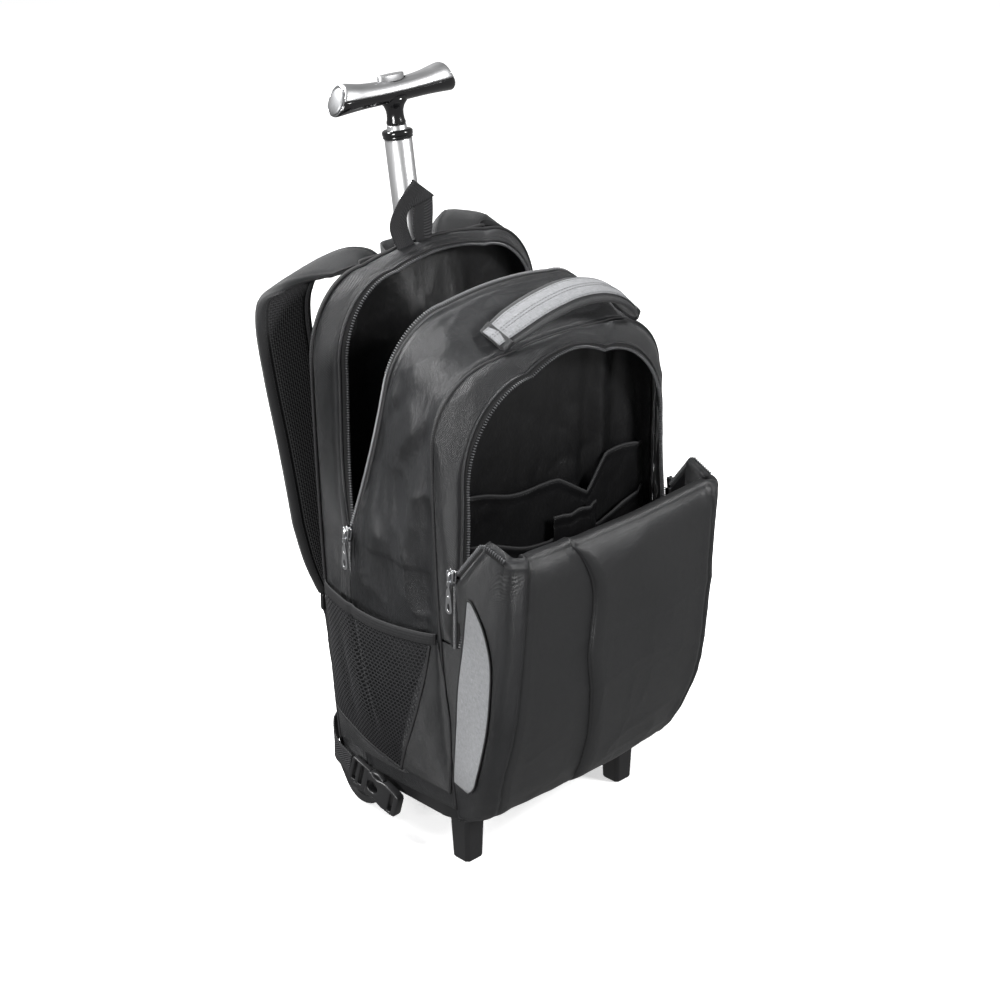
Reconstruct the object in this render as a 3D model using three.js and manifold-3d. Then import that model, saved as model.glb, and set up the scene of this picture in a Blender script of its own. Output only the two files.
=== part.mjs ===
// Wheeled backpack: a zipped body on a stiff base with two wheels, two front feet, a telescopic T handle,
// shoulder straps and a front compartment whose panel is unzipped and hangs forward.
// Millimetres. While it is built X runs to the right seen from the front, Y to the back and Z up from the floor,
// with Y = 0 at the front faces of the feet. The finished group is moved so that its origin is the middle of its
// footprint, on the floor.
import * as THREE from "three";
import Module from "manifold-3d";
import { mergeVertices } from "three/addons/utils/BufferGeometryUtils.js";

const wasm = await Module();
wasm.setup();

// Clearances and walls
const GAP = 0.35; // between pieces that touch
const CLOTH = 2; // coated body fabric with its backing
const LINING = 1.5; // lining and organiser fabric
const MESH = 1.2; // side pocket mesh
const WEBBING = 1.8; // woven strap
const TAPE = 1.2; // zip tape with its teeth
const PAD = 8; // rear padding
const STRAP_PAD = 12; // shoulder strap padding

// Base, feet and wheels
const BASE_Z = 46; // underside of the base above the floor
const BASE_HALF = 119;
const BASE_FRONT = 3;
const BASE_BACK = 173;
const BASE_CORNER = 22;
const TRAY_HEIGHT = 15.5;
const TRAY_WALL = 3;
const FOOT_SPREAD = 200; // between the middles of the feet
const FOOT_SOLE = 21.5;
const FOOT_HEAD = 24.5;
const FOOT_CHAMFER = 3;
const WHEEL_RADIUS = 27;
const WHEEL_WIDTH = 19;
const WHEEL_SPREAD = 198; // between the middles of the wheels
const AXLE_Y = 152;
const HUB_RADIUS = 17.6;
const AXLE_RADIUS = 3;
const WHEEL_ROOM = 2.6; // round the tyre inside its housing
const HOUSING_CHEEK = 4.3;
const HOUSING_HEEL = 17; // housing edge behind the tyre well
const HOUSING_DROP = 8; // cheek below the axle
const HOUSING_ROOF = 2.6;

// Body heights above the floor and depths
const BODY_Z = BASE_Z + TRAY_HEIGHT + 0.5; // lower edge of the body fabric
const REAR_TOP = 540; // rear seam
const FRONT_TOP = 485; // front seam
const MOUTH_TOP = 519; // front edge of the open main mouth
const ZIP_END = 300; // where the main zip is open down to
const BODY_FRONT = 3; // front seam plane
const BODY_BACK = 161; // rear seam plane
const REAR_HALF = 137;
const FRONT_HALF = 140;
const LOW_HALF = 121;
const SIDE_CROWN = 4; // how far the body sides swell
const REAR_ZIP_STEP = 18; // rear seam to rear zip, in depth and in width
const MOUTH_SPREAD = 80; // opening of the main mouth at the top, front to back

// Front compartment
const FRONT_ZIP_STEP = 20; // front seam to front zip
const FRONT_ZIP_TOP = 481;
const FRONT_ZIP_HALF = 123;
const FRONT_ZIP_LOW = 243; // where the front zip starts
const POCKET_DEPTH = 93; // front seam to the front of the hanging panel
const POCKET_RIM = 335;
const FRONT_ZIP_STOP = POCKET_RIM - 33; // where the front zip's slider stands
const POCKET_LOW = 50;
const POCKET_HALF = 131;
const POCKET_CORNER = 18;
const POCKET_BOW = 4;
const EAR_RISE = 8; // side edges above the rim
const EAR_DEPTH = 53; // rim share of the sides, from the front seam
const ROLL = 12; // folded top edge, front to back
const ROLL_TAIL = 95; // how far the fold goes down inside

// Rear panel and telescopic handle
const LEAN = THREE.MathUtils.degToRad(8);
const POLE_Y = 181; // handle axis where it leaves the bag
const POLE_Z = 539;
const OUTER_RADIUS = 15;
const OUTER_WALL = 2;
const POLE_SLIP = 0.5; // between the tubes
const MIDDLE_RADIUS = OUTER_RADIUS - OUTER_WALL - POLE_SLIP;
const MIDDLE_WALL = 1.5;
const MIDDLE_LENGTH = 330;
const SHOWN = 88; // middle tube above the bag as it stands
const INNER_RADIUS = 9;
const INNER_WALL = 1.5;
const INNER_LENGTH = 300;
const COLLAR_HEIGHT = 9;
const COLLAR_LIP = 3;
const NECK_LENGTH = 18;
const NECK_RADIUS = 8;
const NECK_FLARE = 14;
const GRIP_LENGTH = 130;
const GRIP_HALF_HEIGHT = 9;
const GRIP_HALF_DEPTH = 10.5;
const BUTTON_LENGTH = 30;
const BUTTON_WIDTH = 13;
const BUTTON_PROUD = 3.6;
const BUTTON_DEEP = 3.4;
const SOCKET_WALL = 5; // round the foot of the outer tube
const SOCKET_HEIGHT = 26;
const LINING_CLEAR = SOCKET_WALL + 2.5; // between the outer tube and the rear lining

// Straps, handle and pockets
const STRAP_WIDTH = 60;
const STRAP_TIP = 34;
const WEB_WIDTH = 22;
const LOOP_HEIGHT = 61;
const HANDLE_RISE = 31;
const HANDLE_WIDTH = 38;
const HANDLE_PAD = 10;
const BAND_WIDTH = 24;
const SIDE_POCKET_TOP = 238;
const SIDE_POCKET_LOW = 78;
const SIDE_POCKET_SWELL = 12;
const INSERT = 1; // grey fabric
const POCKET_ROOM = 5; // inside each organiser pocket
const BUCKLE_LENGTH = 66;
const BUCKLE_WIDTH = 30;
const BUCKLE_THICK = 9;
const PULLER_LENGTH = 32;
const TAPE_WIDTH = 6;

// Steps of the faceted curves
const CORNER_STEPS = 5;
const TOP_STEPS = 3;
const ROUND_STEPS = 24;

// Colours
const COLOURS = {
  shell: [0x2a2b2d, 0.62, 0], lining: [0x121214, 0.35, 0], panel: [0x232426, 0.45, 0],
  insert: [0x8b8d90, 0.85, 0], webbing: [0x1c1c1e, 0.8, 0], mesh: [0x18181a, 0.85, 0],
  strap: [0x242527, 0.7, 0], plastic: [0x161617, 0.4, 0], gloss: [0x0d0d0e, 0.15, 0],
  tube: [0xc9cbcd, 0.3, 1], shell_metal: [0x9b9da0, 0.28, 0.9], tyre: [0x202021, 0.75, 0],
  zip: [0x1b1b1c, 0.55, 0], slider: [0xb9bbbd, 0.25, 1], steel: [0x8f9194, 0.35, 1],
};

const V = (x, y, z) => new THREE.Vector3(x, y, z);
const mix = THREE.MathUtils.lerp;
const steps = (n) => Array.from({ length: n + 1 }, (_, k) => k / n);
const SIDES = { left: -1, right: 1 };

const bag = new THREE.Group();

function add(name, colour, geometry, parent = bag) {
  const [color, roughness, metalness] = COLOURS[colour];
  const mesh = new THREE.Mesh(geometry, new THREE.MeshStandardMaterial({ color, roughness, metalness }));
  mesh.name = name;
  parent.add(mesh);
  return mesh;
}

// A closed body from shared points, with its faces turned outwards.
function closedBody(points, triangles) {
  let volume = 0;
  for (let k = 0; k < triangles.length; k += 3) {
    const [a, b, c] = [points[triangles[k]], points[triangles[k + 1]], points[triangles[k + 2]]];
    volume += a.dot(V(0, 0, 0).crossVectors(b, c));
  }
  const geometry = new THREE.BufferGeometry();
  geometry.setAttribute("position", new THREE.Float32BufferAttribute(points.flatMap((p) => p.toArray()), 3));
  geometry.setIndex(volume < 0 ? triangles.slice().reverse() : triangles);
  return geometry;
}

// A wall between two grids of points with as many rows and columns.
function between(outer, inner) {
  const rows = outer.length;
  const cols = outer[0].length;
  const at = (side, r, c) => (side * rows + r) * cols + c;
  const triangles = [];
  const quad = (a, b, c, d) => triangles.push(a, b, c, a, c, d);
  for (let r = 0; r < rows - 1; r++) {
    for (let c = 0; c < cols - 1; c++) {
      quad(at(0, r, c), at(0, r, c + 1), at(0, r + 1, c + 1), at(0, r + 1, c));
      quad(at(1, r, c), at(1, r + 1, c), at(1, r + 1, c + 1), at(1, r, c + 1));
    }
    quad(at(0, r, 0), at(0, r + 1, 0), at(1, r + 1, 0), at(1, r, 0));
    quad(at(0, r, cols - 1), at(1, r, cols - 1), at(1, r + 1, cols - 1), at(0, r + 1, cols - 1));
  }
  for (let c = 0; c < cols - 1; c++) {
    quad(at(0, 0, c), at(1, 0, c), at(1, 0, c + 1), at(0, 0, c + 1));
    quad(at(0, rows - 1, c), at(0, rows - 1, c + 1), at(1, rows - 1, c + 1), at(1, rows - 1, c));
  }
  return closedBody([...outer.flat(), ...inner.flat()], triangles);
}

// Unit normals of a grid, turned to the side of the given direction at its middle.
function normals(grid, outward) {
  const clamp = (k, n) => Math.min(Math.max(k, 0), n - 1);
  const get = (r, c) => grid[clamp(r, grid.length)][clamp(c, grid[0].length)];
  const all = grid.map((row, r) => row.map((_, c) => {
    const along = get(r, c + 1).clone().sub(get(r, c - 1));
    const up = get(r + 1, c).clone().sub(get(r - 1, c));
    return along.cross(up).normalize();
  }));
  const middle = all[grid.length >> 1][grid[0].length >> 1];
  const sign = Math.sign(middle.dot(outward)) || 1;
  return all.map((row) => row.map((n) => n.multiplyScalar(sign)));
}

const shifted = (grid, directions, distance) =>
  grid.map((row, r) => row.map((p, c) => p.clone().addScaledVector(directions[r][c], distance)));

// Cloth whose outer face is the grid. rims maps a column or row to directions that keep that rim in its plane.
function cloth(grid, thickness, outward, rims = {}) {
  const directions = normals(grid, outward);
  const last = grid[0].length - 1;
  if (rims.first) rims.first.forEach((out, r) => { directions[r][0] = out; });
  if (rims.last) rims.last.forEach((out, r) => { directions[r][last] = out; });
  if (rims.bottom) directions[0] = directions[0].map(() => rims.bottom);
  return between(grid, shifted(grid, directions, -thickness));
}

// A body lofted through rings of as many points, closed by a fan at each end.
function loft(rings) {
  const n = rings[0].length;
  const points = rings.flat();
  const triangles = [];
  for (let r = 0; r < rings.length - 1; r++) {
    for (let k = 0; k < n; k++) {
      const [a, b] = [r * n + k, r * n + ((k + 1) % n)];
      triangles.push(a, b, b + n, a, b + n, a + n);
    }
  }
  for (const [ring, turn] of [[0, 1], [rings.length - 1, -1]]) {
    const middle = rings[ring].reduce((sum, p) => sum.add(p), V(0, 0, 0)).divideScalar(n);
    points.push(middle);
    for (let k = 0; k < n; k++) {
      const [a, b] = [ring * n + k, ring * n + ((k + 1) % n)];
      triangles.push(...(turn > 0 ? [points.length - 1, b, a] : [points.length - 1, a, b]));
    }
  }
  return closedBody(points, triangles);
}

// A flat band along a curve. Each station gives its width and the direction that the width runs in.
function band(curve, stations, thickness, widthAt, acrossAt, soft = 0.3, lift = 0) {
  return loft(steps(stations).map((t) => {
    const middle = curve.getPoint(t);
    const along = curve.getTangent(t);
    const across = acrossAt(t).clone().normalize();
    const up = along.clone().cross(across).normalize();
    middle.addScaledVector(up, lift);
    const [w, h] = [widthAt(t) / 2, thickness / 2];
    const e = Math.min(w, h) * soft * 2;
    return [[-w, -h + e], [-w + e, -h], [w - e, -h], [w, -h + e], [w, h - e], [w - e, h], [-w + e, h], [-w, h - e]]
      .map(([x, z]) => middle.clone().addScaledVector(across, x).addScaledVector(up, z));
  }));
}

function solid(geometry) {
  const bare = geometry.clone();
  bare.deleteAttribute("normal");
  bare.deleteAttribute("uv");
  const merged = mergeVertices(bare, 1e-4);
  return new wasm.Manifold(new wasm.Mesh({
    numProp: 3,
    vertProperties: new Float32Array(merged.attributes.position.array),
    triVerts: new Uint32Array(merged.index.array),
  }));
}

function geometryOf(manifold) {
  const mesh = manifold.getMesh();
  const geometry = new THREE.BufferGeometry();
  geometry.setAttribute("position", new THREE.BufferAttribute(new Float32Array(mesh.vertProperties), 3));
  geometry.setIndex(new THREE.BufferAttribute(new Uint32Array(mesh.triVerts), 1));
  return geometry;
}

const cut = (base, ...tools) => geometryOf(tools.reduce((rest, tool) => rest.subtract(solid(tool)), solid(base)));
const join = (a, b) => geometryOf(solid(a).add(solid(b)));

// A ring or a rod turned round Z from a profile of [radius, height] points.
const turned = (profile, sides = ROUND_STEPS) =>
  new THREE.LatheGeometry(profile.map(([r, h]) => new THREE.Vector2(r, h)), sides).rotateX(Math.PI / 2);
const ringProfile = (inner, outer, low, high) =>
  [[inner, low], [outer, low], [outer, high], [inner, high], [inner, low]];
const rod = (radius, length, sides = ROUND_STEPS) => new THREE.CylinderGeometry(radius, radius, length, sides);

// Arches: outlines of the bag seen from the front.
function shoulder(a) {
  return a.top - a.crown - a.cornerZ;
}

function archHalf(a, z) {
  const straight = shoulder(a);
  if (z <= straight) return a.half - (a.half - a.lowHalf) * ((straight - z) / (straight - a.low)) ** 2;
  const rise = Math.min((z - straight) / a.cornerZ, 1);
  return a.half - a.cornerX + a.cornerX * Math.sqrt(1 - rise * rise);
}

function archHeight(a, x) {
  const flat = a.half - a.cornerX;
  if (Math.abs(x) <= flat) return a.top - a.crown * (x / flat) ** 2;
  const run = Math.min((Math.abs(x) - flat) / a.cornerX, 1);
  return shoulder(a) + a.cornerZ * Math.sqrt(1 - run * run);
}

// Points of an arch from its lower left end to its lower right end, with the outward direction of each.
function archPoints(a, levels) {
  const left = levels.map((z) => ({ x: -archHalf(a, z), z, turn: 0 }));
  for (const t of steps(CORNER_STEPS).slice(1)) {
    const turn = (t * Math.PI) / 2;
    const x = -(a.half - a.cornerX + a.cornerX * Math.cos(turn));
    left.push({ x, z: shoulder(a) + a.cornerZ * Math.sin(turn), turn });
  }
  for (const t of steps(TOP_STEPS).slice(1)) {
    const x = -(a.half - a.cornerX) * (1 - t);
    left.push({ x, z: archHeight(a, x), turn: Math.PI / 2 });
  }
  const right = left.slice(0, -1).reverse().map((p) => ({ ...p, x: -p.x, turn: Math.PI - p.turn }));
  return [...left, ...right].map((p) => ({ ...p, out: V(-Math.cos(p.turn), 0, Math.sin(p.turn)) }));
}

const FRONT_SEAM = {
  half: FRONT_HALF, lowHalf: LOW_HALF, top: FRONT_TOP, low: BODY_Z, cornerX: 70, cornerZ: 60, crown: 4,
};
const REAR_SEAM = {
  half: REAR_HALF, lowHalf: LOW_HALF + 1, top: REAR_TOP, low: BODY_Z, cornerX: 60, cornerZ: 76, crown: 9,
};
const MOUTH_FRONT = {
  half: REAR_HALF - 17, lowHalf: REAR_HALF - 4, top: MOUTH_TOP, low: ZIP_END, cornerX: 55, cornerZ: 62, crown: 6,
};
const MOUTH_REAR = {
  half: REAR_HALF - REAR_ZIP_STEP, lowHalf: REAR_HALF - 4, top: REAR_TOP - 4, low: ZIP_END,
  cornerX: 62, cornerZ: 72, crown: 9,
};
const FRONT_ZIP = {
  half: FRONT_ZIP_HALF, lowHalf: FRONT_HALF - 4, top: FRONT_ZIP_TOP, low: FRONT_ZIP_LOW,
  cornerX: 75, cornerZ: 80, crown: 12,
};

// Depth of the two zip edges of the open mouth at a height.
const MOUTH_REAR_Y = BODY_BACK - REAR_ZIP_STEP;
const MOUTH_MEET_Y = BODY_BACK - 40;
const mouthFrontY = (z) =>
  mix(MOUTH_MEET_Y, MOUTH_REAR_Y - MOUTH_SPREAD, (z - ZIP_END) / (MOUTH_TOP - ZIP_END));
function mouthRearY(z) {
  const share = Math.max((shoulder(MOUTH_REAR) - z) / (shoulder(MOUTH_REAR) - ZIP_END), 0);
  return mix(MOUTH_REAR_Y, MOUTH_MEET_Y, share ** 3);
}

// Heights of the rows up a straight side, with a narrow step where the zip opens.
const ZIP_NICK = 2;
const lowLevels = (low) => steps(3).map((t) => mix(low, ZIP_END - ZIP_NICK, t));
const openLevels = (a) => steps(2).map((t) => mix(ZIP_END + ZIP_NICK, shoulder(a), t));

// Dents and gathers of the body. side: -1 left, 1 right. rise: share of the rear height. run: share of the depth.
const DENTS = [
  { side: -1, rise: 0.78, run: 0.12, reach: 26, depth: 7 },
  { side: -1, rise: 0.62, run: 0.3, reach: 40, depth: 4 },
  { side: 1, rise: 0.74, run: 0.2, reach: 30, depth: 6 },
  { side: 1, rise: 0.5, run: 0.45, reach: 45, depth: 3 },
];
function dented(point, out, run) {
  let depth = 0;
  for (const dent of DENTS) {
    const back = mix(BODY_FRONT, BODY_BACK, dent.run) - point.y;
    const down = BODY_Z + dent.rise * (REAR_TOP - BODY_Z) - point.z;
    if (point.x * dent.side > 0) depth += dent.depth * Math.exp(-(back * back + down * down) / dent.reach ** 2);
  }
  return point.clone().addScaledVector(out, -depth * Math.min(4 * run, 4 * (1 - run), 1));
}

// Body shell, open in front at the organiser, at the back, below, and along the mouth.
const frontRing = archPoints(FRONT_SEAM, [...lowLevels(BODY_Z), ...openLevels(FRONT_SEAM)]);
const lowCount = lowLevels(BODY_Z).length;
const seamRing = archPoints(REAR_SEAM, [...lowLevels(BODY_Z), ...openLevels(REAR_SEAM)]);
const mouthRing = archPoints(MOUTH_FRONT, [...lowLevels(BODY_Z), ...openLevels(MOUTH_FRONT)]);
const isLow = (k) => k < lowCount || k >= frontRing.length - lowCount;

function shellPoint(k, run) {
  const front = V(frontRing[k].x, BODY_FRONT, frontRing[k].z);
  const rearPoint = isLow(k) ? seamRing[k] : mouthRing[k];
  const rear = V(rearPoint.x, isLow(k) ? BODY_BACK : mouthFrontY(rearPoint.z), rearPoint.z);
  const swell = SIDE_CROWN * Math.sin(Math.PI * run);
  return dented(front.lerp(rear, run).addScaledVector(frontRing[k].out, swell), frontRing[k].out, run);
}
const shellGrid = frontRing.map((_, k) => steps(4).map((run) => shellPoint(k, run)));
const outs = (ring) => ring.map((point) => point.out);
add("body_shell", "shell", cloth(shellGrid, CLOTH, V(0, 0, 1), { first: outs(frontRing), last: outs(seamRing) }));

// Points all over the outer face of the body, for what is seated on it.
const skin = shellGrid.slice(1).flatMap((_, k) => steps(4).flatMap((t) => steps(24).map((run) =>
  shellPoint(k, run).lerp(shellPoint(k + 1, run), t))));

// Rear arched strip between the rear seam and the rear zip of the mouth.
const stripLow = ZIP_END + ZIP_NICK + 1.5;
const stripLevels = (a) => steps(3).map((t) => mix(stripLow, shoulder(a), t));
const stripSeam = archPoints(REAR_SEAM, stripLevels(REAR_SEAM));
const stripZip = archPoints(MOUTH_REAR, stripLevels(MOUTH_REAR));
const rearStrip = stripSeam.map((seam, k) => {
  const zip = V(stripZip[k].x, mouthRearY(stripZip[k].z), stripZip[k].z);
  const from = V(seam.x, BODY_BACK, seam.z);
  return [from, from.clone().lerp(zip, 0.5).addScaledVector(seam.out, 2), zip];
});
add("rear_gusset", "shell", cloth(rearStrip, CLOTH, V(0, 0, 1), { first: outs(stripSeam) }));

// A zip tape that carries a strip on past its edge. Rows are pairs of points: inside the strip, then on its edge.
function tape(rows, outward) {
  const grid = rows.map(([inside, edge]) => {
    const on = edge.clone().sub(inside).normalize();
    return [edge.clone().addScaledVector(on, 1.6 * GAP), edge.clone().addScaledVector(on, 1.6 * GAP + TAPE_WIDTH)];
  });
  return cloth(grid, TAPE, outward);
}
const TAPE_SKIP = 1; // rows left free at each end, where the two tapes run together
const inside = (rows) => rows.slice(TAPE_SKIP, rows.length - TAPE_SKIP);
add("main_zip_rear", "zip", tape(inside(rearStrip).map((row) => row.slice(1)), V(0, 0, 1)));
const mouthRows = shellGrid.slice(lowCount + TAPE_SKIP, shellGrid.length - lowCount - TAPE_SKIP);
add("main_zip_front", "zip", tape(mouthRows.map((row) => row.slice(-2)), V(0, 0, 1)));

// Front arched strip between the front seam and the front zip.
const archLevels = (a) => steps(3).map((t) => mix(FRONT_ZIP_LOW, shoulder(a), t));
const archSeam = archPoints(FRONT_SEAM, archLevels(FRONT_SEAM));
const archZip = archPoints(FRONT_ZIP, archLevels(FRONT_ZIP));
const frontStrip = archSeam.map((seam, k) => {
  const from = V(seam.x, BODY_FRONT - GAP, seam.z);
  const zip = V(archZip[k].x, BODY_FRONT - FRONT_ZIP_STEP, archZip[k].z);
  return [from, from.clone().lerp(zip, 0.45).addScaledVector(seam.out, 2.5), zip];
});
add("front_gusset", "shell", cloth(frontStrip, CLOTH, V(0, 0, 1), { first: outs(archSeam) }));
add("front_zip", "zip", tape(inside(frontStrip).map((row) => row.slice(1)), V(0, 0, 1)));

// A panel that fills an arch, as rows from below upwards over columns from left to right.
function archPanel(a, inset, low, columns, rows, place) {
  return steps(rows).map((t) => columns.map((u) => {
    const top = archHeight(a, u * a.half) - inset;
    const z = mix(low, top, t);
    const x = u * (archHalf(a, Math.min(z, shoulder(a))) - inset);
    return place(x, z, u, t);
  }));
}
const evenColumns = (n) => steps(n).map((t) => 2 * t - 1);

// Rear padded panel, with a raised channel over the outer tube.
const poleY = (z) => POLE_Y - (POLE_Z - z) * Math.tan(LEAN);
const CHANNEL_HALF = OUTER_RADIUS + 3;
const CHANNEL_FADE = 28;
const TUNNEL_FADE = 34;
function fade(x, half, run) {
  const away = Math.min(Math.max((Math.abs(x) - half) / run, 0), 1);
  return Math.cos((away * Math.PI) / 2) ** 2;
}
const padInner = (x, z) => {
  const clear = poleY(z) + OUTER_RADIUS / Math.cos(LEAN) + 1.5 - BODY_BACK - GAP;
  return BODY_BACK + GAP + Math.max(clear, 0) * fade(x, CHANNEL_HALF, CHANNEL_FADE);
};
const padColumns = [-1, -0.86, -0.62, -0.38, -0.24, -0.13, 0, 0.13, 0.24, 0.38, 0.62, 0.86, 1];
const padFront = archPanel(REAR_SEAM, 0, BODY_Z, padColumns, 8, (x, z) => V(x, padInner(x, z), z));
const padRear = archPanel(REAR_SEAM, 0, BODY_Z, padColumns, 8, (x, z, u, t) => {
  const crown = PAD * (0.45 + 0.55 * Math.sin(Math.PI * Math.min(Math.abs(u) * 1.1, 1)));
  const edge = Math.min(Math.sin(Math.PI * Math.min(Math.max(t, 0.08), 0.92)) * 2, 1);
  return V(x, padInner(x, z) + Math.max(crown * edge, PAD * 0.4), z);
});
add("back_panel", "strap", between(padRear, padFront));

// Bottom board inside the body, and the tray below it.
function roundedRect(half, front, back, corner) {
  const shape = new THREE.Shape();
  shape.moveTo(-half + corner, front);
  shape.lineTo(half - corner, front);
  shape.absarc(half - corner, front + corner, corner, -Math.PI / 2, 0);
  shape.absarc(half - corner, back - corner, corner, 0, Math.PI / 2);
  shape.absarc(-half + corner, back - corner, corner, Math.PI / 2, Math.PI);
  shape.absarc(-half + corner, front + corner, corner, Math.PI, Math.PI * 1.5);
  return shape;
}
const slab = (shape, low, high, curveSegments = 4) =>
  new THREE.ExtrudeGeometry(shape, { depth: high - low, bevelEnabled: false, curveSegments }).translate(0, 0, low);
const BOARD_Z = BASE_Z + TRAY_HEIGHT + GAP;
const BOARD_TOP = BOARD_Z + CLOTH;
const boardHalf = LOW_HALF - CLOTH - 2 * GAP;
const boardShape = roundedRect(boardHalf, BODY_FRONT + GAP, BODY_BACK - GAP, 8);
add("bottom_board", "lining", slab(boardShape, BOARD_Z, BOARD_TOP));

const wellHalf = WHEEL_WIDTH / 2 + WHEEL_ROOM;
const housingHalf = wellHalf + HOUSING_CHEEK;
const housingFront = AXLE_Y - WHEEL_RADIUS - HOUSING_HEEL;
const housingBack = AXLE_Y + WHEEL_RADIUS - 3;
const wheelX = WHEEL_SPREAD / 2;
const boxFrom = (low, high) => {
  const size = high.clone().sub(low);
  const middle = high.clone().add(low).divideScalar(2);
  return new THREE.BoxGeometry(...size.toArray()).translate(...middle.toArray());
};
const notches = Object.values(SIDES).map((side) => boxFrom(
  V(side * wheelX - housingHalf - GAP, housingFront - GAP, BASE_Z - 1),
  V(side * wheelX + housingHalf + GAP, BASE_BACK + 1, BASE_Z + TRAY_HEIGHT + 1),
));
const corners = Object.values(SIDES).map((side) => boxFrom(
  V(Math.min(side * wheelX, side * (BASE_HALF + 1)), housingFront - GAP, BASE_Z - 1),
  V(Math.max(side * wheelX, side * (BASE_HALF + 1)), BASE_BACK + 1, BASE_Z + TRAY_HEIGHT + 1),
));
const trayOuter = roundedRect(BASE_HALF, BASE_FRONT, BASE_BACK, BASE_CORNER);
const trayInner = roundedRect(
  BASE_HALF - TRAY_WALL, BASE_FRONT + TRAY_WALL, BASE_BACK - TRAY_WALL, BASE_CORNER - TRAY_WALL);
add("base_tray", "plastic", cut(
  slab(trayOuter, BASE_Z, BASE_Z + TRAY_HEIGHT),
  slab(trayInner, BASE_Z + TRAY_WALL, BASE_Z + TRAY_HEIGHT + 1),
  ...notches,
  ...corners,
));

// Wheels: a housing with two cheeks, an axle pinned in them, a hub and a tyre.
const AXLE_Z = WHEEL_RADIUS;
const housingTop = AXLE_Z + WHEEL_RADIUS + WHEEL_ROOM + HOUSING_ROOF;
function housing(side) {
  const low = AXLE_Z - HOUSING_DROP;
  const side2d = new THREE.Shape([
    [housingFront, BASE_Z], [AXLE_Y - HOUSING_DROP - 4, low], [AXLE_Y + HOUSING_DROP + 4, low],
    [housingBack, BASE_Z - 8], [housingBack, housingTop - 6], [housingBack - 6, housingTop], [housingFront, housingTop],
  ].map(([y, z]) => new THREE.Vector2(y, z)));
  const block = new THREE.ExtrudeGeometry(side2d, { depth: 2 * housingHalf, bevelEnabled: false });
  block.rotateX(Math.PI / 2).rotateZ(Math.PI / 2).translate(side * wheelX - housingHalf, 0, 0);
  const well = rod(WHEEL_RADIUS + WHEEL_ROOM, 2 * wellHalf).rotateZ(Math.PI / 2);
  const bore = rod(AXLE_RADIUS + GAP, 2 * housingHalf + 2, 12).rotateZ(Math.PI / 2);
  const place = [side * wheelX, AXLE_Y, AXLE_Z];
  return cut(block, well.translate(...place), bore.translate(...place));
}
for (const [name, side] of Object.entries(SIDES)) {
  add(`wheel_housing_${name}`, "plastic", housing(side));
  const wheel = new THREE.Group();
  wheel.position.set(side * wheelX, AXLE_Y, AXLE_Z);
  wheel.rotation.y = Math.PI / 2;
  bag.add(wheel);
  const w = WHEEL_WIDTH / 2;
  const tread = [
    [HUB_RADIUS + GAP, -w + 1], [WHEEL_RADIUS - 3, -w], [WHEEL_RADIUS, -w + 3],
    [WHEEL_RADIUS, w - 3], [WHEEL_RADIUS - 3, w], [HUB_RADIUS + GAP, w - 1], [HUB_RADIUS + GAP, -w + 1],
  ];
  const boss = AXLE_RADIUS + 4;
  const disc = [
    [AXLE_RADIUS + GAP, -w + 0.5], [boss, -w + 0.5], [boss, -w + 4], [HUB_RADIUS, -w + 4],
    [HUB_RADIUS, w - 4], [boss, w - 4], [boss, w - 0.5], [AXLE_RADIUS + GAP, w - 0.5], [AXLE_RADIUS + GAP, -w + 0.5],
  ];
  add(`tyre_${name}`, "tyre", turned(tread), wheel);
  add(`hub_${name}`, "plastic", turned(disc), wheel);
  add(`axle_${name}`, "steel", rod(AXLE_RADIUS, 2 * housingHalf - 1, 12).rotateX(Math.PI / 2), wheel);
}

// Front feet
function square(half, chamfer, z) {
  const h = half - chamfer;
  return [[-half, -h], [-h, -half], [h, -half], [half, -h], [half, h], [h, half], [-h, half], [-half, h]]
    .map(([x, y]) => V(x, y, z));
}
for (const [name, side] of Object.entries(SIDES)) {
  const foot = loft([
    square(FOOT_SOLE / 2 - 1, FOOT_CHAMFER, 0), square(FOOT_SOLE / 2, FOOT_CHAMFER, 2),
    square(FOOT_HEAD / 2, FOOT_CHAMFER, BASE_Z - GAP),
  ]);
  const mesh = add(`foot_${name}`, "plastic", foot);
  mesh.position.set((side * FOOT_SPREAD) / 2, FOOT_HEAD / 2, 0);
}

// Telescopic handle: Z of this group is the handle axis, from the point where it leaves the bag.
const pole = new THREE.Group();
pole.position.set(0, POLE_Y, POLE_Z);
pole.rotation.x = -LEAN;
bag.add(pole);
const footLow = (BOARD_TOP + 3 - POLE_Z) / Math.cos(LEAN) + OUTER_RADIUS * Math.tan(LEAN);
const tubeTop = -2;
add("outer_tube", "tube", turned(ringProfile(OUTER_RADIUS - OUTER_WALL, OUTER_RADIUS, footLow, tubeTop)), pole);
const middleInner = MIDDLE_RADIUS - MIDDLE_WALL;
add("middle_tube", "tube", turned(ringProfile(middleInner, MIDDLE_RADIUS, SHOWN - MIDDLE_LENGTH, SHOWN)), pole);
const collarTop = SHOWN + GAP + COLLAR_HEIGHT;
const collarBore = INNER_RADIUS + GAP;
const collarRadius = MIDDLE_RADIUS + COLLAR_LIP;
const collarProfile = [
  [collarBore, SHOWN + GAP], [collarRadius - 0.8, SHOWN + GAP], [collarRadius, SHOWN + GAP + 1.5],
  [collarRadius, collarTop - 2.5], [collarRadius - 2, collarTop], [collarBore, collarTop], [collarBore, SHOWN + GAP],
];
add("collar", "plastic", turned(collarProfile), pole);
const innerTop = collarTop + 3;
add("inner_tube", "tube", turned(ringProfile(INNER_RADIUS - INNER_WALL, INNER_RADIUS,
  innerTop - INNER_LENGTH, innerTop)), pole);

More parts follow.
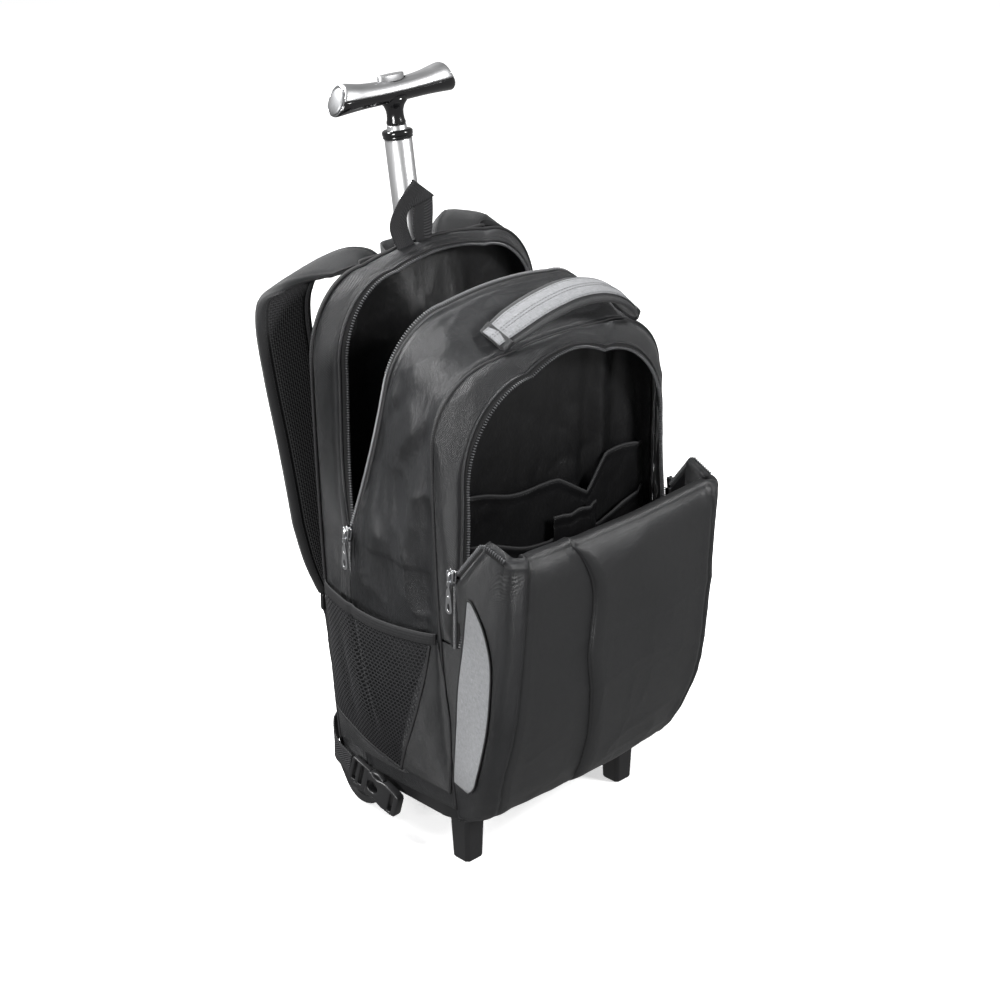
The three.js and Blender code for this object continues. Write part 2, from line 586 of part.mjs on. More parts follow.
// T grip: a black lower half with the neck, and a silver upper half. end: share of half the length.
const GRIP_SECTIONS = [
  { end: -1, depth: 1.12, rise: 1.1, lift: 0.1, slant: 0.35 },
  { end: -0.86, depth: 1.2, rise: 1.12, lift: 0.04, slant: 0.2 },
  { end: -0.55, depth: 1.04, rise: 0.98, lift: 0, slant: 0 },
  { end: -0.2, depth: 1, rise: 1, lift: 0, slant: 0 },
  { end: 0.2, depth: 1, rise: 1, lift: 0, slant: 0 },
  { end: 0.55, depth: 1.04, rise: 0.98, lift: 0, slant: 0 },
  { end: 0.86, depth: 1.2, rise: 1.12, lift: 0.04, slant: -0.2 },
  { end: 1, depth: 1.12, rise: 1.1, lift: 0.1, slant: -0.35 },
];
const gripZ = innerTop + GAP + NECK_LENGTH + GRIP_HALF_HEIGHT;
function gripHalf(sign) {
  const n = 6;
  return loft(GRIP_SECTIONS.map((s) => steps(n).map((t) => {
    const turn = Math.PI * t;
    const y = -Math.cos(turn) * GRIP_HALF_DEPTH * s.depth;
    const z = sign * (GAP / 2 + Math.sin(turn) * GRIP_HALF_HEIGHT * s.rise);
    const x = (s.end * GRIP_LENGTH) / 2 + s.slant * (z + GRIP_HALF_HEIGHT) - s.slant * GRIP_HALF_HEIGHT;
    return V(x, y, gripZ + s.lift * GRIP_HALF_HEIGHT + z);
  })));
}
const neckProfile = [
  [0, innerTop + GAP], [INNER_RADIUS, innerTop + GAP], [NECK_RADIUS, innerTop + NECK_LENGTH * 0.35],
  [NECK_RADIUS, innerTop + NECK_LENGTH * 0.6], [NECK_FLARE * 0.75, innerTop + NECK_LENGTH],
  [NECK_FLARE * 0.75, gripZ - 3], [0, gripZ - 3],
];
add("grip_lower", "gloss", join(gripHalf(-1), turned(neckProfile)), pole);

// Lock button in a pocket on top of the grip.
function oval(length, width, low, high) {
  const shape = new THREE.Shape();
  shape.absellipse(0, 0, length / 2, width / 2, 0, 2 * Math.PI);
  return slab(shape, low, high, 8);
}
const gripTop = gripZ + GRIP_HALF_HEIGHT;
const buttonPocket = oval(BUTTON_LENGTH + 2 * GAP, BUTTON_WIDTH + 2 * GAP, gripTop - 2 * BUTTON_DEEP, gripTop + 5);
add("grip_upper", "shell_metal", cut(gripHalf(1), buttonPocket), pole);
const buttonLow = gripTop - BUTTON_DEEP;
add("lock_button", "shell_metal", oval(BUTTON_LENGTH, BUTTON_WIDTH, buttonLow, gripTop + BUTTON_PROUD), pole);

// Socket that holds the foot of the outer tube on the bottom board.
const socketZ = BOARD_TOP + GAP;
const SOCKET_HALF = OUTER_RADIUS + SOCKET_WALL;
const socketY = poleY(socketZ + SOCKET_HEIGHT / 2);
const socketBlock = boxFrom(
  V(-SOCKET_HALF, socketY - SOCKET_HALF, socketZ), V(SOCKET_HALF, socketY + SOCKET_HALF, socketZ + SOCKET_HEIGHT));
const socketBore = rod(OUTER_RADIUS + GAP, 4 * SOCKET_HEIGHT).rotateX(Math.PI / 2 - LEAN);
add("tube_socket", "plastic", cut(socketBlock, socketBore.translate(0, socketY, socketZ + SOCKET_HEIGHT / 2)));

// Rear lining, flat at the rear seam and raised in a tunnel over the leaning tube and its socket.
const tunnelHalf = SOCKET_HALF + 2;
function liningY(x, z) {
  const flat = BODY_BACK - 2.5;
  const clear = flat - (poleY(z) - OUTER_RADIUS / Math.cos(LEAN) - LINING_CLEAR);
  return flat - Math.max(clear, 0) * fade(x, tunnelHalf, TUNNEL_FADE);
}
const liningInset = 4 * CLOTH;
const liningColumns = [-1, -0.7, -0.48, -0.34, -0.19, 0, 0.19, 0.34, 0.48, 0.7, 1];
const liningRear = archPanel(REAR_SEAM, liningInset, BOARD_TOP + GAP, liningColumns, 6,
  (x, z) => V(x, liningY(x, z), z));
const liningFront = archPanel(REAR_SEAM, liningInset, BOARD_TOP + GAP, liningColumns, 6,
  (x, z) => V(x, liningY(x, z) - LINING, z));
add("rear_lining", "lining", between(liningFront, liningRear));

// Organiser panel: the back wall of the front compartment, with soft folds. run: share of the half width.
const FOLDS = [
  { run: 0.36, width: 0.09, depth: 5 },
  { run: 0.62, width: 0.08, depth: 4 },
  { run: -0.5, width: 0.2, depth: 3 },
];
function folded(u, t) {
  const swell = FOLDS.reduce((sum, f) => sum + f.depth * Math.exp(-(((u - f.run) / f.width) ** 2)), 0);
  return swell * Math.sin(Math.PI * Math.min(Math.max(t, 0), 1));
}
const organiserY = BODY_FRONT + 2;
const organiserInset = 2 * CLOTH;
const organiserColumns = evenColumns(12);
const organiserFace = archPanel(FRONT_SEAM, organiserInset, BOARD_TOP + GAP, organiserColumns, 7,
  (x, z, u, t) => V(x, organiserY + folded(u, t), z));
const organiserBack = archPanel(FRONT_SEAM, organiserInset, BOARD_TOP + GAP, organiserColumns, 7,
  (x, z, u, t) => V(x, organiserY + folded(u, t) + LINING, z));
add("organiser_panel", "lining", between(organiserFace, organiserBack));

// Organiser pockets in front of the panel: one row for each point of the upper edge, as shares of the front
// half width and of the height of the front seam.
const SLIP_EDGE = [
  { run: -0.86, rise: 0.755 }, { run: -0.4, rise: 0.735 }, { run: 0.05, rise: 0.715 },
  { run: 0.3, rise: 0.68 }, { run: 0.48, rise: 0.74 }, { run: 0.86, rise: 0.725 },
];
const CARD_EDGE = [
  { run: -0.84, rise: 0.665 }, { run: -0.45, rise: 0.64 }, { run: -0.1, rise: 0.61 },
  { run: 0.35, rise: 0.615 }, { run: 0.84, rise: 0.64 },
];
const PEN_EDGE = [{ run: -0.06, rise: 0.66 }, { run: 0.12, rise: 0.665 }, { run: 0.32, rise: 0.66 }];
// low: lower edge, as a share of the same height. back: depth of its seam. seam and stand: how far its sides and
// its middle stand forward.
function organiserPocket(edge, { low, back, seam, stand }) {
  const grid = (offset) => [0, 0.2, 0.6, 1].map((t) => edge.map(({ run, rise }, c) => {
    const forward = c === 0 || c === edge.length - 1 ? seam : stand;
    return V(run * FRONT_HALF, back - forward * Math.min(5 * t, 1) + offset, mix(low, rise, t) * FRONT_TOP);
  }));
  return between(grid(0), grid(LINING));
}
const slipY = organiserY - LINING - GAP;
const overlay = LINING + GAP;
const cardStand = 2 * POCKET_ROOM + overlay;
add("slip_pocket", "lining", organiserPocket(SLIP_EDGE, {
  low: 0.495, back: slipY, seam: 0, stand: POCKET_ROOM }));
add("card_pocket", "lining", organiserPocket(CARD_EDGE, {
  low: 0.4536, back: slipY, seam: overlay, stand: cardStand }));
add("pen_pocket", "lining", organiserPocket(PEN_EDGE, {
  low: 0.5155, back: slipY - cardStand - overlay, seam: 0, stand: 1.4 * POCKET_ROOM }));

// Front pocket: the unzipped front panel with its sides and bottom, hanging forward.
// rise: share of the height to the rim. reach: share of the depth. span: share of the rim half width.
const POCKET_ROWS = [
  { rise: 0.012, reach: 0.15, span: 0.925 },
  { rise: 0.055, reach: 0.4, span: 0.955 },
  { rise: 0.12, reach: 0.545, span: 0.99 },
  { rise: 0.21, reach: 0.655, span: 1.035 },
  { rise: 0.42, reach: 0.835, span: 1.035 },
  { rise: 0.67, reach: 0.93, span: 1.02 },
  { rise: 1, reach: 1, span: 1 },
];
const pocketZ = (rise) => mix(POCKET_LOW, POCKET_RIM, rise);
const seamHalf = (z) => archHalf(FRONT_SEAM, Math.min(z, shoulder(FRONT_SEAM)));
const pocketRise = (z) => (z - POCKET_LOW) / (POCKET_RIM - POCKET_LOW);
function pocketShape(rise) {
  const k = Math.max(POCKET_ROWS.findIndex((row) => row.rise >= rise), 1);
  const [a, b] = [POCKET_ROWS[k - 1], POCKET_ROWS[k]];
  const t = (rise - a.rise) / (b.rise - a.rise);
  return { reach: mix(a.reach, b.reach, t), span: mix(a.span, b.span, t) };
}
function pocketRow(rise) {
  const { reach, span } = pocketShape(rise);
  const z = pocketZ(rise);
  const corner = Math.min(POCKET_CORNER, 0.45 * reach * POCKET_DEPTH);
  const half = POCKET_HALF * span;
  const front = BODY_FRONT - reach * POCKET_DEPTH;
  const back = { x: seamHalf(z), y: BODY_FRONT - GAP };
  const turn = { x: half, y: front + corner };
  const open = Math.max((z - FRONT_ZIP_STOP) / (POCKET_RIM - FRONT_ZIP_STOP), 0);
  const zipY = BODY_FRONT - FRONT_ZIP_STEP - 2 * GAP;
  const edgeY = z < FRONT_ZIP_LOW - ZIP_NICK ? back.y : mix(zipY, BODY_FRONT - EAR_DEPTH, open);
  const sideX = (y) => mix(back.x, turn.x, (back.y - y) / (back.y - turn.y));
  const lift = open * EAR_RISE;
  const left = [];
  for (const t of [0, 0.33, 0.67]) {
    const y = mix(edgeY, turn.y, t);
    left.push({ p: V(-sideX(y), y, z + lift * (1 - t)), inward: V(1, 0, 0) });
  }
  for (const t of [0, 0.5, 1]) {
    const angle = (t * Math.PI) / 2;
    const inward = V(Math.cos(angle), Math.sin(angle), 0);
    left.push({ p: V(-half + corner, front + corner, z).addScaledVector(inward, -corner), inward });
  }
  for (const t of [0.33, 0.67]) {
    const x = -(half - corner) * (1 - t);
    left.push({ p: V(x, front - POCKET_BOW * (1 - (1 - t) ** 2), z), inward: V(0, 1, 0) });
  }
  const middle = { p: V(0, front - POCKET_BOW, z), inward: V(0, 1, 0) };
  const right = left.slice().reverse().map(({ p, inward }) => (
    { p: V(-p.x, p.y, p.z), inward: V(-inward.x, inward.y, 0) }));
  return [...left, middle, ...right];
}
const lowRises = POCKET_ROWS.map((row) => row.rise).filter((rise) => pocketZ(rise) < FRONT_ZIP_LOW - 3 * ZIP_NICK);
const highZ = [FRONT_ZIP_LOW - 2 * ZIP_NICK, FRONT_ZIP_LOW - ZIP_NICK + 0.5];
for (const t of [0.5, 1]) highZ.push(mix(FRONT_ZIP_LOW, FRONT_ZIP_STOP, t));
for (const t of [0.5, 1]) highZ.push(mix(FRONT_ZIP_STOP, POCKET_RIM, t));
const pocketRows = [...lowRises, ...highZ.map(pocketRise)].map(pocketRow);
const heel = pocketRows[0].map((_, c, row) => {
  const x = -(LOW_HALF - 2) * Math.cos((Math.PI * c) / (row.length - 1));
  return V(x, BODY_FRONT - GAP, POCKET_LOW);
});
const rim = pocketRows[pocketRows.length - 1];
const ROLL_ROWS = [
  { inward: 0.2, up: 4 }, { inward: 0.65, up: 5 }, { inward: 1, up: 0 },
  { inward: 1.05, up: -ROLL_TAIL * 0.4 }, { inward: 1.05, up: -ROLL_TAIL },
];
const roll = ROLL_ROWS.map(({ inward, up }) => rim.map((point) =>
  point.p.clone().addScaledVector(point.inward, inward * ROLL).add(V(0, 0, up))));
const pocketGrid = [heel, ...pocketRows.map((row) => row.map(({ p }) => p)), ...roll];
add("front_pocket", "panel", cloth(pocketGrid, CLOTH, V(0, -1, 0), { bottom: V(0, 0, -1) }));

// Grey inserts on the sides of the front pocket. back and front: shares of the pocket depth.
const INSERT_ROWS = [
  { rise: 0.17, back: 0.05, front: 0.22 }, { rise: 0.22, back: 0.08, front: 0.38 },
  { rise: 0.35, back: 0.14, front: 0.56 }, { rise: 0.53, back: 0.22, front: 0.66 },
  { rise: 0.7, back: 0.32, front: 0.65 }, { rise: 0.79, back: 0.36, front: 0.55 },
  { rise: 0.85, back: 0.39, front: 0.43 },
];
const insertLift = 3.4 * GAP;
function pocketSideX(rise, share) {
  const { reach, span } = pocketShape(rise);
  const back = seamHalf(pocketZ(rise));
  const run = reach * POCKET_DEPTH - Math.min(POCKET_CORNER, 0.45 * reach * POCKET_DEPTH);
  return mix(back, POCKET_HALF * span, (share * POCKET_DEPTH) / run);
}
for (const [name, side] of Object.entries(SIDES)) {
  const grid = (offset) => INSERT_ROWS.map(({ rise, back, front }) => steps(2).map((t) => {
    const share = mix(back, front, t);
    return V(side * (pocketSideX(rise, share) + offset), BODY_FRONT - share * POCKET_DEPTH, pocketZ(rise));
  }));
  add(`side_insert_${name}`, "insert", between(grid(insertLift + INSERT), grid(insertLift)));
}

// Mesh side pockets, swelling away from the body sides.
const sideShellX = (run, z) => mix(archHalf(FRONT_SEAM, z), archHalf(REAR_SEAM, z), run)
  + SIDE_CROWN * Math.sin(Math.PI * run);
const MESH_ROWS = [
  { rise: 0, swell: 0 }, { rise: 0.12, swell: 0.35 }, { rise: 0.35, swell: 0.9 }, { rise: 0.6, swell: 1 },
  { rise: 0.85, swell: 0.92 }, { rise: 1, swell: 0.85 },
];
const MESH_EDGE = 0.02;
for (const [name, side] of Object.entries(SIDES)) {
  const grid = (offset) => MESH_ROWS.map(({ rise, swell }) => steps(8).map((t) => {
    const run = mix(MESH_EDGE, 1 - MESH_EDGE, t);
    const z = mix(SIDE_POCKET_LOW, SIDE_POCKET_TOP, rise) + 4 * swell * (2 * t - 1) ** 2;
    const bulge = SIDE_POCKET_SWELL * swell * Math.sin(Math.PI * t) ** 0.6;
    return V(side * (sideShellX(run, z) + 2 * GAP + bulge + offset), mix(BODY_FRONT, BODY_BACK, run), z);
  }));
  add(`mesh_pocket_${name}`, "mesh", between(grid(MESH), grid(0)));
}

// Carry handle: an arched pad over the top of the body, with a band along it.
// run: share of the front half width. rise: share of the handle's rise.
const HANDLE_ROWS = [
  { run: -0.45, back: 9, rise: 0 }, { run: -0.25, back: 1, rise: 0.55 }, { run: -0.06, back: -2, rise: 0.84 },
  { run: 0.18, back: -4, rise: 1 }, { run: 0.37, back: -5, rise: 0.9 }, { run: 0.52, back: -5, rise: 0.61 },
  { run: 0.63, back: -3, rise: 0.2 }, { run: 0.68, back: 2, rise: 0 },
];
const HANDLE_TILT = 0.35;
function seatHeight({ run, back }) {
  const near = skin.filter((point) => Math.abs(point.x - run * FRONT_HALF) < HANDLE_PAD
    && Math.abs(point.y - back) < HANDLE_WIDTH / 2);
  return Math.max(...near.map((point) => point.z - HANDLE_TILT * (point.y - back))) + HANDLE_PAD * 0.4 + GAP;
}
const [handleLeft, handleRight] = [HANDLE_ROWS[0], HANDLE_ROWS[HANDLE_ROWS.length - 1]];
const handleCurve = new THREE.CatmullRomCurve3(HANDLE_ROWS.map(({ run, back, rise }) => {
  const t = (run - handleLeft.run) / (handleRight.run - handleLeft.run);
  return V(run * FRONT_HALF, back, mix(seatHeight(handleLeft), seatHeight(handleRight), t) + rise * HANDLE_RISE);
}));
const depthwise = () => V(0, 1, HANDLE_TILT);
add("carry_handle", "strap", band(handleCurve, 14, HANDLE_PAD, () => HANDLE_WIDTH, depthwise, 0.35));
const bandLift = HANDLE_PAD / 2 + INSERT / 2 + GAP;
add("handle_band", "insert", band(handleCurve, 14, INSERT, () => BAND_WIDTH, depthwise, 0.2, bandLift));

// Hanging loop: folded webbing that stands on the top seam, seen flat from the front.
// Its outline, as shares of its height.
const LOOP_OUTLINE = [[-0.59, 0], [-0.72, 0.41], [-0.54, 0.755], [-0.41, 0.935], [-0.28, 1], [0.115, 0.69],
  [0.08, 0.148], [0.05, 0], [-0.18, 0], [-0.246, 0.131], [-0.254, 0.574], [-0.41, 0.557], [-0.311, 0.131], [-0.254, 0]];
const loopBase = REAR_TOP + 1.6 * GAP;
const loopShape = new THREE.Shape(LOOP_OUTLINE.map(([x, z]) => new THREE.Vector2(x * LOOP_HEIGHT, z * LOOP_HEIGHT)));
const loopBody = new THREE.ExtrudeGeometry(loopShape, { depth: 2 * WEBBING, bevelEnabled: false });
add("hanging_loop", "webbing", loopBody.rotateX(Math.PI / 2).translate(0, BODY_BACK - 2, loopBase));

// Shoulder straps: one row for each station of the middle line, as seen on the right.
// out: share of the rear half width. back: share of the strap's stand-off. left and right: shares of the rear
// seam height.
const STRAP_STAND = 46;
const STRAP_ROWS = [
  { out: 0.43, back: 0.38, left: 0.963, right: 0.972 }, { out: 0.5, back: 0.5, left: 0.972, right: 0.987 },
  { out: 0.62, back: 0.66, left: 0.974, right: 0.988 }, { out: 0.77, back: 0.8, left: 0.964, right: 0.966 },
  { out: 0.9, back: 0.87, left: 0.942, right: 0.925 }, { out: 0.945, back: 0.85, left: 0.895, right: 0.87 },
  { out: 0.915, back: 0.79, left: 0.8, right: 0.79 }, { out: 0.84, back: 0.76, left: 0.676, right: 0.676 },
  { out: 0.785, back: 0.7, left: 0.556, right: 0.556 }, { out: 0.76, back: 0.61, left: 0.463, right: 0.463 },
  { out: 0.715, back: 0.54, left: 0.394, right: 0.394 },
];
function strapWidth(t) {
  return t < 0.82 ? STRAP_WIDTH : mix(STRAP_WIDTH, STRAP_TIP, (t - 0.82) / 0.18);
}
const ladderHalf = 9;
const tipDrop = 2 * GAP; // the strap's slanted end above the adjuster
for (const [name, side] of Object.entries(SIDES)) {
  const place = (row) => V(
    side * row.out * REAR_HALF, BODY_BACK + PAD + row.back * STRAP_STAND, row[name] * REAR_TOP);
  const route = new THREE.CatmullRomCurve3(STRAP_ROWS.map(place));
  const across = (t) => V(1, 0, side * -0.3 * Math.sin(Math.PI * Math.min(t * 2.4, 1)));
  add(`shoulder_strap_${name}`, "strap", band(route, 18, STRAP_PAD, strapWidth, across, 0.4));

  // Lower webbing, adjuster, loose tail and release buckle.
  const tip = place(STRAP_ROWS[STRAP_ROWS.length - 1]);
  const ladder = roundedRect(BUCKLE_WIDTH / 2, -ladderHalf, ladderHalf, 3);
  for (const y of [-4, 4]) {
    const slot = new THREE.Path();
    slot.moveTo(-WEB_WIDTH / 2 - 1, y - 1.6).lineTo(WEB_WIDTH / 2 + 1, y - 1.6);
    slot.lineTo(WEB_WIDTH / 2 + 1, y + 1.6).lineTo(-WEB_WIDTH / 2 - 1, y + 1.6);
    ladder.holes.push(slot);
  }
  const adjuster = slab(ladder, -2, 2, 2).rotateX(Math.PI / 2).translate(tip.x, tip.y, tip.z - ladderHalf - tipDrop);
  add(`strap_adjuster_${name}`, "plastic", adjuster);
  const webTop = tip.z - 2 * ladderHalf - tipDrop - GAP;
  const sideX = side * (LOW_HALF + 8);
  const buckleY = AXLE_Y - 16;
  const lowWeb = new THREE.CatmullRomCurve3([
    V(tip.x, tip.y, webTop), V(tip.x, tip.y - 5, mix(webTop, BASE_Z, 0.35)),
    V(tip.x - side, BODY_BACK + PAD + 9, mix(webTop, BASE_Z, 0.65)),
    V(mix(tip.x, sideX, 0.55), BODY_BACK + PAD + 6, BASE_Z + 34),
    V(sideX, BODY_BACK + 2, BASE_Z + 22), V(sideX + side * 3, buckleY + 1.7, BASE_Z + 12),
  ]);
  const webAcross = (t) => V(1, 0, 0).lerp(V(0, -0.2 * side, side), Math.min(Math.max(t * 3 - 1.6, 0), 1));
  add(`lower_webbing_${name}`, "webbing", band(lowWeb, 12, WEBBING, () => WEB_WIDTH, webAcross, 0.2));
  const tailY = tip.y + 2 + WEBBING / 2 + GAP;
  const tail = new THREE.CatmullRomCurve3([
    V(tip.x, tailY, webTop + 10), V(tip.x, tailY + 0.2, webTop), V(tip.x - side * 6, tailY + 5, webTop - 12),
    V(tip.x - side * 10, tailY + 8, webTop - 28), V(tip.x - side * 11, tailY + 6, webTop - 46),
  ]);
  add(`webbing_tail_${name}`, "webbing", band(tail, 8, WEBBING, () => WEB_WIDTH, () => V(1, 0, 0), 0.2));

  const l = BUCKLE_LENGTH;
  const w = BUCKLE_WIDTH / 2;
  const outline = new THREE.Shape([
    [0, -w * 0.8], [l * 0.3, -w], [l * 0.42, -w * 0.72], [l * 0.6, -w * 0.95], [l, -w * 0.86],
    [l, w * 0.86], [l * 0.6, w * 0.95], [l * 0.42, w * 0.72], [l * 0.3, w], [0, w * 0.8],
  ].map(([x, y]) => new THREE.Vector2(x, y)));
  const eye = new THREE.Path();
  eye.absellipse(l * 0.48, 0, l * 0.11, w * 0.42, 0, 2 * Math.PI);
  outline.holes.push(eye);
  const buckle = slab(outline, -BUCKLE_THICK / 2, BUCKLE_THICK / 2, 8);
  const mesh = add(`release_buckle_${name}`, "plastic", buckle);
  mesh.position.set(sideX + side * 3, buckleY, BASE_Z + 12);
  mesh.rotation.copy(buckleTurn(side));
}

// Buckle: length forwards and a little down, width up and down, thickness sideways.
function buckleTurn(side) {
  const along = V(side * -0.04, -0.95, -0.3).normalize();
  const thick = V(1, 0, 0).addScaledVector(along, -along.x).normalize();
  const wide = thick.clone().cross(along);
  return new THREE.Euler().setFromRotationMatrix(new THREE.Matrix4().makeBasis(along, wide, thick));
}

// Zip sliders with their pullers, hanging down outside the zip ends.
const pullerShape = new THREE.Shape();
pullerShape.moveTo(-2, 0);
pullerShape.lineTo(2, 0);
pullerShape.lineTo(4, -PULLER_LENGTH + 4);
pullerShape.absarc(0, -PULLER_LENGTH + 4, 4, 0, -Math.PI, true);
const pullerEye = new THREE.Path();
pullerEye.absellipse(0, -PULLER_LENGTH + 6, 1.8, 3, 0, 2 * Math.PI);
pullerShape.holes.push(pullerEye);
const SLIDER = { out: 5, along: 9, high: 13 };
const mainSeat = { y: MOUTH_MEET_Y - 1, z: ZIP_END + 6 };
const frontSeat = { y: BODY_FRONT - FRONT_ZIP_STEP, z: FRONT_ZIP_STOP + 8, x: FRONT_HALF - 3 };
function skinReach(side, { y, z }) {
  const near = skin.filter((point) => point.x * side > 0 && Math.abs(point.y - y) < SLIDER.along * 0.6
    && Math.abs(point.z - z) < SLIDER.high / 2);
  return Math.max(...near.map((point) => Math.abs(point.x))) + 1.6 * GAP;
}
for (const [name, side] of Object.entries(SIDES)) {
  const seats = { main: { ...mainSeat, x: skinReach(side, mainSeat) }, front: frontSeat };
  for (const [zip, { x, y, z }] of Object.entries(seats)) {
    const middle = x + SLIDER.out / 2;
    const slider = new THREE.BoxGeometry(...Object.values(SLIDER)).translate(side * middle, y, z);
    add(`${zip}_slider_${name}`, "slider", slider);
    const puller = slab(pullerShape, 0, 1.6, 4).rotateX(Math.PI / 2).rotateZ(Math.PI / 2);
    add(`${zip}_puller_${name}`, "slider", puller.translate(side * (middle + 4) - 0.8, y, z - 2));
  }
}

// Origin: the middle of the footprint, on the floor.
bag.updateMatrixWorld(true);
const bounds = new THREE.Box3().setFromObject(bag, true);
const middle = bounds.getCenter(V(0, 0, 0));
bag.position.set(-middle.x, -middle.y, -bounds.min.z);

const backpack = new THREE.Group();
backpack.add(bag);
export default backpack;
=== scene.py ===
"""Wheeled backpack: cloth, zips, straps, wheels and telescopic handle, dressed over the packed model.

Sizes are in millimetres in the frame of the part's drawing: X to the right seen from the front, Y to the back
from the front faces of the feet, Z up from the floor. place() moves them into the shared frame, in metres.
"""

import math

import bmesh
import bpy
import numpy as np
from bpy.props import FloatProperty, FloatVectorProperty, IntProperty, PointerProperty
from mathutils import Matrix, Vector
from mathutils.bvhtree import BVHTree


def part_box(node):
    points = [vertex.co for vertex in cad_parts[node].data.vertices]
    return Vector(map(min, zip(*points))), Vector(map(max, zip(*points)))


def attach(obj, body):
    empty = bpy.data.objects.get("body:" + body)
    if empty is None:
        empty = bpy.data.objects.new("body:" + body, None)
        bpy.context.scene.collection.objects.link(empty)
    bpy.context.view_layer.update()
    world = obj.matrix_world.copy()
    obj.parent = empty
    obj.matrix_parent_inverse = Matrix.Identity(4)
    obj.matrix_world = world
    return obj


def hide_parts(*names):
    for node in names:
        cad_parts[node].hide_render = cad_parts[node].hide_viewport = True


bl_info = {
    "name": "Wheeled Backpack",
    "version": (1, 0, 0),
    "blender": (4, 5, 0),
    "location": "3D View > Sidebar > Backpack",
    "description": "Makes the cloth, zips, straps and fittings of a wheeled backpack over its packed model",
    "category": "Object",
}

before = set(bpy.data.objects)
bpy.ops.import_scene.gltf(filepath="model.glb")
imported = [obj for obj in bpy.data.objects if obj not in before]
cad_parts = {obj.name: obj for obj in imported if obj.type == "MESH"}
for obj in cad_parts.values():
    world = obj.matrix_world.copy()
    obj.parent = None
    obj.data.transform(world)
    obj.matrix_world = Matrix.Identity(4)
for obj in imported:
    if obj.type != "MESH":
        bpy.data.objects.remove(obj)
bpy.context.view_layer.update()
FEET_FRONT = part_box("foot_left")[0].y

# Body
CLOTH, LINING = 2.0, 1.5
BODY_Z, REAR_TOP, FRONT_TOP, MOUTH_TOP, ZIP_END = 62.0, 540.0, 485.0, 519.0, 300.0
BODY_FRONT, BODY_BACK = 3.0, 161.0
REAR_HALF, FRONT_HALF, LOW_HALF, SIDE_CROWN = 137.0, 140.0, 121.0, 4.0
ZIP_Y, MOUTH_REAR_Y, MOUTH_SPREAD = 121.0, 143.0, 80.0
ZIP_FOOT = 229.0  # lower end of the closed stretch of the main zip

# Front compartment
FRONT_ZIP_Y, FRONT_ZIP_LOW, FRONT_ZIP_STOP = -17.0, 243.0, 302.0
POCKET_DEPTH, POCKET_RIM, POCKET_LOW, POCKET_HALF = 93.0, 335.0, 50.0, 131.0
POCKET_CORNER, POCKET_BOW, EAR_RISE, EAR_DEPTH, ROLL, ROLL_TAIL = 18.0, 4.0, 8.0, 53.0, 12.0, 95.0

# Telescopic handle
LEAN = math.radians(8)
POLE = np.array([0.0, 181.0, 539.0])
POLE_UP = np.array([0.0, math.sin(LEAN), math.cos(LEAN)])
POLE_BACK = np.array([0.0, math.cos(LEAN), -math.sin(LEAN)])
OUTER_RADIUS, MIDDLE_RADIUS, INNER_RADIUS, SHOWN = 15.0, 12.5, 9.0, 88.0
GRIP_HALF, GRIP_HIGH, GRIP_DEEP = 65.0, 9.0, 10.5

# Wheels
WHEEL_X, AXLE_Y, WHEEL_RADIUS, WHEEL_WIDTH = 99.0, 152.0, 27.0, 19.0
BASE_Z, TRAY_TOP = 46.0, 61.5
SIDES = {"left": -1, "right": 1}


def mix(a, b, t):
    return a + (b - a) * t


def smooth(t):
    t = np.clip(t, 0, 1)
    return t * t * (3 - 2 * t)


def bell(distance, reach):
    return np.exp(-((distance / reach) ** 2))


def through(table, t, column=1):
    """Smooth curve through the rows of a table, read at t; the first column is the place of each row."""
    rows = np.asarray(table, float)
    x, y = rows[:, 0], rows[:, column]
    slope = np.gradient(y, x)
    t = np.clip(t, x[0], x[-1])
    k = np.clip(np.searchsorted(x, t, side="right") - 1, 0, len(x) - 2)
    h = x[k + 1] - x[k]
    s = (t - x[k]) / h
    return ((2 * s**3 - 3 * s**2 + 1) * y[k] + (s**3 - 2 * s**2 + s) * h * slope[k]
            + (3 * s**2 - 2 * s**3) * y[k + 1] + (s**3 - s**2) * h * slope[k + 1])


def curve_through(points, count):
    """Points at even steps along a smooth curve through the given ones."""
    points = np.asarray(points, float)
    place_of = np.r_[0, np.cumsum(np.linalg.norm(np.diff(points, axis=0), axis=1))]
    fine = np.linspace(0, place_of[-1], 400)
    dense = np.stack([through(np.c_[place_of, points], fine, k + 1) for k in range(points.shape[1])], axis=1)
    run = np.r_[0, np.cumsum(np.linalg.norm(np.diff(dense, axis=0), axis=1))]
    even = np.linspace(0, run[-1], count)
    return np.stack([np.interp(even, run, dense[:, k]) for k in range(points.shape[1])], axis=1)


def ripple(points, size, seed):
    """Smooth seeded noise from -1 to 1. size is the width of a swell along each axis."""
    field = np.random.default_rng(seed).random((32, 32, 32)) * 2 - 1
    p = np.asarray(points, float) / np.asarray(size, float) + 100.5
    cell = np.floor(p).astype(int)
    f = p - cell
    f = f * f * (3 - 2 * f)
    total = 0
    for dx in (0, 1):
        for dy in (0, 1):
            for dz in (0, 1):
                w = (np.abs(1 - dx - f[..., 0]) * np.abs(1 - dy - f[..., 1]) * np.abs(1 - dz - f[..., 2]))
                total = total + w * field[(cell[..., 0] + dx) % 32, (cell[..., 1] + dy) % 32, (cell[..., 2] + dz) % 32]
    return total


def creases(points, size, seed):
    """Sharp soft-backed folds, 0 in the valleys and 1 on the crests."""
    return 1 - np.abs(ripple(points, size, seed)) * 1.6


def unit(v):
    v = np.asarray(v, float)
    return v / np.maximum(np.linalg.norm(v, axis=-1, keepdims=True), 1e-9)


def place(points):
    """Millimetres of the drawing to metres of the shared frame."""
    p = np.array(points, float) * 0.001
    p[..., 1] += FEET_FRONT
    return p


# Meshes


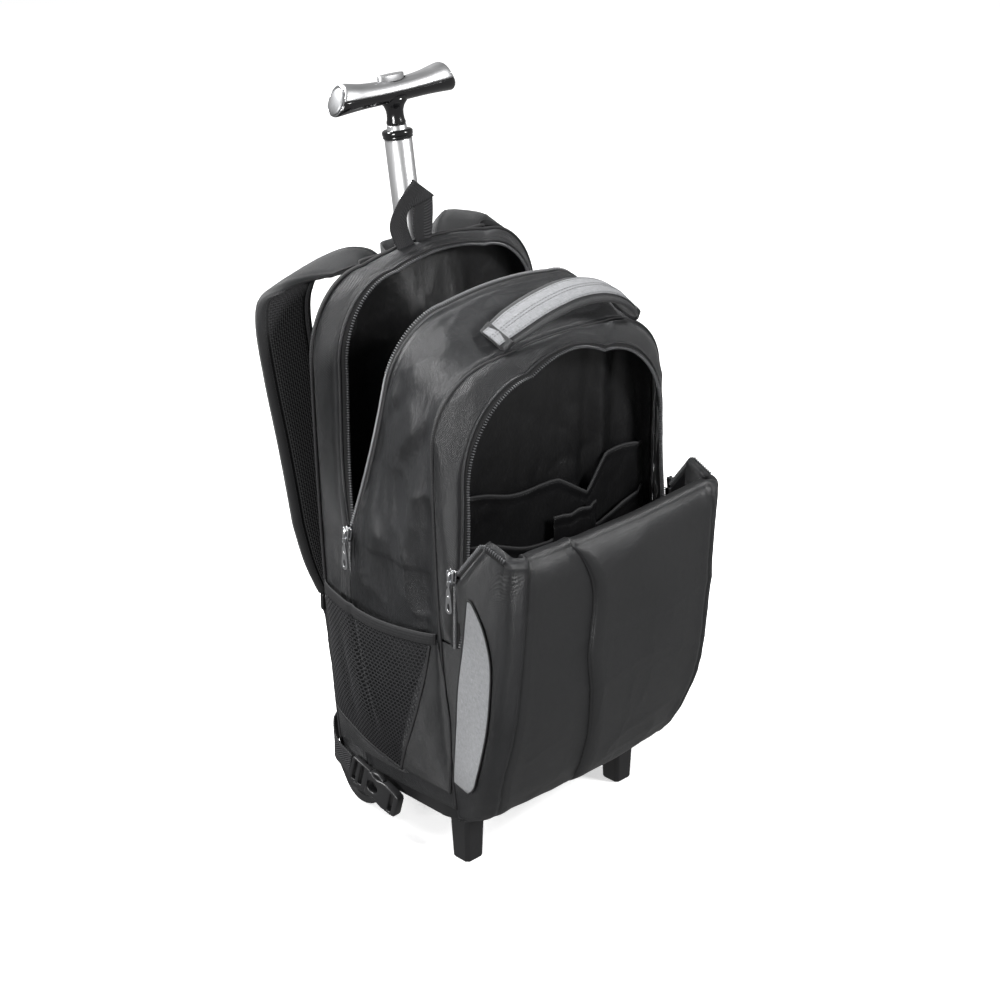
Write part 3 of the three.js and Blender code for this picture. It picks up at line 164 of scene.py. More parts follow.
class Shape:
    """Points and faces gathered for one piece, with cloth coordinates in metres."""

    def __init__(self):
        self.points, self.faces, self.uvs, self.kinds, self.count = [], [], [], [], 0

    def add(self, points, faces, uvs=None, kind=0, closed=False):
        points = np.asarray(points, float).reshape(-1, 3)
        faces = [tuple(f) for f in faces]
        if closed:
            inside = 0.0
            for f in faces:
                a = points[f[0]]
                for k in range(1, len(f) - 1):
                    inside += np.dot(a, np.cross(points[f[k]], points[f[k + 1]]))
            if inside < 0:
                faces = [f[::-1] for f in faces]
                uvs = [u[::-1] for u in uvs] if uvs is not None else None
        if uvs is None:
            uvs = [points[list(f)][:, [0, 2]] * 0.001 for f in faces]
        self.points.append(points)
        self.faces += [tuple(i + self.count for i in f) for f in faces]
        self.uvs += list(uvs)
        self.kinds += list(kind) if np.ndim(kind) else [kind] * len(faces)
        self.count += len(points)
        return self


def orient(points, faces):
    """True if the faces of a closed body point inwards."""
    tri = np.array([(f[0], f[k], f[k + 1]) for f in faces for k in range(1, len(f) - 1)])
    a, b, c = points[tri[:, 0]], points[tri[:, 1]], points[tri[:, 2]]
    return np.einsum("ij,ij->i", a, np.cross(b, c)).sum() < 0


def piece(name, shape, finishes, slot, *nodes, body="bag", flat=False):
    """Makes the mesh object of a shape, with its finishes, body, slot and the nodes that it stands for."""
    mesh = bpy.data.meshes.new(name)
    mesh.from_pydata(place(np.concatenate(shape.points)).tolist(), [], shape.faces)
    layer = mesh.uv_layers.new(name="cloth")
    layer.data.foreach_set("uv", np.concatenate([np.asarray(u, float).ravel() for u in shape.uvs]))
    mesh.polygons.foreach_set("material_index", np.array(shape.kinds, dtype=np.int32))
    mesh.polygons.foreach_set("use_smooth", np.full(len(shape.faces), not flat))
    for finish in finishes if isinstance(finishes, (list, tuple)) else [finishes]:
        mesh.materials.append(finish)
    mesh.update()
    mesh.validate()
    obj = bpy.data.objects.new(name, mesh)
    bpy.context.scene.collection.objects.link(obj)
    return settle(obj, slot, *nodes, body=body)


def settle(obj, slot, *nodes, body="bag"):
    if nodes:
        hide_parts(*nodes)
    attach(obj, body)
    return obj


def grid_normals(grid):
    across = np.gradient(grid, axis=1)
    up = np.gradient(grid, axis=0)
    return unit(np.cross(across, up))


def grid_uv(grid):
    """Arc lengths along the columns and up the rows, in metres."""
    u = np.zeros(grid.shape[:2])
    v = np.zeros(grid.shape[:2])
    u[:, 1:] = np.cumsum(np.linalg.norm(np.diff(grid, axis=1), axis=2), axis=1)
    v[1:] = np.cumsum(np.linalg.norm(np.diff(grid, axis=0), axis=2), axis=0)
    u -= u[:, u.shape[1] // 2][:, None]
    return np.stack([u, v], axis=2) * 0.001


def wall(shape, grid, thickness, outward, kinds=(0, 0), normals=None):
    """A closed wall of cloth behind a grid of points, with rounded rims. outward is a direction that its middle faces."""
    grid = np.asarray(grid, float)
    rows, cols = grid.shape[:2]
    n = grid_normals(grid) if normals is None else normals
    middle = n[rows // 2, cols // 2]
    turned = np.dot(middle, outward) < 0 if normals is None else False
    if turned:
        n = -n
    inner = grid - n * thickness
    uv = grid_uv(grid)
    index = np.arange(rows * cols).reshape(rows, cols)
    a, b, c, d = index[:-1, :-1], index[:-1, 1:], index[1:, 1:], index[1:, :-1]
    quads = np.stack([a, b, c, d], axis=-1).reshape(-1, 4)
    if np.dot(grid_normals(grid)[rows // 2, cols // 2], n[rows // 2, cols // 2]) < 0:
        quads = quads[:, ::-1]
    rim = np.r_[index[0, :], index[1:, -1], index[-1, -2::-1], index[-2:0:-1, 0]]
    inwards = np.r_[index[1, :], index[1:, -2], index[-2, -2::-1], index[-2:0:-1, 1]]
    flat_grid, flat_inner, flat_uv = grid.reshape(-1, 3), inner.reshape(-1, 3), uv.reshape(-1, 2)
    edge = (flat_grid[rim] + flat_inner[rim]) / 2 + unit(flat_grid[rim] - flat_grid[inwards]) * thickness * 0.35
    size = rows * cols
    points = np.concatenate([flat_grid, flat_inner, edge])
    faces = [tuple(q) for q in quads] + [tuple(q[::-1] + size) for q in quads]
    uvs = [flat_uv[q] for q in quads] + [flat_uv[q[::-1]] for q in quads]
    kind = [kinds[0]] * len(quads) + [kinds[1]] * len(quads)
    m = len(rim)
    for k in range(m):
        j = (k + 1) % m
        for lower, upper, side in ((rim[k], 2 * size + k, 0), (2 * size + k, rim[k] + size, 1)):
            far = (rim[j], 2 * size + j) if side == 0 else (2 * size + j, rim[j] + size)
            faces.append((far[0], lower, upper, far[1]))
            uvs.append(flat_uv[[rim[j], rim[k], rim[k], rim[j]]])
            kind.append(kinds[0])
    first = quads[0]
    pair = (rim[0], rim[1])
    forward = any((first[i], first[(i + 1) % 4]) == pair for i in range(4))
    if not forward:
        start = 2 * len(quads)
        faces[start:] = [f[::-1] for f in faces[start:]]
        uvs[start:] = [u[::-1] for u in uvs[start:]]
    return shape.add(points, faces, uvs, kind)


def sweep(shape, path, across, section, kinds=0, sizes=None, caps=True, up=None, looped=False):
    """A body along a path. section is a closed outline of (across, up) points, turned the same way all along."""
    path, section = np.asarray(path, float), np.asarray(section, float)
    n, m = len(path), len(section)
    along = unit(np.gradient(path, axis=0))
    if looped:
        along = unit(np.roll(path, -1, 0) - np.roll(path, 1, 0))
    across = np.broadcast_to(unit(across), path.shape)
    up = unit(np.cross(along, across)) if up is None else np.broadcast_to(unit(up), path.shape)
    sizes = np.ones((n, 2)) if sizes is None else np.asarray(sizes, float)
    sections = section if section.ndim == 3 else np.broadcast_to(section, (n, *section.shape))
    m = sections.shape[1]
    points = (path[:, None] + across[:, None] * (sections[..., :1] * sizes[:, None, :1])
              + up[:, None] * (sections[..., 1:] * sizes[:, None, 1:])).reshape(-1, 3)
    ring = np.r_[0, np.cumsum(np.linalg.norm(np.diff(np.vstack([sections[0], sections[0][:1]]), axis=0), axis=1))]
    ring = ring * 0.001
    run = np.r_[0, np.cumsum(np.linalg.norm(np.diff(path, axis=0), axis=1))] * 0.001
    faces, uvs, kind = [], [], []
    last = n if looped else n - 1
    for r in range(last):
        s = (r + 1) % n
        far = run[r + 1] if r + 1 < n else run[r] + (run[1] - run[0])
        for k in range(m):
            j = (k + 1) % m
            faces.append((r * m + k, r * m + j, s * m + j, s * m + k))
            uvs.append(np.array([[ring[k], run[r]], [ring[k + 1], run[r]], [ring[k + 1], far], [ring[k], far]]))
            kind.append(kinds[k] if np.ndim(kinds) else kinds)
    if caps and not looped:
        for r, turn in ((0, -1), (n - 1, 1)):
            faces.append(tuple((r * m + np.arange(m))[::turn]))
            uvs.append((sections[r][::turn]) * 0.001)
            kind.append(kinds[0] if np.ndim(kinds) else kinds)
    if orient(points, faces):
        faces, uvs = [f[::-1] for f in faces], [u[::-1] for u in uvs]
    return shape.add(points, faces, uvs, kind)


def oval_section(width, height, count=12, power=2.0):
    """A closed outline; a higher power makes it squarer."""
    turn = np.linspace(0, 2 * math.pi, count, endpoint=False)
    c, s = np.cos(turn), np.sin(turn)
    return np.stack([np.sign(c) * np.abs(c) ** (2 / power) * width / 2, np.sign(s) * np.abs(s) ** (2 / power) * height / 2], axis=1)


def lathe(shape, profile, origin, axis, sides=64, kind=0, ridges=None):
    """A body turned round an axis from a closed profile of (radius, height) points."""
    profile = np.asarray(profile, float)
    axis = unit(axis)
    first = unit(np.cross(axis, [0.3, 0.2, 0.93] if abs(axis[2]) < 0.9 else [1, 0, 0]))
    second = np.cross(axis, first)
    turn = np.linspace(0, 2 * math.pi, sides, endpoint=False)
    m = len(profile)
    radius = np.repeat(profile[None, :, 0], sides, axis=0)
    if ridges is not None:
        radius = radius + ridges(turn[:, None], profile[None, :, 0], profile[None, :, 1])
    points = (np.asarray(origin, float) + radius[..., None] * (np.cos(turn)[:, None, None] * first + np.sin(turn)[:, None, None] * second)
              + profile[None, :, 1, None] * axis)
    run = np.r_[0, np.cumsum(np.linalg.norm(np.diff(np.vstack([profile, profile[:1]]), axis=0), axis=1))] * 0.001
    far = profile[:, 0].max() * 0.001
    pole = [k for k in range(m) if profile[k, 0] < 1e-6]
    flat = points.reshape(-1, 3)
    at = np.arange(sides * m).reshape(sides, m)
    for k in pole:
        at[:, k] = at[0, k]
    faces, uvs = [], []
    for r in range(sides):
        s = (r + 1) % sides
        u0, u1 = turn[r] * far, (turn[r] + turn[1]) * far
        for k in range(m):
            j = (k + 1) % m
            f = [at[r, k], at[s, k], at[s, j], at[r, j]]
            uv = [(u0, run[k]), (u1, run[k]), (u1, run[k + 1]), (u0, run[k + 1])]
            keep = [i for i in range(4) if f[i] != f[i - 1]]
            if len(keep) > 2 and not (k in pole and j in pole):
                faces.append(tuple(f[i] for i in keep))
                uvs.append(np.array([uv[i] for i in keep]))
    used = np.unique(np.concatenate([np.array(f) for f in faces]))
    renumber = np.full(len(flat), -1)
    renumber[used] = np.arange(len(used))
    faces = [tuple(int(renumber[i]) for i in f) for f in faces]
    flat = flat[used]
    if orient(flat, faces):
        faces, uvs = [f[::-1] for f in faces], [u[::-1] for u in uvs]
    return shape.add(flat, faces, uvs, kind)


def plate(outline, low, high, bevel, matrix, holes=(), steps=2):
    """A flat plate with rounded edges from an outline and its holes, as points and faces in the drawing's frame."""
    curve = bpy.data.curves.new("plate", "CURVE")
    curve.dimensions, curve.fill_mode = "2D", "BOTH"
    curve.extrude, curve.bevel_depth, curve.bevel_resolution = (high - low) / 2 - bevel, bevel, steps
    curve.offset = -bevel
    for ring in (outline, *holes):
        spline = curve.splines.new("POLY")
        spline.points.add(len(ring) - 1)
        for point, (x, y) in zip(spline.points, ring):
            point.co = (x, y, 0, 1)
        spline.use_cyclic_u = True
    holder = bpy.data.objects.new("plate", curve)
    bpy.context.scene.collection.objects.link(holder)
    bpy.context.view_layer.update()
    mesh = bpy.data.meshes.new_from_object(holder.evaluated_get(bpy.context.evaluated_depsgraph_get()))
    points = np.array([v.co for v in mesh.vertices])
    faces = [tuple(p.vertices) for p in mesh.polygons]
    bpy.data.objects.remove(holder)
    bpy.data.curves.remove(curve)
    bpy.data.meshes.remove(mesh)
    points, faces = welded(points, faces)
    points[:, 2] += (low + high) / 2
    matrix = np.asarray(matrix, float)
    points = points @ matrix[:3, :3].T + matrix[:3, 3]
    if orient(points, faces):
        faces = [f[::-1] for f in faces]
    return points, faces


def welded(points, faces):
    """Points that share a place made one, and the faces that this empties left out."""
    key = np.round(points, 4)
    _, first, where = np.unique(key, axis=0, return_index=True, return_inverse=True)
    where = where.ravel()
    kept = []
    for f in faces:
        ring = [int(where[i]) for i in f]
        ring = [v for k, v in enumerate(ring) if v != ring[k - 1]]
        if len(set(ring)) > 2:
            kept.append(tuple(ring))
    return points[first], kept


def basis(x, y, z, origin):
    m = np.eye(4)
    m[:3, 0], m[:3, 1], m[:3, 2], m[:3, 3] = x, y, z, origin
    return m


# Sizes and colours that a user would change


class BodySettings(bpy.types.PropertyGroup):
    fabric: FloatVectorProperty(name="Body Fabric", description="Colour of the coated body fabric", subtype="COLOR",
                                size=3, min=0, max=1, default=(0.0125, 0.0128, 0.0136))
    panel: FloatVectorProperty(name="Front Panel", description="Colour of the smooth front panel", subtype="COLOR",
                               size=3, min=0, max=1, default=(0.0125, 0.0127, 0.0133))
    lining: FloatVectorProperty(name="Lining", description="Colour of the thin lining", subtype="COLOR",
                                size=3, min=0, max=1, default=(0.005, 0.005, 0.0054))
    trim: FloatVectorProperty(name="Grey Trim", description="Colour of the heathered inserts and handle band",
                              subtype="COLOR", size=3, min=0, max=1, default=(0.27, 0.275, 0.285))
    wrinkle: FloatProperty(name="Wrinkles", description="Depth of the soft folds in the body", subtype="DISTANCE",
                           unit="LENGTH", min=0, max=0.006, default=0.0028)
    thread: FloatProperty(name="Thread", description="Pitch of the body weave", subtype="DISTANCE", unit="LENGTH",
                          min=0.0002, max=0.002, default=0.0007)


class ZipSettings(bpy.types.PropertyGroup):
    pitch: FloatProperty(name="Tooth Pitch", description="Step from one tooth to the next", subtype="DISTANCE",
                         unit="LENGTH", min=0.001, max=0.006, default=0.0024)
    width: FloatProperty(name="Tooth Length", description="How far a tooth reaches across the zip",
                         subtype="DISTANCE", unit="LENGTH", min=0.001, max=0.006, default=0.0034)
    tape: FloatProperty(name="Tape", description="Width of the woven tape beside the teeth", subtype="DISTANCE",
                        unit="LENGTH", min=0.002, max=0.01, default=0.006)


class NetSettings(bpy.types.PropertyGroup):
    pitch: FloatProperty(name="Hole Pitch", description="Step between the holes of the side pocket net",
                         subtype="DISTANCE", unit="LENGTH", min=0.002, max=0.01, default=0.0047)
    open: FloatProperty(name="Opening", description="Share of each cell that is open", subtype="FACTOR",
                        min=0.2, max=0.9, default=0.56)
    thick: FloatProperty(name="Thickness", description="Thickness of the net", subtype="DISTANCE", unit="LENGTH",
                         min=0.0003, max=0.002, default=0.0008)


class StitchSettings(bpy.types.PropertyGroup):
    length: FloatProperty(name="Stitch Length", description="Step from one stitch to the next", subtype="DISTANCE",
                          unit="LENGTH", min=0.001, max=0.006, default=0.0031)
    thread: FloatProperty(name="Thread Width", description="Width of the sewing thread", subtype="DISTANCE",
                          unit="LENGTH", min=0.0002, max=0.002, default=0.0007)


class StageSettings(bpy.types.PropertyGroup):
    light: FloatProperty(name="Light", description="Strength of the large soft lamp", subtype="POWER", min=0,
                         max=400, default=38)
    lens: FloatProperty(name="Lens", description="Focal length of the camera", subtype="DISTANCE_CAMERA", min=10,
                        max=200, default=82.07)
    sides: IntProperty(name="Turned Steps", description="Sides of the turned parts", min=24, max=128, default=72)


GROUPS = {"bag_body": BodySettings, "bag_zip": ZipSettings, "bag_net": NetSettings, "bag_stitch": StitchSettings,
          "bag_stage": StageSettings}


def settings(name):
    return getattr(bpy.context.scene, name)


# Materials


class Finish:
    """A node material. Values that are the same all over are set on the shader's own sockets."""

    made = {}

    def __init__(self, name, colour, roughness, **sockets):
        self.material = bpy.data.materials.new(name)
        self.material.use_nodes = True
        self.tree = self.material.node_tree
        self.shader = self.tree.nodes["Principled BSDF"]
        self.shader.inputs["Base Color"].default_value = (*colour, 1)
        self.shader.inputs["Roughness"].default_value = roughness
        for socket, value in sockets.items():
            self.shader.inputs[socket.replace("_", " ")].default_value = value
        self.material.diffuse_color = (*colour, 1)
        self.colour, self.roughness, self.bump = colour, roughness, None
        Finish.made[name] = self.material

    def node(self, kind, *values, **settings):
        node = self.tree.nodes.new("ShaderNode" + kind)
        for key, value in settings.items():
            if hasattr(node, key):
                setattr(node, key, value)
            else:
                self.put(node.inputs[key.replace("_", " ")], value)
        for socket, value in zip(node.inputs, values):
            if value is not None:
                self.put(socket, value)
        return node

    def put(self, socket, value):
        if isinstance(value, bpy.types.NodeSocket):
            self.tree.links.new(value, socket)
        elif isinstance(value, bpy.types.Node):
            self.tree.links.new(value.outputs[0], socket)
        else:
            socket.default_value = value

    def math(self, operation, a, b=None, c=None):
        return self.node("Math", a, b, c, operation=operation)

    def cloth(self):
        """Cloth coordinates in metres, as separate parts."""
        return self.node("SeparateXYZ", self.node("UVMap", uv_map="cloth"))

    def thing(self, scale=(1, 1, 1)):
        return self.node("Mapping", self.node("TexCoord").outputs["Object"], Scale=scale)

    def wave(self, value, pitch, shift=0.0):
        return self.math("SINE", self.math("MULTIPLY_ADD", value, 2 * math.pi / pitch, shift))

    def noise(self, scale, detail=3.0, rough=0.55, vector=None):
        return self.node("TexNoise", Vector=vector or self.thing(), Scale=scale, Detail=detail,
                         Roughness=rough)

    def raise_by(self, height, distance, strength=1.0):
        """Adds a height, of that many metres, to the material's relief."""
        node = self.node("Bump", Strength=strength, Distance=distance, Height=height)
        if self.bump is not None:
            self.put(node.inputs["Normal"], self.bump.outputs["Normal"])
        self.bump = node
        self.put(self.shader.inputs["Normal"], node.outputs["Normal"])

    def tint(self, factor, low, high):
        """Colours the surface from low to high by the factor."""
        ramp = self.node("Mix", data_type="RGBA")
        self.put(ramp.inputs[0], factor)
        self.put(ramp.inputs[6], (*low, 1))
        self.put(ramp.inputs[7], (*high, 1))
        self.put(self.shader.inputs["Base Color"], ramp.outputs[2])
        return ramp

    def vary_roughness(self, factor, low, high):
        self.put(self.shader.inputs["Roughness"], self.node("MapRange", Value=factor, To_Min=low, To_Max=high))


def shade(colour, by):
    return tuple(min(c * by, 1) for c in colour)


def woven(name, colour, roughness, pitch, relief, kind="plain", contrast=0.18, crease=0.0, crease_scale=45,
          colour_share=0.25, **sockets):
    """A fabric: its weave in relief and in tone, broad worn patches, and fine creases."""
    f = Finish(name, colour, roughness, **sockets)
    parts = f.cloth()
    u, v = parts.outputs[0], parts.outputs[1]
    if kind == "plain":
        threads = f.math("MULTIPLY", f.wave(u, pitch), f.wave(v, pitch))
    elif kind == "twill":
        ribs = f.wave(f.math("ADD", u, v), pitch)
        threads = f.math("MULTIPLY_ADD", f.wave(v, pitch * 0.5), 0.35, ribs)
    elif kind == "herringbone":
        band = f.math("PINGPONG", u, pitch * 5)
        ribs = f.wave(f.math("ADD", band, v), pitch)
        threads = f.math("MULTIPLY_ADD", f.wave(u, pitch * 0.4), 0.2, ribs)
    elif kind == "spacer":
        stagger = f.math("MULTIPLY", f.wave(f.math("ADD", u, v), pitch), f.wave(f.math("SUBTRACT", u, v), pitch))
        threads = f.math("MULTIPLY_ADD", f.wave(f.math("ADD", u, v), pitch), 0.55, stagger)
    else:
        threads = f.math("MULTIPLY_ADD", f.wave(u, pitch * 2), 0.5, f.wave(v, pitch))
    height = f.math("MULTIPLY_ADD", threads, 0.5, 0.5)
    patches = f.noise(14, 4, 0.6)
    tone = f.math("ADD", f.math("MULTIPLY", height, colour_share), f.math("MULTIPLY", patches, 1 - colour_share))
    f.tint(tone, shade(colour, 1 - contrast), shade(colour, 1 + contrast))
    f.vary_roughness(patches, roughness - 0.06, roughness + 0.06)
    if crease:
        f.raise_by(f.noise(crease_scale, 5, 0.6, f.thing((1, 1, 0.6))), crease)
    f.raise_by(height, relief)
    return f.material


def moulded(name, colour, roughness, grain=0.00006, scale=900, contrast=0.1, **sockets):
    """Moulded plastic: a fine spark-eroded grain with slightly rubbed patches."""
    f = Finish(name, colour, roughness, **sockets)
    patches = f.noise(9, 3)
    f.tint(patches, shade(colour, 1 - contrast), shade(colour, 1 + contrast))
    f.vary_roughness(f.noise(30, 4), roughness - 0.05, roughness + 0.08)
    f.raise_by(f.noise(scale, 2), grain)
    return f.material


def drawn_metal(name, colour, roughness, axis=(1, 1, 0.02), lines=700, relief=0.00002, **sockets):
    """Metal with fine lines from drawing or brushing. axis is small along the lines."""
    f = Finish(name, colour, roughness, Metallic=1.0, **sockets)
    lines_noise = f.noise(lines, 2, 0.5, f.thing(axis))
    f.tint(f.noise(12, 3), shade(colour, 0.93), shade(colour, 1.05))
    f.vary_roughness(lines_noise, max(roughness - 0.05, 0.02), roughness + 0.08)
    f.raise_by(lines_noise, relief)
    return f.material


def heathered(name, colour):
    """Melange weave: light and dark fibres mixed along both thread directions."""
    f = Finish(name, colour, 0.85, Sheen_Weight=0.1, Sheen_Roughness=0.5)
    parts = f.cloth()
    u, v = parts.outputs[0], parts.outputs[1]
    threads = f.math("MULTIPLY", f.wave(u, 0.0009), f.wave(v, 0.0009))
    height = f.math("MULTIPLY_ADD", threads, 0.5, 0.5)
    uv = f.node("UVMap", uv_map="cloth")
    along = f.node("TexNoise", Vector=f.node("Mapping", uv.outputs[0], Scale=(1, 0.12, 1)), Scale=1500, Detail=2.0)
    over = f.node("TexNoise", Vector=f.node("Mapping", uv.outputs[0], Scale=(0.12, 1, 1)), Scale=1500, Detail=2.0)
    fibres = f.math("MULTIPLY_ADD", f.math("ADD", along, over), 1.1, -0.6)
    tone = f.math("ADD", f.math("MULTIPLY", fibres, 0.75), f.math("MULTIPLY", height, 0.25))
    f.tint(tone, shade(colour, 0.5), shade(colour, 1.6))
    f.raise_by(height, 0.00025)
    return f.material


def make_finishes():
    body, thread = settings("bag_body"), settings("bag_body").thread
    fabric, panel, lining = shade(body.fabric, 1.6), shade(body.panel, 1.5), tuple(body.lining)
    made = {
        "coated_fabric": woven("coated_fabric", fabric, 0.38, thread * 2.2, 0.0003, "twill", contrast=0.3, crease=0.0022,
                               crease_scale=38, Specular_IOR_Level=0.55),
        "front_panel": woven("front_panel", panel, 0.37, thread, 0.00008, contrast=0.12, crease=0.0007,
                             crease_scale=26, Specular_IOR_Level=0.55),
        "lining": woven("lining", lining, 0.32, 0.0006, 0.00006, contrast=0.25, crease=0.0012, crease_scale=34),
        "air_mesh": woven("air_mesh", (0.013, 0.013, 0.014), 0.8, 0.0048, 0.0011, "spacer", contrast=0.75,
                          colour_share=0.85),
        "air_edge": woven("air_edge", (0.014, 0.014, 0.015), 0.78, 0.0022, 0.0004, "spacer", contrast=0.5,
                          colour_share=0.7),
        "padded_cover": woven("padded_cover", shade(fabric, 0.95), 0.55, thread, 0.00012, contrast=0.2,
                              crease=0.0009, crease_scale=40, Sheen_Weight=0.15, Sheen_Roughness=0.4),
        "webbing": woven("webbing", (0.017, 0.017, 0.0185), 0.72, 0.0026, 0.0005, "herringbone", contrast=0.45,
                         colour_share=0.7),
        "binding": woven("binding", (0.013, 0.013, 0.014), 0.66, 0.0014, 0.00025, "rib", contrast=0.3,
                         colour_share=0.6),
        "zip_tape": woven("zip_tape", (0.005, 0.005, 0.0055), 0.75, 0.0012, 0.00022, "herringbone", contrast=0.35,
                          colour_share=0.6),
        "net_thread": woven("net_thread", (0.016, 0.016, 0.0175), 0.62, 0.0009, 0.0001, contrast=0.25),
        "grey_fabric": heathered("grey_fabric", shade(tuple(body.trim), 0.78)),
        "zip_teeth": moulded("zip_teeth", (0.075, 0.076, 0.08), 0.3, Coat_Weight=0.2, Coat_Roughness=0.2),
        # A lighter copy of the zip teeth: painted light for the front half of the main zip, whose teeth are the same as
        # the rear half's
        "zip_teeth_painted_lit": moulded("zip_teeth_painted_lit", (0.13, 0.131, 0.136), 0.3, Coat_Weight=0.2,
                                   Coat_Roughness=0.2),
        "black_thread": woven("black_thread", (0.022, 0.022, 0.024), 0.6, 0.0005, 0.00006, "twill"),
        "grey_thread": woven("grey_thread", (0.13, 0.132, 0.137), 0.7, 0.0005, 0.00006, "twill"),
        "black_plastic": moulded("black_plastic", (0.014, 0.014, 0.0148), 0.38),
        "gloss_black": moulded("gloss_black", (0.006, 0.006, 0.0066), 0.14, 0.00001, 300, Coat_Weight=0.6,
                               Coat_Roughness=0.05),
        "tyre_rubber": moulded("tyre_rubber", (0.018, 0.018, 0.019), 0.78, 0.00015, 500, 0.2),
        "drawn_tube": drawn_metal("drawn_tube", (0.8, 0.803, 0.81), 0.34),
        "silver_shell": drawn_metal("silver_shell", (0.5, 0.503, 0.51), 0.42, (0.02, 1, 1), 500, 0.00001,
                                    Coat_Weight=0.35, Coat_Roughness=0.08),
        "satin_cap": drawn_metal("satin_cap", (0.36, 0.363, 0.37), 0.48, (1, 1, 0.05), 600, 0.00001),
        "chrome": drawn_metal("chrome", (0.62, 0.625, 0.64), 0.2, (1, 1, 1), 200, 0.00001),
        "turned_steel": drawn_metal("turned_steel", (0.5, 0.505, 0.515), 0.3, (0.02, 1, 1)),
    }
    return made


def finish(name):
    if name not in Finish.made:
        make_finishes()
    return Finish.made[name]


# Stage


def make_stage():
    look = settings("bag_stage")
    camera = bpy.data.cameras.new("camera")
    camera.lens, camera.sensor_width = look.lens, 36.0
    camera.clip_start, camera.clip_end = 0.05, 60.0
    eye = bpy.data.objects.new("camera", camera)
    right, up = Vector((0.71815, -0.69578, -0.01204)), Vector((0.29048, 0.28401, 0.91376))
    back = right.cross(up).normalized()
    turn = Matrix((right.normalized(), up.normalized(), back)).transposed()
    eye.matrix_world = Matrix.Translation(place((-1318.307, -1307.642, 1157.448)).tolist()) @ turn.to_4x4()
    bpy.context.scene.collection.objects.link(eye)
    bpy.context.scene.camera = eye

    floor = bpy.data.meshes.new("floor")
    half = 12.0
    floor.from_pydata([(-half, -half, 0), (half, -half, 0), (half, half, 0), (-half, half, 0)], [], [(0, 1, 2, 3)])
    ground = bpy.data.objects.new("floor", floor)
    bpy.context.scene.collection.objects.link(ground)
    paper = Finish("studio_floor", (0.9, 0.9, 0.9), 0.9, Specular_IOR_Level=0.1)
    paper.shader.inputs["Emission Color"].default_value = (1, 1, 1, 1)
    paper.shader.inputs["Emission Strength"].default_value = 0.56
    paper.raise_by(paper.noise(200, 2), 0.00005)
    floor.materials.append(paper.material)
    ground.visible_diffuse = ground.visible_glossy = False

    world = bpy.data.worlds.new("studio")
    world.use_nodes = True
    world.node_tree.nodes["Background"].inputs[0].default_value = (1, 1, 1, 1)
    world.node_tree.nodes["Background"].inputs[1].default_value = 0.26
    bpy.context.scene.world = world
    bpy.context.scene.view_settings.view_transform = "Standard"

    for name, at, aim, size, power in (
        ("top", (-0.7, 1.2, 2.3), (0, 0.05, 0.35), 0.9, 3.2),
        ("left", (-2.6, -0.7, 1.1), (0, 0.05, 0.3), 0.8, 1.7),
        ("front", (1.2, -2.3, 1.9), (0, 0, 0.25), 0.7, 2.2),
    ):
        lamp = bpy.data.lights.new(name, "AREA")
        lamp.size, lamp.energy = size, look.light * power
        light = bpy.data.objects.new(name, lamp)
        light.location = at
        light.rotation_euler = (Vector(aim) - Vector(at)).to_track_quat("-Z", "Y").to_euler()
        bpy.context.scene.collection.objects.link(light)


# Outlines of the bag seen from the front: half, lowHalf, top, low, cornerX, cornerZ, crown

FRONT_SEAM = (FRONT_HALF, LOW_HALF, FRONT_TOP, BODY_Z, 70, 60, 4)
REAR_SEAM = (REAR_HALF, LOW_HALF + 1, REAR_TOP, BODY_Z, 60, 76, 9)
MOUTH_FRONT = (120, 133, MOUTH_TOP, ZIP_END, 55, 62, 6)
MOUTH_REAR = (119, 133, 536, ZIP_END, 62, 72, 9)
FRONT_ZIP = (123, 136, 481, FRONT_ZIP_LOW, 75, 80, 12)


def shoulder(a):
    return a[2] - a[6] - a[5]


def arch_half(a, z):
    half, low_half, top, low, corner_x, corner_z, crown = a
    z = np.asarray(z, float)
    below = half - (half - low_half) * ((shoulder(a) - z) / (shoulder(a) - low)) ** 2
    rise = np.clip((z - shoulder(a)) / corner_z, 0, 1)
    return np.where(z <= shoulder(a), below, half - corner_x + corner_x * np.sqrt(1 - rise**2))


def arch_height(a, x):
    half, low_half, top, low, corner_x, corner_z, crown = a
    x = np.abs(x)
    flat = half - corner_x
    run = np.clip((x - flat) / corner_x, 0, 1)
    return np.where(x <= flat, top - crown * (x / flat) ** 2, shoulder(a) + corner_z * np.sqrt(1 - run**2))


def ring(a, levels, corner=26, top=20):
    """Points of an outline from its lower left end to its lower right end, and the outward direction of each."""
    half, low_half, _, low, corner_x, corner_z, crown = a
    z = np.asarray(levels, float)
    turn = np.linspace(0, math.pi / 2, corner + 1)[1:]
    x_top = -(half - corner_x) * (1 - np.linspace(0, 1, top + 1)[1:])
    x = np.r_[-arch_half(a, z), -(half - corner_x + corner_x * np.cos(turn)), x_top]
    z = np.r_[z, shoulder(a) + corner_z * np.sin(turn), arch_height(a, x_top)]
    out = np.r_[np.zeros(len(levels)), turn, np.full(top, math.pi / 2)]
    left = np.stack([x, z], axis=1)
    right = left[-2::-1] * [-1, 1]
    out = np.r_[out, math.pi - out[-2::-1]]
    points = np.concatenate([left, right])
    return points, np.stack([-np.cos(out), 0 * out, np.sin(out)], axis=1)


def levels(a, start, low_rows, open_rows):
    low = np.linspace(start, ZIP_END, low_rows + 1)[:-1] if low_rows else np.array([])
    return np.r_[low, np.linspace(max(start, ZIP_END), shoulder(a), open_rows + 1)]


def mouth_front_y(z):
    return mix(ZIP_Y, MOUTH_REAR_Y - MOUTH_SPREAD, np.clip((z - ZIP_END) / (MOUTH_TOP - ZIP_END), 0, 1))


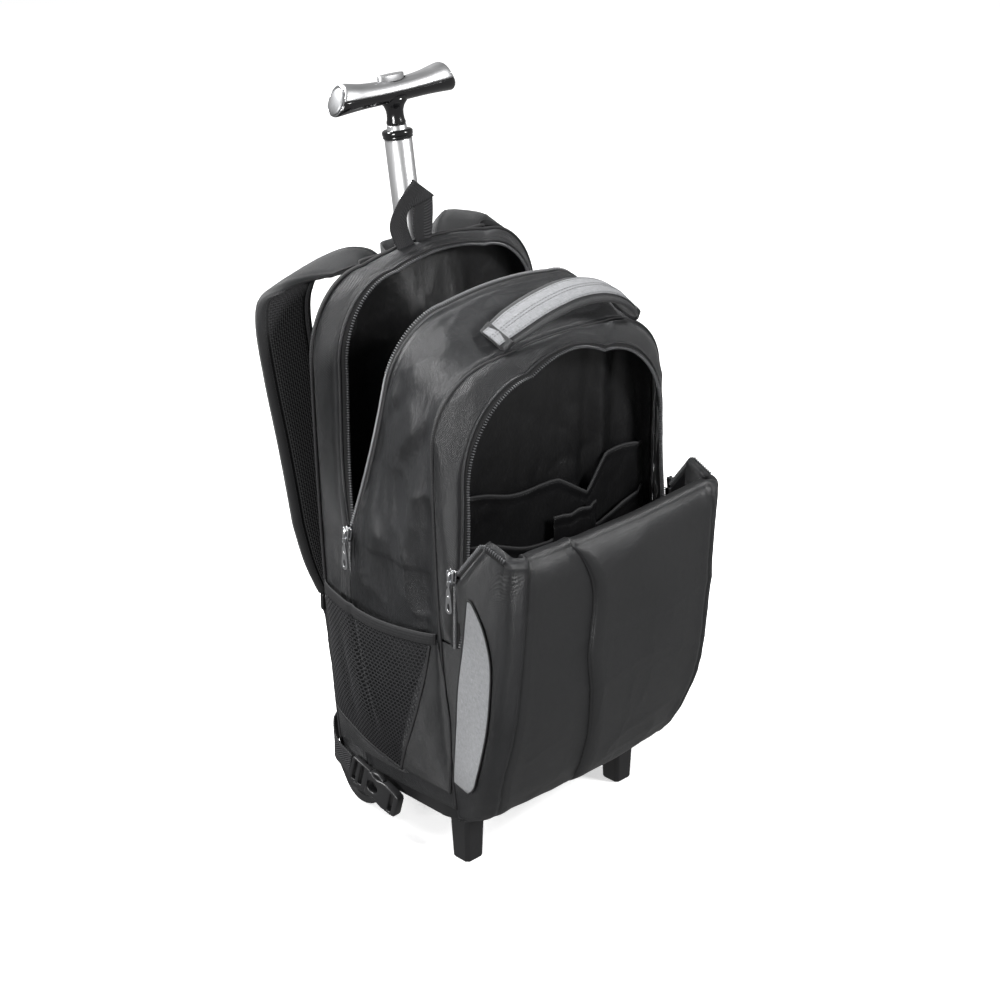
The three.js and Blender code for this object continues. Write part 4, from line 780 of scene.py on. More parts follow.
def mouth_rear_y(z):
    share = np.clip((shoulder(MOUTH_REAR) - z) / (shoulder(MOUTH_REAR) - ZIP_END), 0, 1)
    return mix(MOUTH_REAR_Y, ZIP_Y, share**3)


# Dents and gathers of the body: side, height, depth, reach up and down, reach in depth, how deep
DENTS = [
    (-1, 436, 22, 34, 14, 8), (-1, 352, 16, 60, 10, 4), (-1, 372, 52, 40, 22, 4), (-1, 300, 30, 45, 12, 3),
    (-1, 460, 60, 18, 26, 3), (-1, 262, 70, 34, 26, 2.5), (-1, 405, 88, 46, 9, 2.5), (-1, 330, 104, 60, 7, 2),
    (1, 416, 34, 30, 20, 6), (1, 320, 80, 50, 30, 3), (1, 372, 20, 50, 12, 4), (1, 250, 40, 40, 16, 3),
    (-1, 240, 24, 40, 9, 3), (-1, 190, 60, 60, 14, 1.5), (1, 190, 60, 60, 14, 1.5),
]
# Folds that run across the body from one place to another: side, from (z, y), to (z, y), width, height
BODY_FOLDS = [
    (-1, (452, 12), (398, 62), 9, 3.2), (-1, (470, 30), (420, 80), 8, -2.2), (-1, (420, 16), (330, 40), 10, 2.6),
    (-1, (380, 30), (250, 52), 13, 2.4), (-1, (352, 60), (232, 78), 11, -1.8), (-1, (340, 84), (246, 100), 10, 1.8),
    (-1, (300, 20), (240, 24), 7, -2.4), (-1, (466, 64), (398, 96), 8, 1.8), (1, (440, 14), (380, 60), 10, 2.6),
    (1, (380, 30), (250, 60), 13, 2), (1, (330, 80), (230, 96), 11, -1.6), (1, (460, 40), (410, 90), 9, 2),
]


def fold_lines(points, folds):
    total = 0
    for side, (z0, y0), (z1, y1), width, height in folds:
        start, run = np.array([y0, z0]), np.array([y1 - y0, z1 - z0])
        rel = points[..., 1:] - start
        t = np.clip((rel @ run) / (run @ run), 0, 1)
        away = np.linalg.norm(rel - t[..., None] * run, axis=-1)
        keep = np.exp(-((away / width) ** 2)) * np.sin(math.pi * np.clip(t * 0.86 + 0.07, 0, 1)) ** 0.6
        total = total + height * keep * (points[..., 0] * side > 0)
    return total


def body_relief(points, edge):
    """How far the body's cloth stands out. edge is the distance to the nearest seam."""
    depth = settings("bag_body").wrinkle * 1000
    calm = smooth(edge / 14)
    folds = creases(points, (40, 22, 64), 3) ** 3 - 0.4
    fine = creases(points, (24, 13, 34), 5) ** 4 - 0.3
    relief = depth * calm * (0.75 * folds + 0.35 * fine + 0.35 * ripple(points, (60, 34, 60), 8))
    for side, z, y, tall, deep, low in DENTS:
        near = np.exp(-(((points[..., 2] - z) / tall) ** 2) - ((points[..., 1] - y) / deep) ** 2)
        relief = relief - 1.15 * low * near * (points[..., 0] * side > 0) * smooth(edge / 8)
    relief = relief + 1.35 * fold_lines(points, BODY_FOLDS) * smooth(edge / 9)
    pucker = ripple(points, (7, 40, 7), 21) * 0.55 * bell(edge, 7)
    return relief + pucker


def stitched_groove(distance, width=1.1, depth=0.9):
    return -depth * bell(distance, width)


def make_body():
    low_rows, open_rows, depth_cols = 84, 42, 44
    seam, out = ring(FRONT_SEAM, levels(FRONT_SEAM, BODY_Z, low_rows, open_rows))
    rear_low, _ = ring(REAR_SEAM, levels(REAR_SEAM, BODY_Z, low_rows, open_rows))
    mouth, _ = ring(MOUTH_FRONT, levels(MOUTH_FRONT, BODY_Z, low_rows, open_rows))
    n = len(seam)
    is_low = np.minimum(np.arange(n), n - 1 - np.arange(n)) < low_rows
    zip_share = (ZIP_Y - BODY_FRONT) / (BODY_BACK - BODY_FRONT)
    zip_x = mix(seam[:, 0], rear_low[:, 0], zip_share)
    zip_x = zip_x + np.sign(zip_x) * SIDE_CROWN * math.sin(math.pi * zip_share)
    end = np.where(is_low[:, None], np.stack([zip_x, seam[:, 1]], axis=1), mouth)
    nick = np.abs(np.arange(n) - (low_rows - 0.5))
    nick = np.minimum(nick, np.abs(np.arange(n) - (n - 0.5 - low_rows)))
    blend = bell(nick, 9)[:, None]
    level_end = np.stack([np.sign(end[:, 0]) * 134.2, end[:, 1]], axis=1)
    end = mix(end, level_end, blend * (np.abs(end[:, :1]) > 60))
    end_y = np.where(is_low, ZIP_Y, mouth_front_y(mouth[:, 1]))
    run = np.linspace(0, 1, depth_cols + 1)
    start = np.stack([seam[:, 0], np.full(n, BODY_FRONT), seam[:, 1]], axis=1)
    stop = np.stack([end[:, 0], end_y, end[:, 1]], axis=1)
    grid = mix(start[:, None], stop[:, None], run[None, :, None])
    swell = np.where(is_low, 1.0, 1.0)[:, None] * SIDE_CROWN * np.sin(math.pi * run * np.where(is_low, zip_share, 1)[:, None])
    grid = grid + out[:, None] * swell[..., None] * np.where(is_low[:, None], 0, 1)[..., None]
    low_swell = SIDE_CROWN * (np.sin(math.pi * run * zip_share) - run * math.sin(math.pi * zip_share))
    grid = grid + out[:, None] * (low_swell[None, :] * is_low[:, None])[..., None]
    width = np.linalg.norm(stop - start, axis=1)[:, None]
    edge = np.minimum(run, 1 - run)[None, :] * width
    relief = body_relief(grid, edge)
    foot = smooth((grid[..., 2] - BODY_Z) / 16)
    relief = relief * foot
    hem = stitched_groove((1 - run)[None, :] * width - 5.5, 1.2, 0.8) + 0.9 * bell((1 - run)[None, :] * width - 2.6, 2.4)
    hem = hem + 1.0 * bell(run[None, :] * width - 2.2, 2.2) - 1.6 * bell(run[None, :] * width, 1.6)
    patch = patch_seam(grid)
    grid = grid + out[:, None] * (relief + hem + patch)[..., None]
    skin = Shape()
    wall(skin, grid, CLOTH, (0, 0, 1), (0, 1))

    # Rear arched strip, whole down to the base, between the main zip and the rear seam
    rows = levels(REAR_SEAM, BODY_Z, low_rows, open_rows)
    seam_r, out_r = ring(REAR_SEAM, rows)
    zip_r, _ = ring(MOUTH_REAR, levels(MOUTH_REAR, BODY_Z, low_rows, open_rows))
    is_low = np.minimum(np.arange(len(seam_r)), len(seam_r) - 1 - np.arange(len(seam_r))) < low_rows
    edge_x = np.where(is_low, zip_x[: len(seam_r)], zip_r[:, 0])
    edge_x = mix(edge_x, np.sign(edge_x) * 134.2, blend[:, 0] * (np.abs(edge_x) > 60))
    edge_y = np.where(is_low, ZIP_Y, mouth_rear_y(zip_r[:, 1])) + 0.4
    start = np.stack([seam_r[:, 0], np.full(len(seam_r), BODY_BACK), seam_r[:, 1]], axis=1)
    stop = np.stack([edge_x, edge_y, np.where(is_low, seam_r[:, 1], zip_r[:, 1])], axis=1)
    run = np.linspace(0, 1, 19)
    strip = mix(start[:, None], stop[:, None], run[None, :, None])
    width = np.linalg.norm(stop - start, axis=1)[:, None]
    edge = np.minimum(run, 1 - run)[None, :] * width
    relief = 2.2 * np.sin(math.pi * run)[None, :] + body_relief(strip, edge) * 0.55 * smooth((strip[..., 2] - BODY_Z) / 16)
    relief = relief + stitched_groove((1 - run)[None, :] * width - 5.5, 1.2, 0.8) + 0.8 * bell((1 - run)[None, :] * width - 2.6, 2.2)
    relief = relief - 1.2 * bell(run[None, :] * width, 1.6)
    wall(skin, strip + out_r[:, None] * relief[..., None], CLOTH, (0, 0, 1), (0, 1))
    piece("body_fabric", skin, [finish("coated_fabric"), finish("lining")], "coated_fabric", "body_shell", "rear_gusset")

    # Piping round the front and rear seams
    cord = Shape()
    for a, y, lift in ((FRONT_SEAM, BODY_FRONT - 0.2, 0.6), (REAR_SEAM, BODY_BACK + 0.2, 0.7)):
        line, away = ring(a, np.linspace(BODY_Z + 1, shoulder(a), 70), 26, 18)
        path = np.stack([line[:, 0], np.full(len(line), y), line[:, 1]], axis=1) + away * lift
        sweep(cord, path, away, oval_section(3.0, 3.0, 10))
    piece("body_piping", cord, finish("binding"), "coated_fabric")


def patch_seam(grid):
    """The lapped seam of the handle patch, on the left of the handle's end and down to the front seam."""
    x, y = grid[..., 0], grid[..., 1]
    line = mix(-92.0, -66.0, np.clip((y - BODY_FRONT) / 55, 0, 1))
    high = grid[..., 2] > 430
    step = smooth((x - line + 0.8) / 1.6) * smooth((62 - x) / 2.0)
    return np.where(high, 0.9 * step - 0.5 * bell(x - line - 3.2, 0.9), 0)


def make_front_gusset():
    z = np.linspace(FRONT_ZIP_LOW, shoulder(FRONT_SEAM), 74)
    seam, out = ring(FRONT_SEAM, z, 34, 26)
    zip_line, _ = ring(FRONT_ZIP, np.linspace(FRONT_ZIP_LOW, shoulder(FRONT_ZIP), 74), 34, 26)
    start = np.stack([seam[:, 0], np.full(len(seam), BODY_FRONT - 0.35), seam[:, 1]], axis=1)
    stop = np.stack([zip_line[:, 0], np.full(len(seam), FRONT_ZIP_Y), zip_line[:, 1]], axis=1)
    run = np.linspace(0, 1, 15)
    grid = mix(start[:, None], stop[:, None], run[None, :, None])
    width = np.linalg.norm(stop - start, axis=1)[:, None]
    edge = np.minimum(run, 1 - run)[None, :] * width
    bulge = 4.6 * np.sin(math.pi * run**0.85)[None, :] * smooth((grid[..., 2] - FRONT_ZIP_LOW + 10) / 30)
    relief = bulge + 1.5 * smooth(edge / 7) * (creases(grid, (34, 14, 38), 31) ** 3 - 0.4)
    relief = relief + 0.7 * smooth(edge / 5) * (creases(grid, (15, 9, 17), 33) ** 3 - 0.4)
    relief = relief + ripple(grid, (6, 30, 6), 35) * 0.4 * bell(edge, 6)
    relief = relief + stitched_groove((1 - run)[None, :] * width - 4.5, 1.0, 0.7)
    skin = Shape()
    wall(skin, grid + out[:, None] * relief[..., None], CLOTH, (0, 0, 1), (0, 1))
    piece("front_gusset_fabric", skin, [finish("coated_fabric"), finish("lining")], "coated_fabric", "front_gusset")


# Front pocket: the unzipped panel that hangs forward. Height share, reach share of the depth, width share of the rim

POCKET_ROWS = [(0.012, 0.15, 0.925), (0.055, 0.4, 0.955), (0.12, 0.545, 0.99), (0.21, 0.655, 1.035),
               (0.42, 0.835, 1.035), (0.67, 0.93, 1.02), (1, 1, 1)]
# Seam of the pleat down the front panel: height, place across
PLEAT = [(50, -16), (80, -17), (120, -20), (216, -38), (300, -43), (335, -62), (345, -70)]
ROLL_ROWS = [(0, 0, 0), (0.12, 0.10, 3.4), (0.3, 0.42, 6.0), (0.5, 0.85, 4.2), (0.62, 1.0, -3),
             (0.8, 1.08, -ROLL_TAIL * 0.45), (1, 1.1, -ROLL_TAIL)]


def pocket_z(rise):
    return mix(POCKET_LOW, POCKET_RIM, rise)


def pocket_frame(z):
    """Where the pocket's back edge, its corner and its front are at a height."""
    rise = np.clip((z - POCKET_LOW) / (POCKET_RIM - POCKET_LOW), POCKET_ROWS[0][0], 1)
    reach, span = through(POCKET_ROWS, rise), through(POCKET_ROWS, rise, 2)
    corner = np.minimum(POCKET_CORNER, 0.45 * reach * POCKET_DEPTH)
    back_x = arch_half(FRONT_SEAM, np.minimum(z, shoulder(FRONT_SEAM)))
    front = BODY_FRONT - reach * POCKET_DEPTH
    opened = np.clip((z - FRONT_ZIP_STOP) / (POCKET_RIM - FRONT_ZIP_STOP), 0, 1)
    edge_y = np.where(z < FRONT_ZIP_LOW - 2, BODY_FRONT - 0.35, mix(FRONT_ZIP_Y - 0.7, BODY_FRONT - EAR_DEPTH, opened))
    return back_x, edge_y, POCKET_HALF * span, front, corner, opened


def pocket_side(z, share):
    """A point of the pocket's left side: share 0 at its back edge, 1 where the corner begins."""
    back_x, edge_y, half, front, corner, opened = pocket_frame(z)
    y = mix(edge_y, front + corner, share)
    x = mix(back_x, half, (BODY_FRONT - 0.35 - y) / (BODY_FRONT - 0.35 - front - corner))
    return x, y, z + opened * EAR_RISE * (1 - share)


def make_front_pocket():
    rows = np.r_[np.linspace(POCKET_LOW + 3.5, FRONT_ZIP_LOW - 3, 74), np.linspace(FRONT_ZIP_LOW - 1.9, POCKET_RIM, 38)]
    side_n, arc_n, left_n, right_n = 30, 12, 26, 62
    grid = np.zeros((len(rows), 2 * (side_n + arc_n) + left_n + right_n + 1, 3))
    lean = np.zeros(grid.shape[:2] + (3,))
    seam_at = side_n + arc_n + left_n
    for r, z in enumerate(rows):
        back_x, edge_y, half, front, corner, opened = (float(v) for v in pocket_frame(z))
        share = np.linspace(0, 1, side_n + 1)[:-1]
        x, y, lifted = pocket_side(z, share)
        side = np.stack([-x, y, lifted], axis=1)
        turn = np.linspace(0, math.pi / 2, arc_n + 1)[:-1]
        arc = np.stack([-half + corner - corner * np.cos(turn), front + corner - corner * np.sin(turn), np.full(arc_n, z)], axis=1)
        pleat = through(PLEAT, z)
        edge = half - corner
        packed = lambda n: 1 - (1 - np.linspace(0, 1, n + 1)) ** 1.5
        left = mix(-edge, pleat, packed(left_n))[:-1]
        right = mix(edge, pleat, packed(right_n))[::-1]
        across = np.r_[left, right]
        bow = POCKET_BOW * (1 - (np.abs(across) / edge) ** 2)
        face = np.stack([across, front - bow, np.full(len(across), z)], axis=1)
        mirror = [-1, 1, 1]
        grid[r] = np.concatenate([side, arc, face, arc[::-1] * mirror, side[::-1] * mirror])
        out_arc = np.stack([-np.cos(turn), -np.sin(turn), 0 * turn], axis=1)
        out_side = np.tile([-1.0, 0, 0], (side_n, 1))
        lean[r] = np.concatenate([out_side, out_arc, np.tile([0, -1.0, 0], (len(across), 1)),
                                  out_arc[::-1] * mirror, out_side[::-1] * mirror])
    x, z = grid[..., 0], grid[..., 2]
    cols = np.arange(grid.shape[1])
    pleat = through(PLEAT, z.ravel()).reshape(z.shape)
    on_face = (cols >= side_n + arc_n) & (cols < grid.shape[1] - side_n - arc_n)
    away = x - pleat
    tuck = np.sqrt(np.clip(1 - (1 - np.clip(away / 10, 0, 1)) ** 2, 0, 1))
    over = np.where(cols[None] >= seam_at, 4.6 * tuck * np.exp(-np.maximum(away - 10, 0) / 60),
                    -2.4 * np.exp(-np.maximum(-away, 0) / 12))
    over = over * smooth((z - POCKET_LOW - 4) / 30) * mix(1, 0.7, smooth((z - 305) / 30))
    corner_seam = np.minimum(np.abs(cols - (side_n + arc_n - 1)), np.abs(cols - (grid.shape[1] - side_n - arc_n)))[None] * 2.4
    sides = np.minimum(cols, cols[::-1])[None] * 2.4
    relief = over * on_face[None]
    relief = relief - 2.1 * bell(corner_seam, 1.7) + 0.9 * bell(corner_seam - 5, 2.6)
    roof = np.clip((z - POCKET_RIM + 26) / 26, 0, 1)
    relief = relief - 9.5 * (1 - np.sqrt(1 - 0.94 * roof**2)) * on_face[None]
    height = (z - POCKET_LOW) / (POCKET_RIM - POCKET_LOW)
    relief = relief + (2.6 * bell(away - 62, 34) * bell(height - 0.86, 0.16) - 2.2 * bell(away - 40, 60) * bell(height - 0.66, 0.1)
                       + 1.8 * bell(away - 100, 30) * bell(height - 0.7, 0.2)) * on_face[None]
    relief = relief + 1.5 * (creases(grid, (90, 90, 60), 41) ** 3 - 0.45) * smooth(sides / 8)
    relief = relief + 0.45 * (creases(grid, (22, 22, 30), 43) ** 4 - 0.3) * smooth(1.2 - height) * smooth(sides / 6)
    lower = bell((z - POCKET_LOW) / 26, 1.0)
    relief = relief + lower * 1.3 * ripple(grid, (16, 30, 60), 44) * smooth((z - POCKET_LOW) / 8)
    relief = relief + 0.35 * ripple(grid, (6, 6, 7), 45) * bell(corner_seam, 7)
    hem = (z - POCKET_LOW - 6)
    relief = relief - 0.9 * bell(hem, 1.5) + np.where(cols[None] < 4, 0.8, 0) * bell(cols[None] * 2.4 - 3, 4)
    relief = relief * smooth((z - POCKET_LOW) / 5) * smooth((cols[None] + 0.5) / 2) * smooth((cols[::-1][None] + 0.5) / 2)
    grid = grid + lean * relief[..., None]

    # Heel below, turned in under the bag
    first = grid[0].copy()
    heel = np.stack([-119 * np.cos(math.pi * cols / (len(cols) - 1)), np.full(len(cols), BODY_FRONT - 0.35),
                     np.full(len(cols), POCKET_LOW)], axis=1)
    under = [mix(heel, first, t) - [0, 0, 2.2 * math.sin(math.pi * t)] for t in np.linspace(0, 1, 9)[:-1]]
    # Folded top edge, turned in and down
    rim, away = grid[-1], lean[-1]
    roll = []
    for t in np.linspace(0, 1, 30)[1:]:
        inward, up = float(through(ROLL_ROWS, t)), float(through(ROLL_ROWS, t, 2))
        row = rim - away * inward * ROLL + [0, 0, up]
        row = row + away * 1.2 * ripple(row, (30, 30, 24), 47)[:, None] * smooth((t - 0.55) / 0.2)
        roll.append(row)
    grid = np.concatenate([np.array(under), grid, np.array(roll)])
    skin = Shape()
    wall(skin, grid, CLOTH, (0, -1, 0), (0, 1))
    face_rows = len(under) + len(rows)
    side_kinds = np.array(skin.kinds)
    quads = (grid.shape[0] - 1) * (grid.shape[1] - 1)
    col = np.arange(quads) % (grid.shape[1] - 1)
    on_side = (col < side_n + arc_n - 1) | (col >= grid.shape[1] - side_n - arc_n)
    side_kinds[:quads][on_side] = 2
    skin.kinds = list(side_kinds)
    piece("front_pocket_fabric", skin, [finish("front_panel"), finish("lining"), finish("coated_fabric")],
          "front_panel", "front_pocket")


# Grey crescents on the pocket's sides: height share, back edge and front edge as shares of the pocket depth
INSERT_ROWS = [(0.16, 0.04, 0.3), (0.19, 0.055, 0.4), (0.26, 0.1, 0.5), (0.36, 0.15, 0.58), (0.53, 0.22, 0.66), (0.7, 0.32, 0.65),
               (0.79, 0.36, 0.55), (0.85, 0.39, 0.43)]


def insert_point(rise, share):
    z = pocket_z(rise)
    back_x, _, half, front, corner, _ = pocket_frame(z)
    y = BODY_FRONT - share * POCKET_DEPTH
    x = mix(back_x, half, (BODY_FRONT - 0.35 - y) / (BODY_FRONT - 0.35 - front - corner))
    return np.stack([x, y, z], axis=-1)


def make_side_inserts():
    rise = np.linspace(INSERT_ROWS[0][0], INSERT_ROWS[-1][0], 64)
    back, front = through(INSERT_ROWS, rise), through(INSERT_ROWS, rise, 2)
    t = np.linspace(0, 1, 25)
    share = mix(back[:, None], front[:, None], t[None])
    grid = insert_point(rise[:, None] + 0 * t[None], share)
    for name, side in SIDES.items():
        face = grid * [side, 1, 1] + np.array([side, 0, 0]) * (2.3 + 0.5 * (1 - np.abs(2 * t - 1) ** 6)[None, :, None])
        skin = Shape()
        wall(skin, face, 1.0, (side, 0, 0))
        piece(f"side_insert_cloth_{name}", skin, finish("grey_fabric"), "grey_fabric", f"side_insert_{name}")
        # Bound edge round the crescent
        loop = np.concatenate([face[:, 0], face[-1, 1:-1], face[::-1, -1], face[0, -2:0:-1]])
        edge = Shape()
        sweep(edge, loop[::2], (side, 0, 0), oval_section(1.2, 1.7, 8), looped=True)
        piece(f"side_insert_edge_{name}", edge, finish("binding"), "grey_fabric")


# Inside of the bag


def arch_panel(a, inset, low, cols, rows, deep):
    """Points that fill an outline, from below upwards. deep gives the depth of each place."""
    u, t = np.meshgrid(np.linspace(-1, 1, cols), np.linspace(0, 1, rows))
    z = mix(low, arch_height(a, u * a[0]) - inset, t)
    x = u * (arch_half(a, np.minimum(z, shoulder(a))) - inset)
    return np.stack([x, deep(x, z, u, t), z], axis=2)


def pole_y(z):
    return POLE[1] - (POLE[2] - z) * math.tan(LEAN)


def fade(x, half, run):
    return np.cos(np.clip((np.abs(x) - half) / run, 0, 1) * math.pi / 2) ** 2


def lining_y(x, z):
    flat = BODY_BACK - 2.5
    clear = flat - (pole_y(z) - OUTER_RADIUS / math.cos(LEAN) - 7.5)
    return flat - np.maximum(clear, 0) * fade(x, 22, 34)


ORGANISER_FOLDS = [(0.36, 0.07, 6), (0.48, 0.05, -3), (0.62, 0.07, 5), (-0.5, 0.2, 3), (0.1, 0.05, 1.6), (-0.25, 0.06, 2)]


def organiser_y(u, t, x, z):
    swell = sum(depth * bell(u - run - 0.12 * (t - 0.7), width) for run, width, depth in ORGANISER_FOLDS)
    points = np.stack([x, 0 * x, z], axis=-1)
    rough = 1.6 * (creases(points, (28, 30, 60), 51) ** 3 - 0.4) + 0.8 * (creases(points, (14, 30, 26), 52) ** 3 - 0.4)
    return BODY_FRONT + 2.6 + (swell + rough) * np.sin(math.pi * np.clip(t, 0, 1)) ** 0.7


def make_linings():
    def rear(x, z, u, t):
        points = np.stack([x, 0 * x, z], axis=-1)
        edge = np.minimum(1 - np.abs(u), 1 - t)
        rough = 2.2 * creases(points, (50, 30, 90), 61) ** 3 + 0.9 * creases(points, (22, 30, 36), 62) ** 3
        return lining_y(x, z) - LINING - rough * smooth(edge / 0.12)

    back = Shape()
    wall(back, arch_panel(REAR_SEAM, 8, 64.2, 96, 130, rear), LINING, (0, -1, 0))
    piece("rear_lining_cloth", back, finish("lining"), "lining", "rear_lining")
    panel = Shape()
    face = arch_panel(FRONT_SEAM, 4, 64.2, 104, 130, lambda x, z, u, t: organiser_y(u, t, x, z))
    wall(panel, face, LINING, (0, -1, 0))
    piece("organiser_cloth", panel, finish("lining"), "lining", "organiser_panel")


# Organiser pockets: across as a share of the front half width, height of the upper edge as a share
SLIP_EDGE = [(-0.86, 0.755), (-0.4, 0.735), (0.05, 0.715), (0.3, 0.68), (0.48, 0.74), (0.86, 0.725)]
CARD_EDGE = [(-0.84, 0.665), (-0.45, 0.64), (-0.1, 0.61), (0.35, 0.615), (0.84, 0.64)]
PEN_EDGE = [(-0.06, 0.66), (0.12, 0.665), (0.32, 0.66)]


def make_organiser_pockets():
    base = BODY_FRONT + 2 - LINING - 0.35
    overlay = LINING + 0.35
    card_stand = 10 + overlay
    for name, edge, low, back, seam, stand, node, seed in (
        ("slip_pocket_cloth", SLIP_EDGE, 0.495, base, 0, 5, "slip_pocket", 71),
        ("card_pocket_cloth", CARD_EDGE, 0.4536, base, overlay, card_stand, "card_pocket", 72),
        ("pen_pocket_cloth", PEN_EDGE, 0.5155, base - card_stand - overlay, 0, 7, "pen_pocket", 73),
    ):
        cols = 90 if name[0] != "p" else 34
        run = np.linspace(edge[0][0], edge[-1][0], cols)
        top = np.interp(run, [e[0] for e in edge], [e[1] for e in edge])
        t = np.linspace(0, 1, 36)
        inner = np.interp(run, [run[0], run[0] + 0.1, run[-1] - 0.1, run[-1]], [seam, stand, stand, seam])
        wide = (np.array(edge)[-1, 0] - np.array(edge)[0, 0]) / 1.7
        sag = 0.006 * wide * np.sin(np.linspace(0, 5 * math.pi, cols)) * smooth(np.minimum(np.arange(cols), np.arange(cols)[::-1]) / 6)
        x = np.broadcast_to(run * FRONT_HALF, (36, cols))
        z = mix(low, (top + sag)[None], t[:, None]) * FRONT_TOP
        forward = inner[None] * np.minimum(5 * t, 1)[:, None]
        points = np.stack([x, 0 * x, z], axis=-1)
        rough = 0.9 * ripple(points, (16, 30, 30), seed) + 0.5 * ripple(points, (7, 30, 9), seed + 9) * t[:, None]
        calm = smooth(np.minimum(np.arange(cols), np.arange(cols)[::-1]) / 5)[None]
        depth = back - forward + np.clip(rough, -0.9, 1.3) * calm * -1
        rows_from_top = (1 - t)[:, None] * (top[None] - low) * FRONT_TOP
        depth = depth - 0.7 * bell(rows_from_top - 1.5, 2.2) + 0.6 * bell(rows_from_top - 8, 1.1)
        skin = Shape()
        wall(skin, np.stack([x, depth, z], axis=-1), LINING, (0, -1, 0))
        piece(name, skin, finish("lining"), "lining", node)
        # Bound upper edge
        line = np.stack([x[-1], depth[-1] + LINING / 2, z[-1]], axis=-1)
        trim = Shape()
        sweep(trim, line, (0, 1, 0), oval_section(2.5, 3.4, 10))
        piece(name.replace("cloth", "edge"), trim, finish("binding"), "lining")


# What repeats along a path: zip teeth and stitches


def row_tree():
    """Node tree that sets rounded bars at even steps along the edges of a mesh, standing along its out attribute."""
    if "bars along a path" in bpy.data.node_groups:
        return bpy.data.node_groups["bars along a path"]
    tree = bpy.data.node_groups.new("bars along a path", "GeometryNodeTree")
    face = tree.interface
    face.new_socket("Geometry", in_out="INPUT", socket_type="NodeSocketGeometry")
    for name, kind in (("Spacing", "Float"), ("Size", "Vector"), ("Unevenness", "Float"), ("Seed", "Int"), ("Finish", "Material")):
        face.new_socket(name, in_out="INPUT", socket_type=f"NodeSocket{kind}")
    face.new_socket("Geometry", in_out="OUTPUT", socket_type="NodeSocketGeometry")
    new, link = tree.nodes.new, tree.links.new
    given, result = new("NodeGroupInput"), new("NodeGroupOutput")
    line, even, bars = new("GeometryNodeMeshToCurve"), new("GeometryNodeResampleCurve"), new("GeometryNodeInstanceOnPoints")
    even.mode = "LENGTH"
    link(given.outputs["Geometry"], line.inputs["Mesh"])
    link(line.outputs["Curve"], even.inputs["Curve"])
    link(given.outputs["Spacing"], even.inputs["Length"])
    link(even.outputs["Curve"], bars.inputs["Points"])
    ball = new("GeometryNodeMeshUVSphere")
    ball.inputs["Segments"].default_value, ball.inputs["Rings"].default_value = 8, 5
    ball.inputs["Radius"].default_value = 0.5
    link(ball.outputs["Mesh"], bars.inputs["Instance"])
    tangent, out = new("GeometryNodeInputTangent"), new("GeometryNodeInputNamedAttribute")
    out.data_type = "FLOAT_VECTOR"
    out.inputs["Name"].default_value = "out"
    ahead, stand = new("FunctionNodeAlignRotationToVector"), new("FunctionNodeAlignRotationToVector")
    ahead.axis, stand.axis, stand.pivot_axis = "X", "Z", "X"
    link(tangent.outputs["Tangent"], ahead.inputs["Vector"])
    link(ahead.outputs["Rotation"], stand.inputs["Rotation"])
    link(out.outputs["Attribute"], stand.inputs["Vector"])
    uneven, low, high, size = (new("FunctionNodeRandomValue"), new("ShaderNodeMath"), new("ShaderNodeMath"), new("ShaderNodeVectorMath"))
    low.operation, high.operation, size.operation = "SUBTRACT", "ADD", "SCALE"
    low.inputs[0].default_value = high.inputs[0].default_value = 1.0
    link(given.outputs["Unevenness"], low.inputs[1])
    link(given.outputs["Unevenness"], high.inputs[1])
    link(low.outputs[0], uneven.inputs[2])
    link(high.outputs[0], uneven.inputs[3])
    link(given.outputs["Seed"], uneven.inputs["Seed"])
    link(given.outputs["Size"], size.inputs[0])
    link(uneven.outputs[1], size.inputs["Scale"])
    link(stand.outputs["Rotation"], bars.inputs["Rotation"])
    link(size.outputs[0], bars.inputs["Scale"])
    real, smooth_faces, paint = (new("GeometryNodeRealizeInstances"), new("GeometryNodeSetShadeSmooth"), new("GeometryNodeSetMaterial"))
    link(bars.outputs["Instances"], real.inputs["Geometry"])
    link(real.outputs["Geometry"], smooth_faces.inputs["Geometry"])
    link(smooth_faces.outputs["Geometry"], paint.inputs["Geometry"])
    link(given.outputs["Finish"], paint.inputs["Material"])
    link(paint.outputs["Geometry"], result.inputs["Geometry"])
    return tree


def run_tree(name, tree, mesh, values, slot, *nodes, body="bag"):
    """Runs a node tree on a mesh and keeps the result as a plain mesh piece."""
    holder = bpy.data.objects.new(name + "_source", mesh)
    bpy.context.scene.collection.objects.link(holder)
    modifier = holder.modifiers.new("repeat", "NODES")
    modifier.node_group = tree
    for item in tree.interface.items_tree:
        if item.in_out == "INPUT" and item.name in values:
            modifier[item.identifier] = values[item.name]
    bpy.context.view_layer.update()
    result = bpy.data.meshes.new_from_object(holder.evaluated_get(bpy.context.evaluated_depsgraph_get()))
    holder.modifiers.remove(modifier)
    bpy.data.objects.remove(holder)
    if not len(result.polygons):
        raise RuntimeError(f"{name}: the node tree made nothing")
    result.name = name
    obj = bpy.data.objects.new(name, result)
    bpy.context.scene.collection.objects.link(obj)
    return settle(obj, slot, *nodes, body=body)


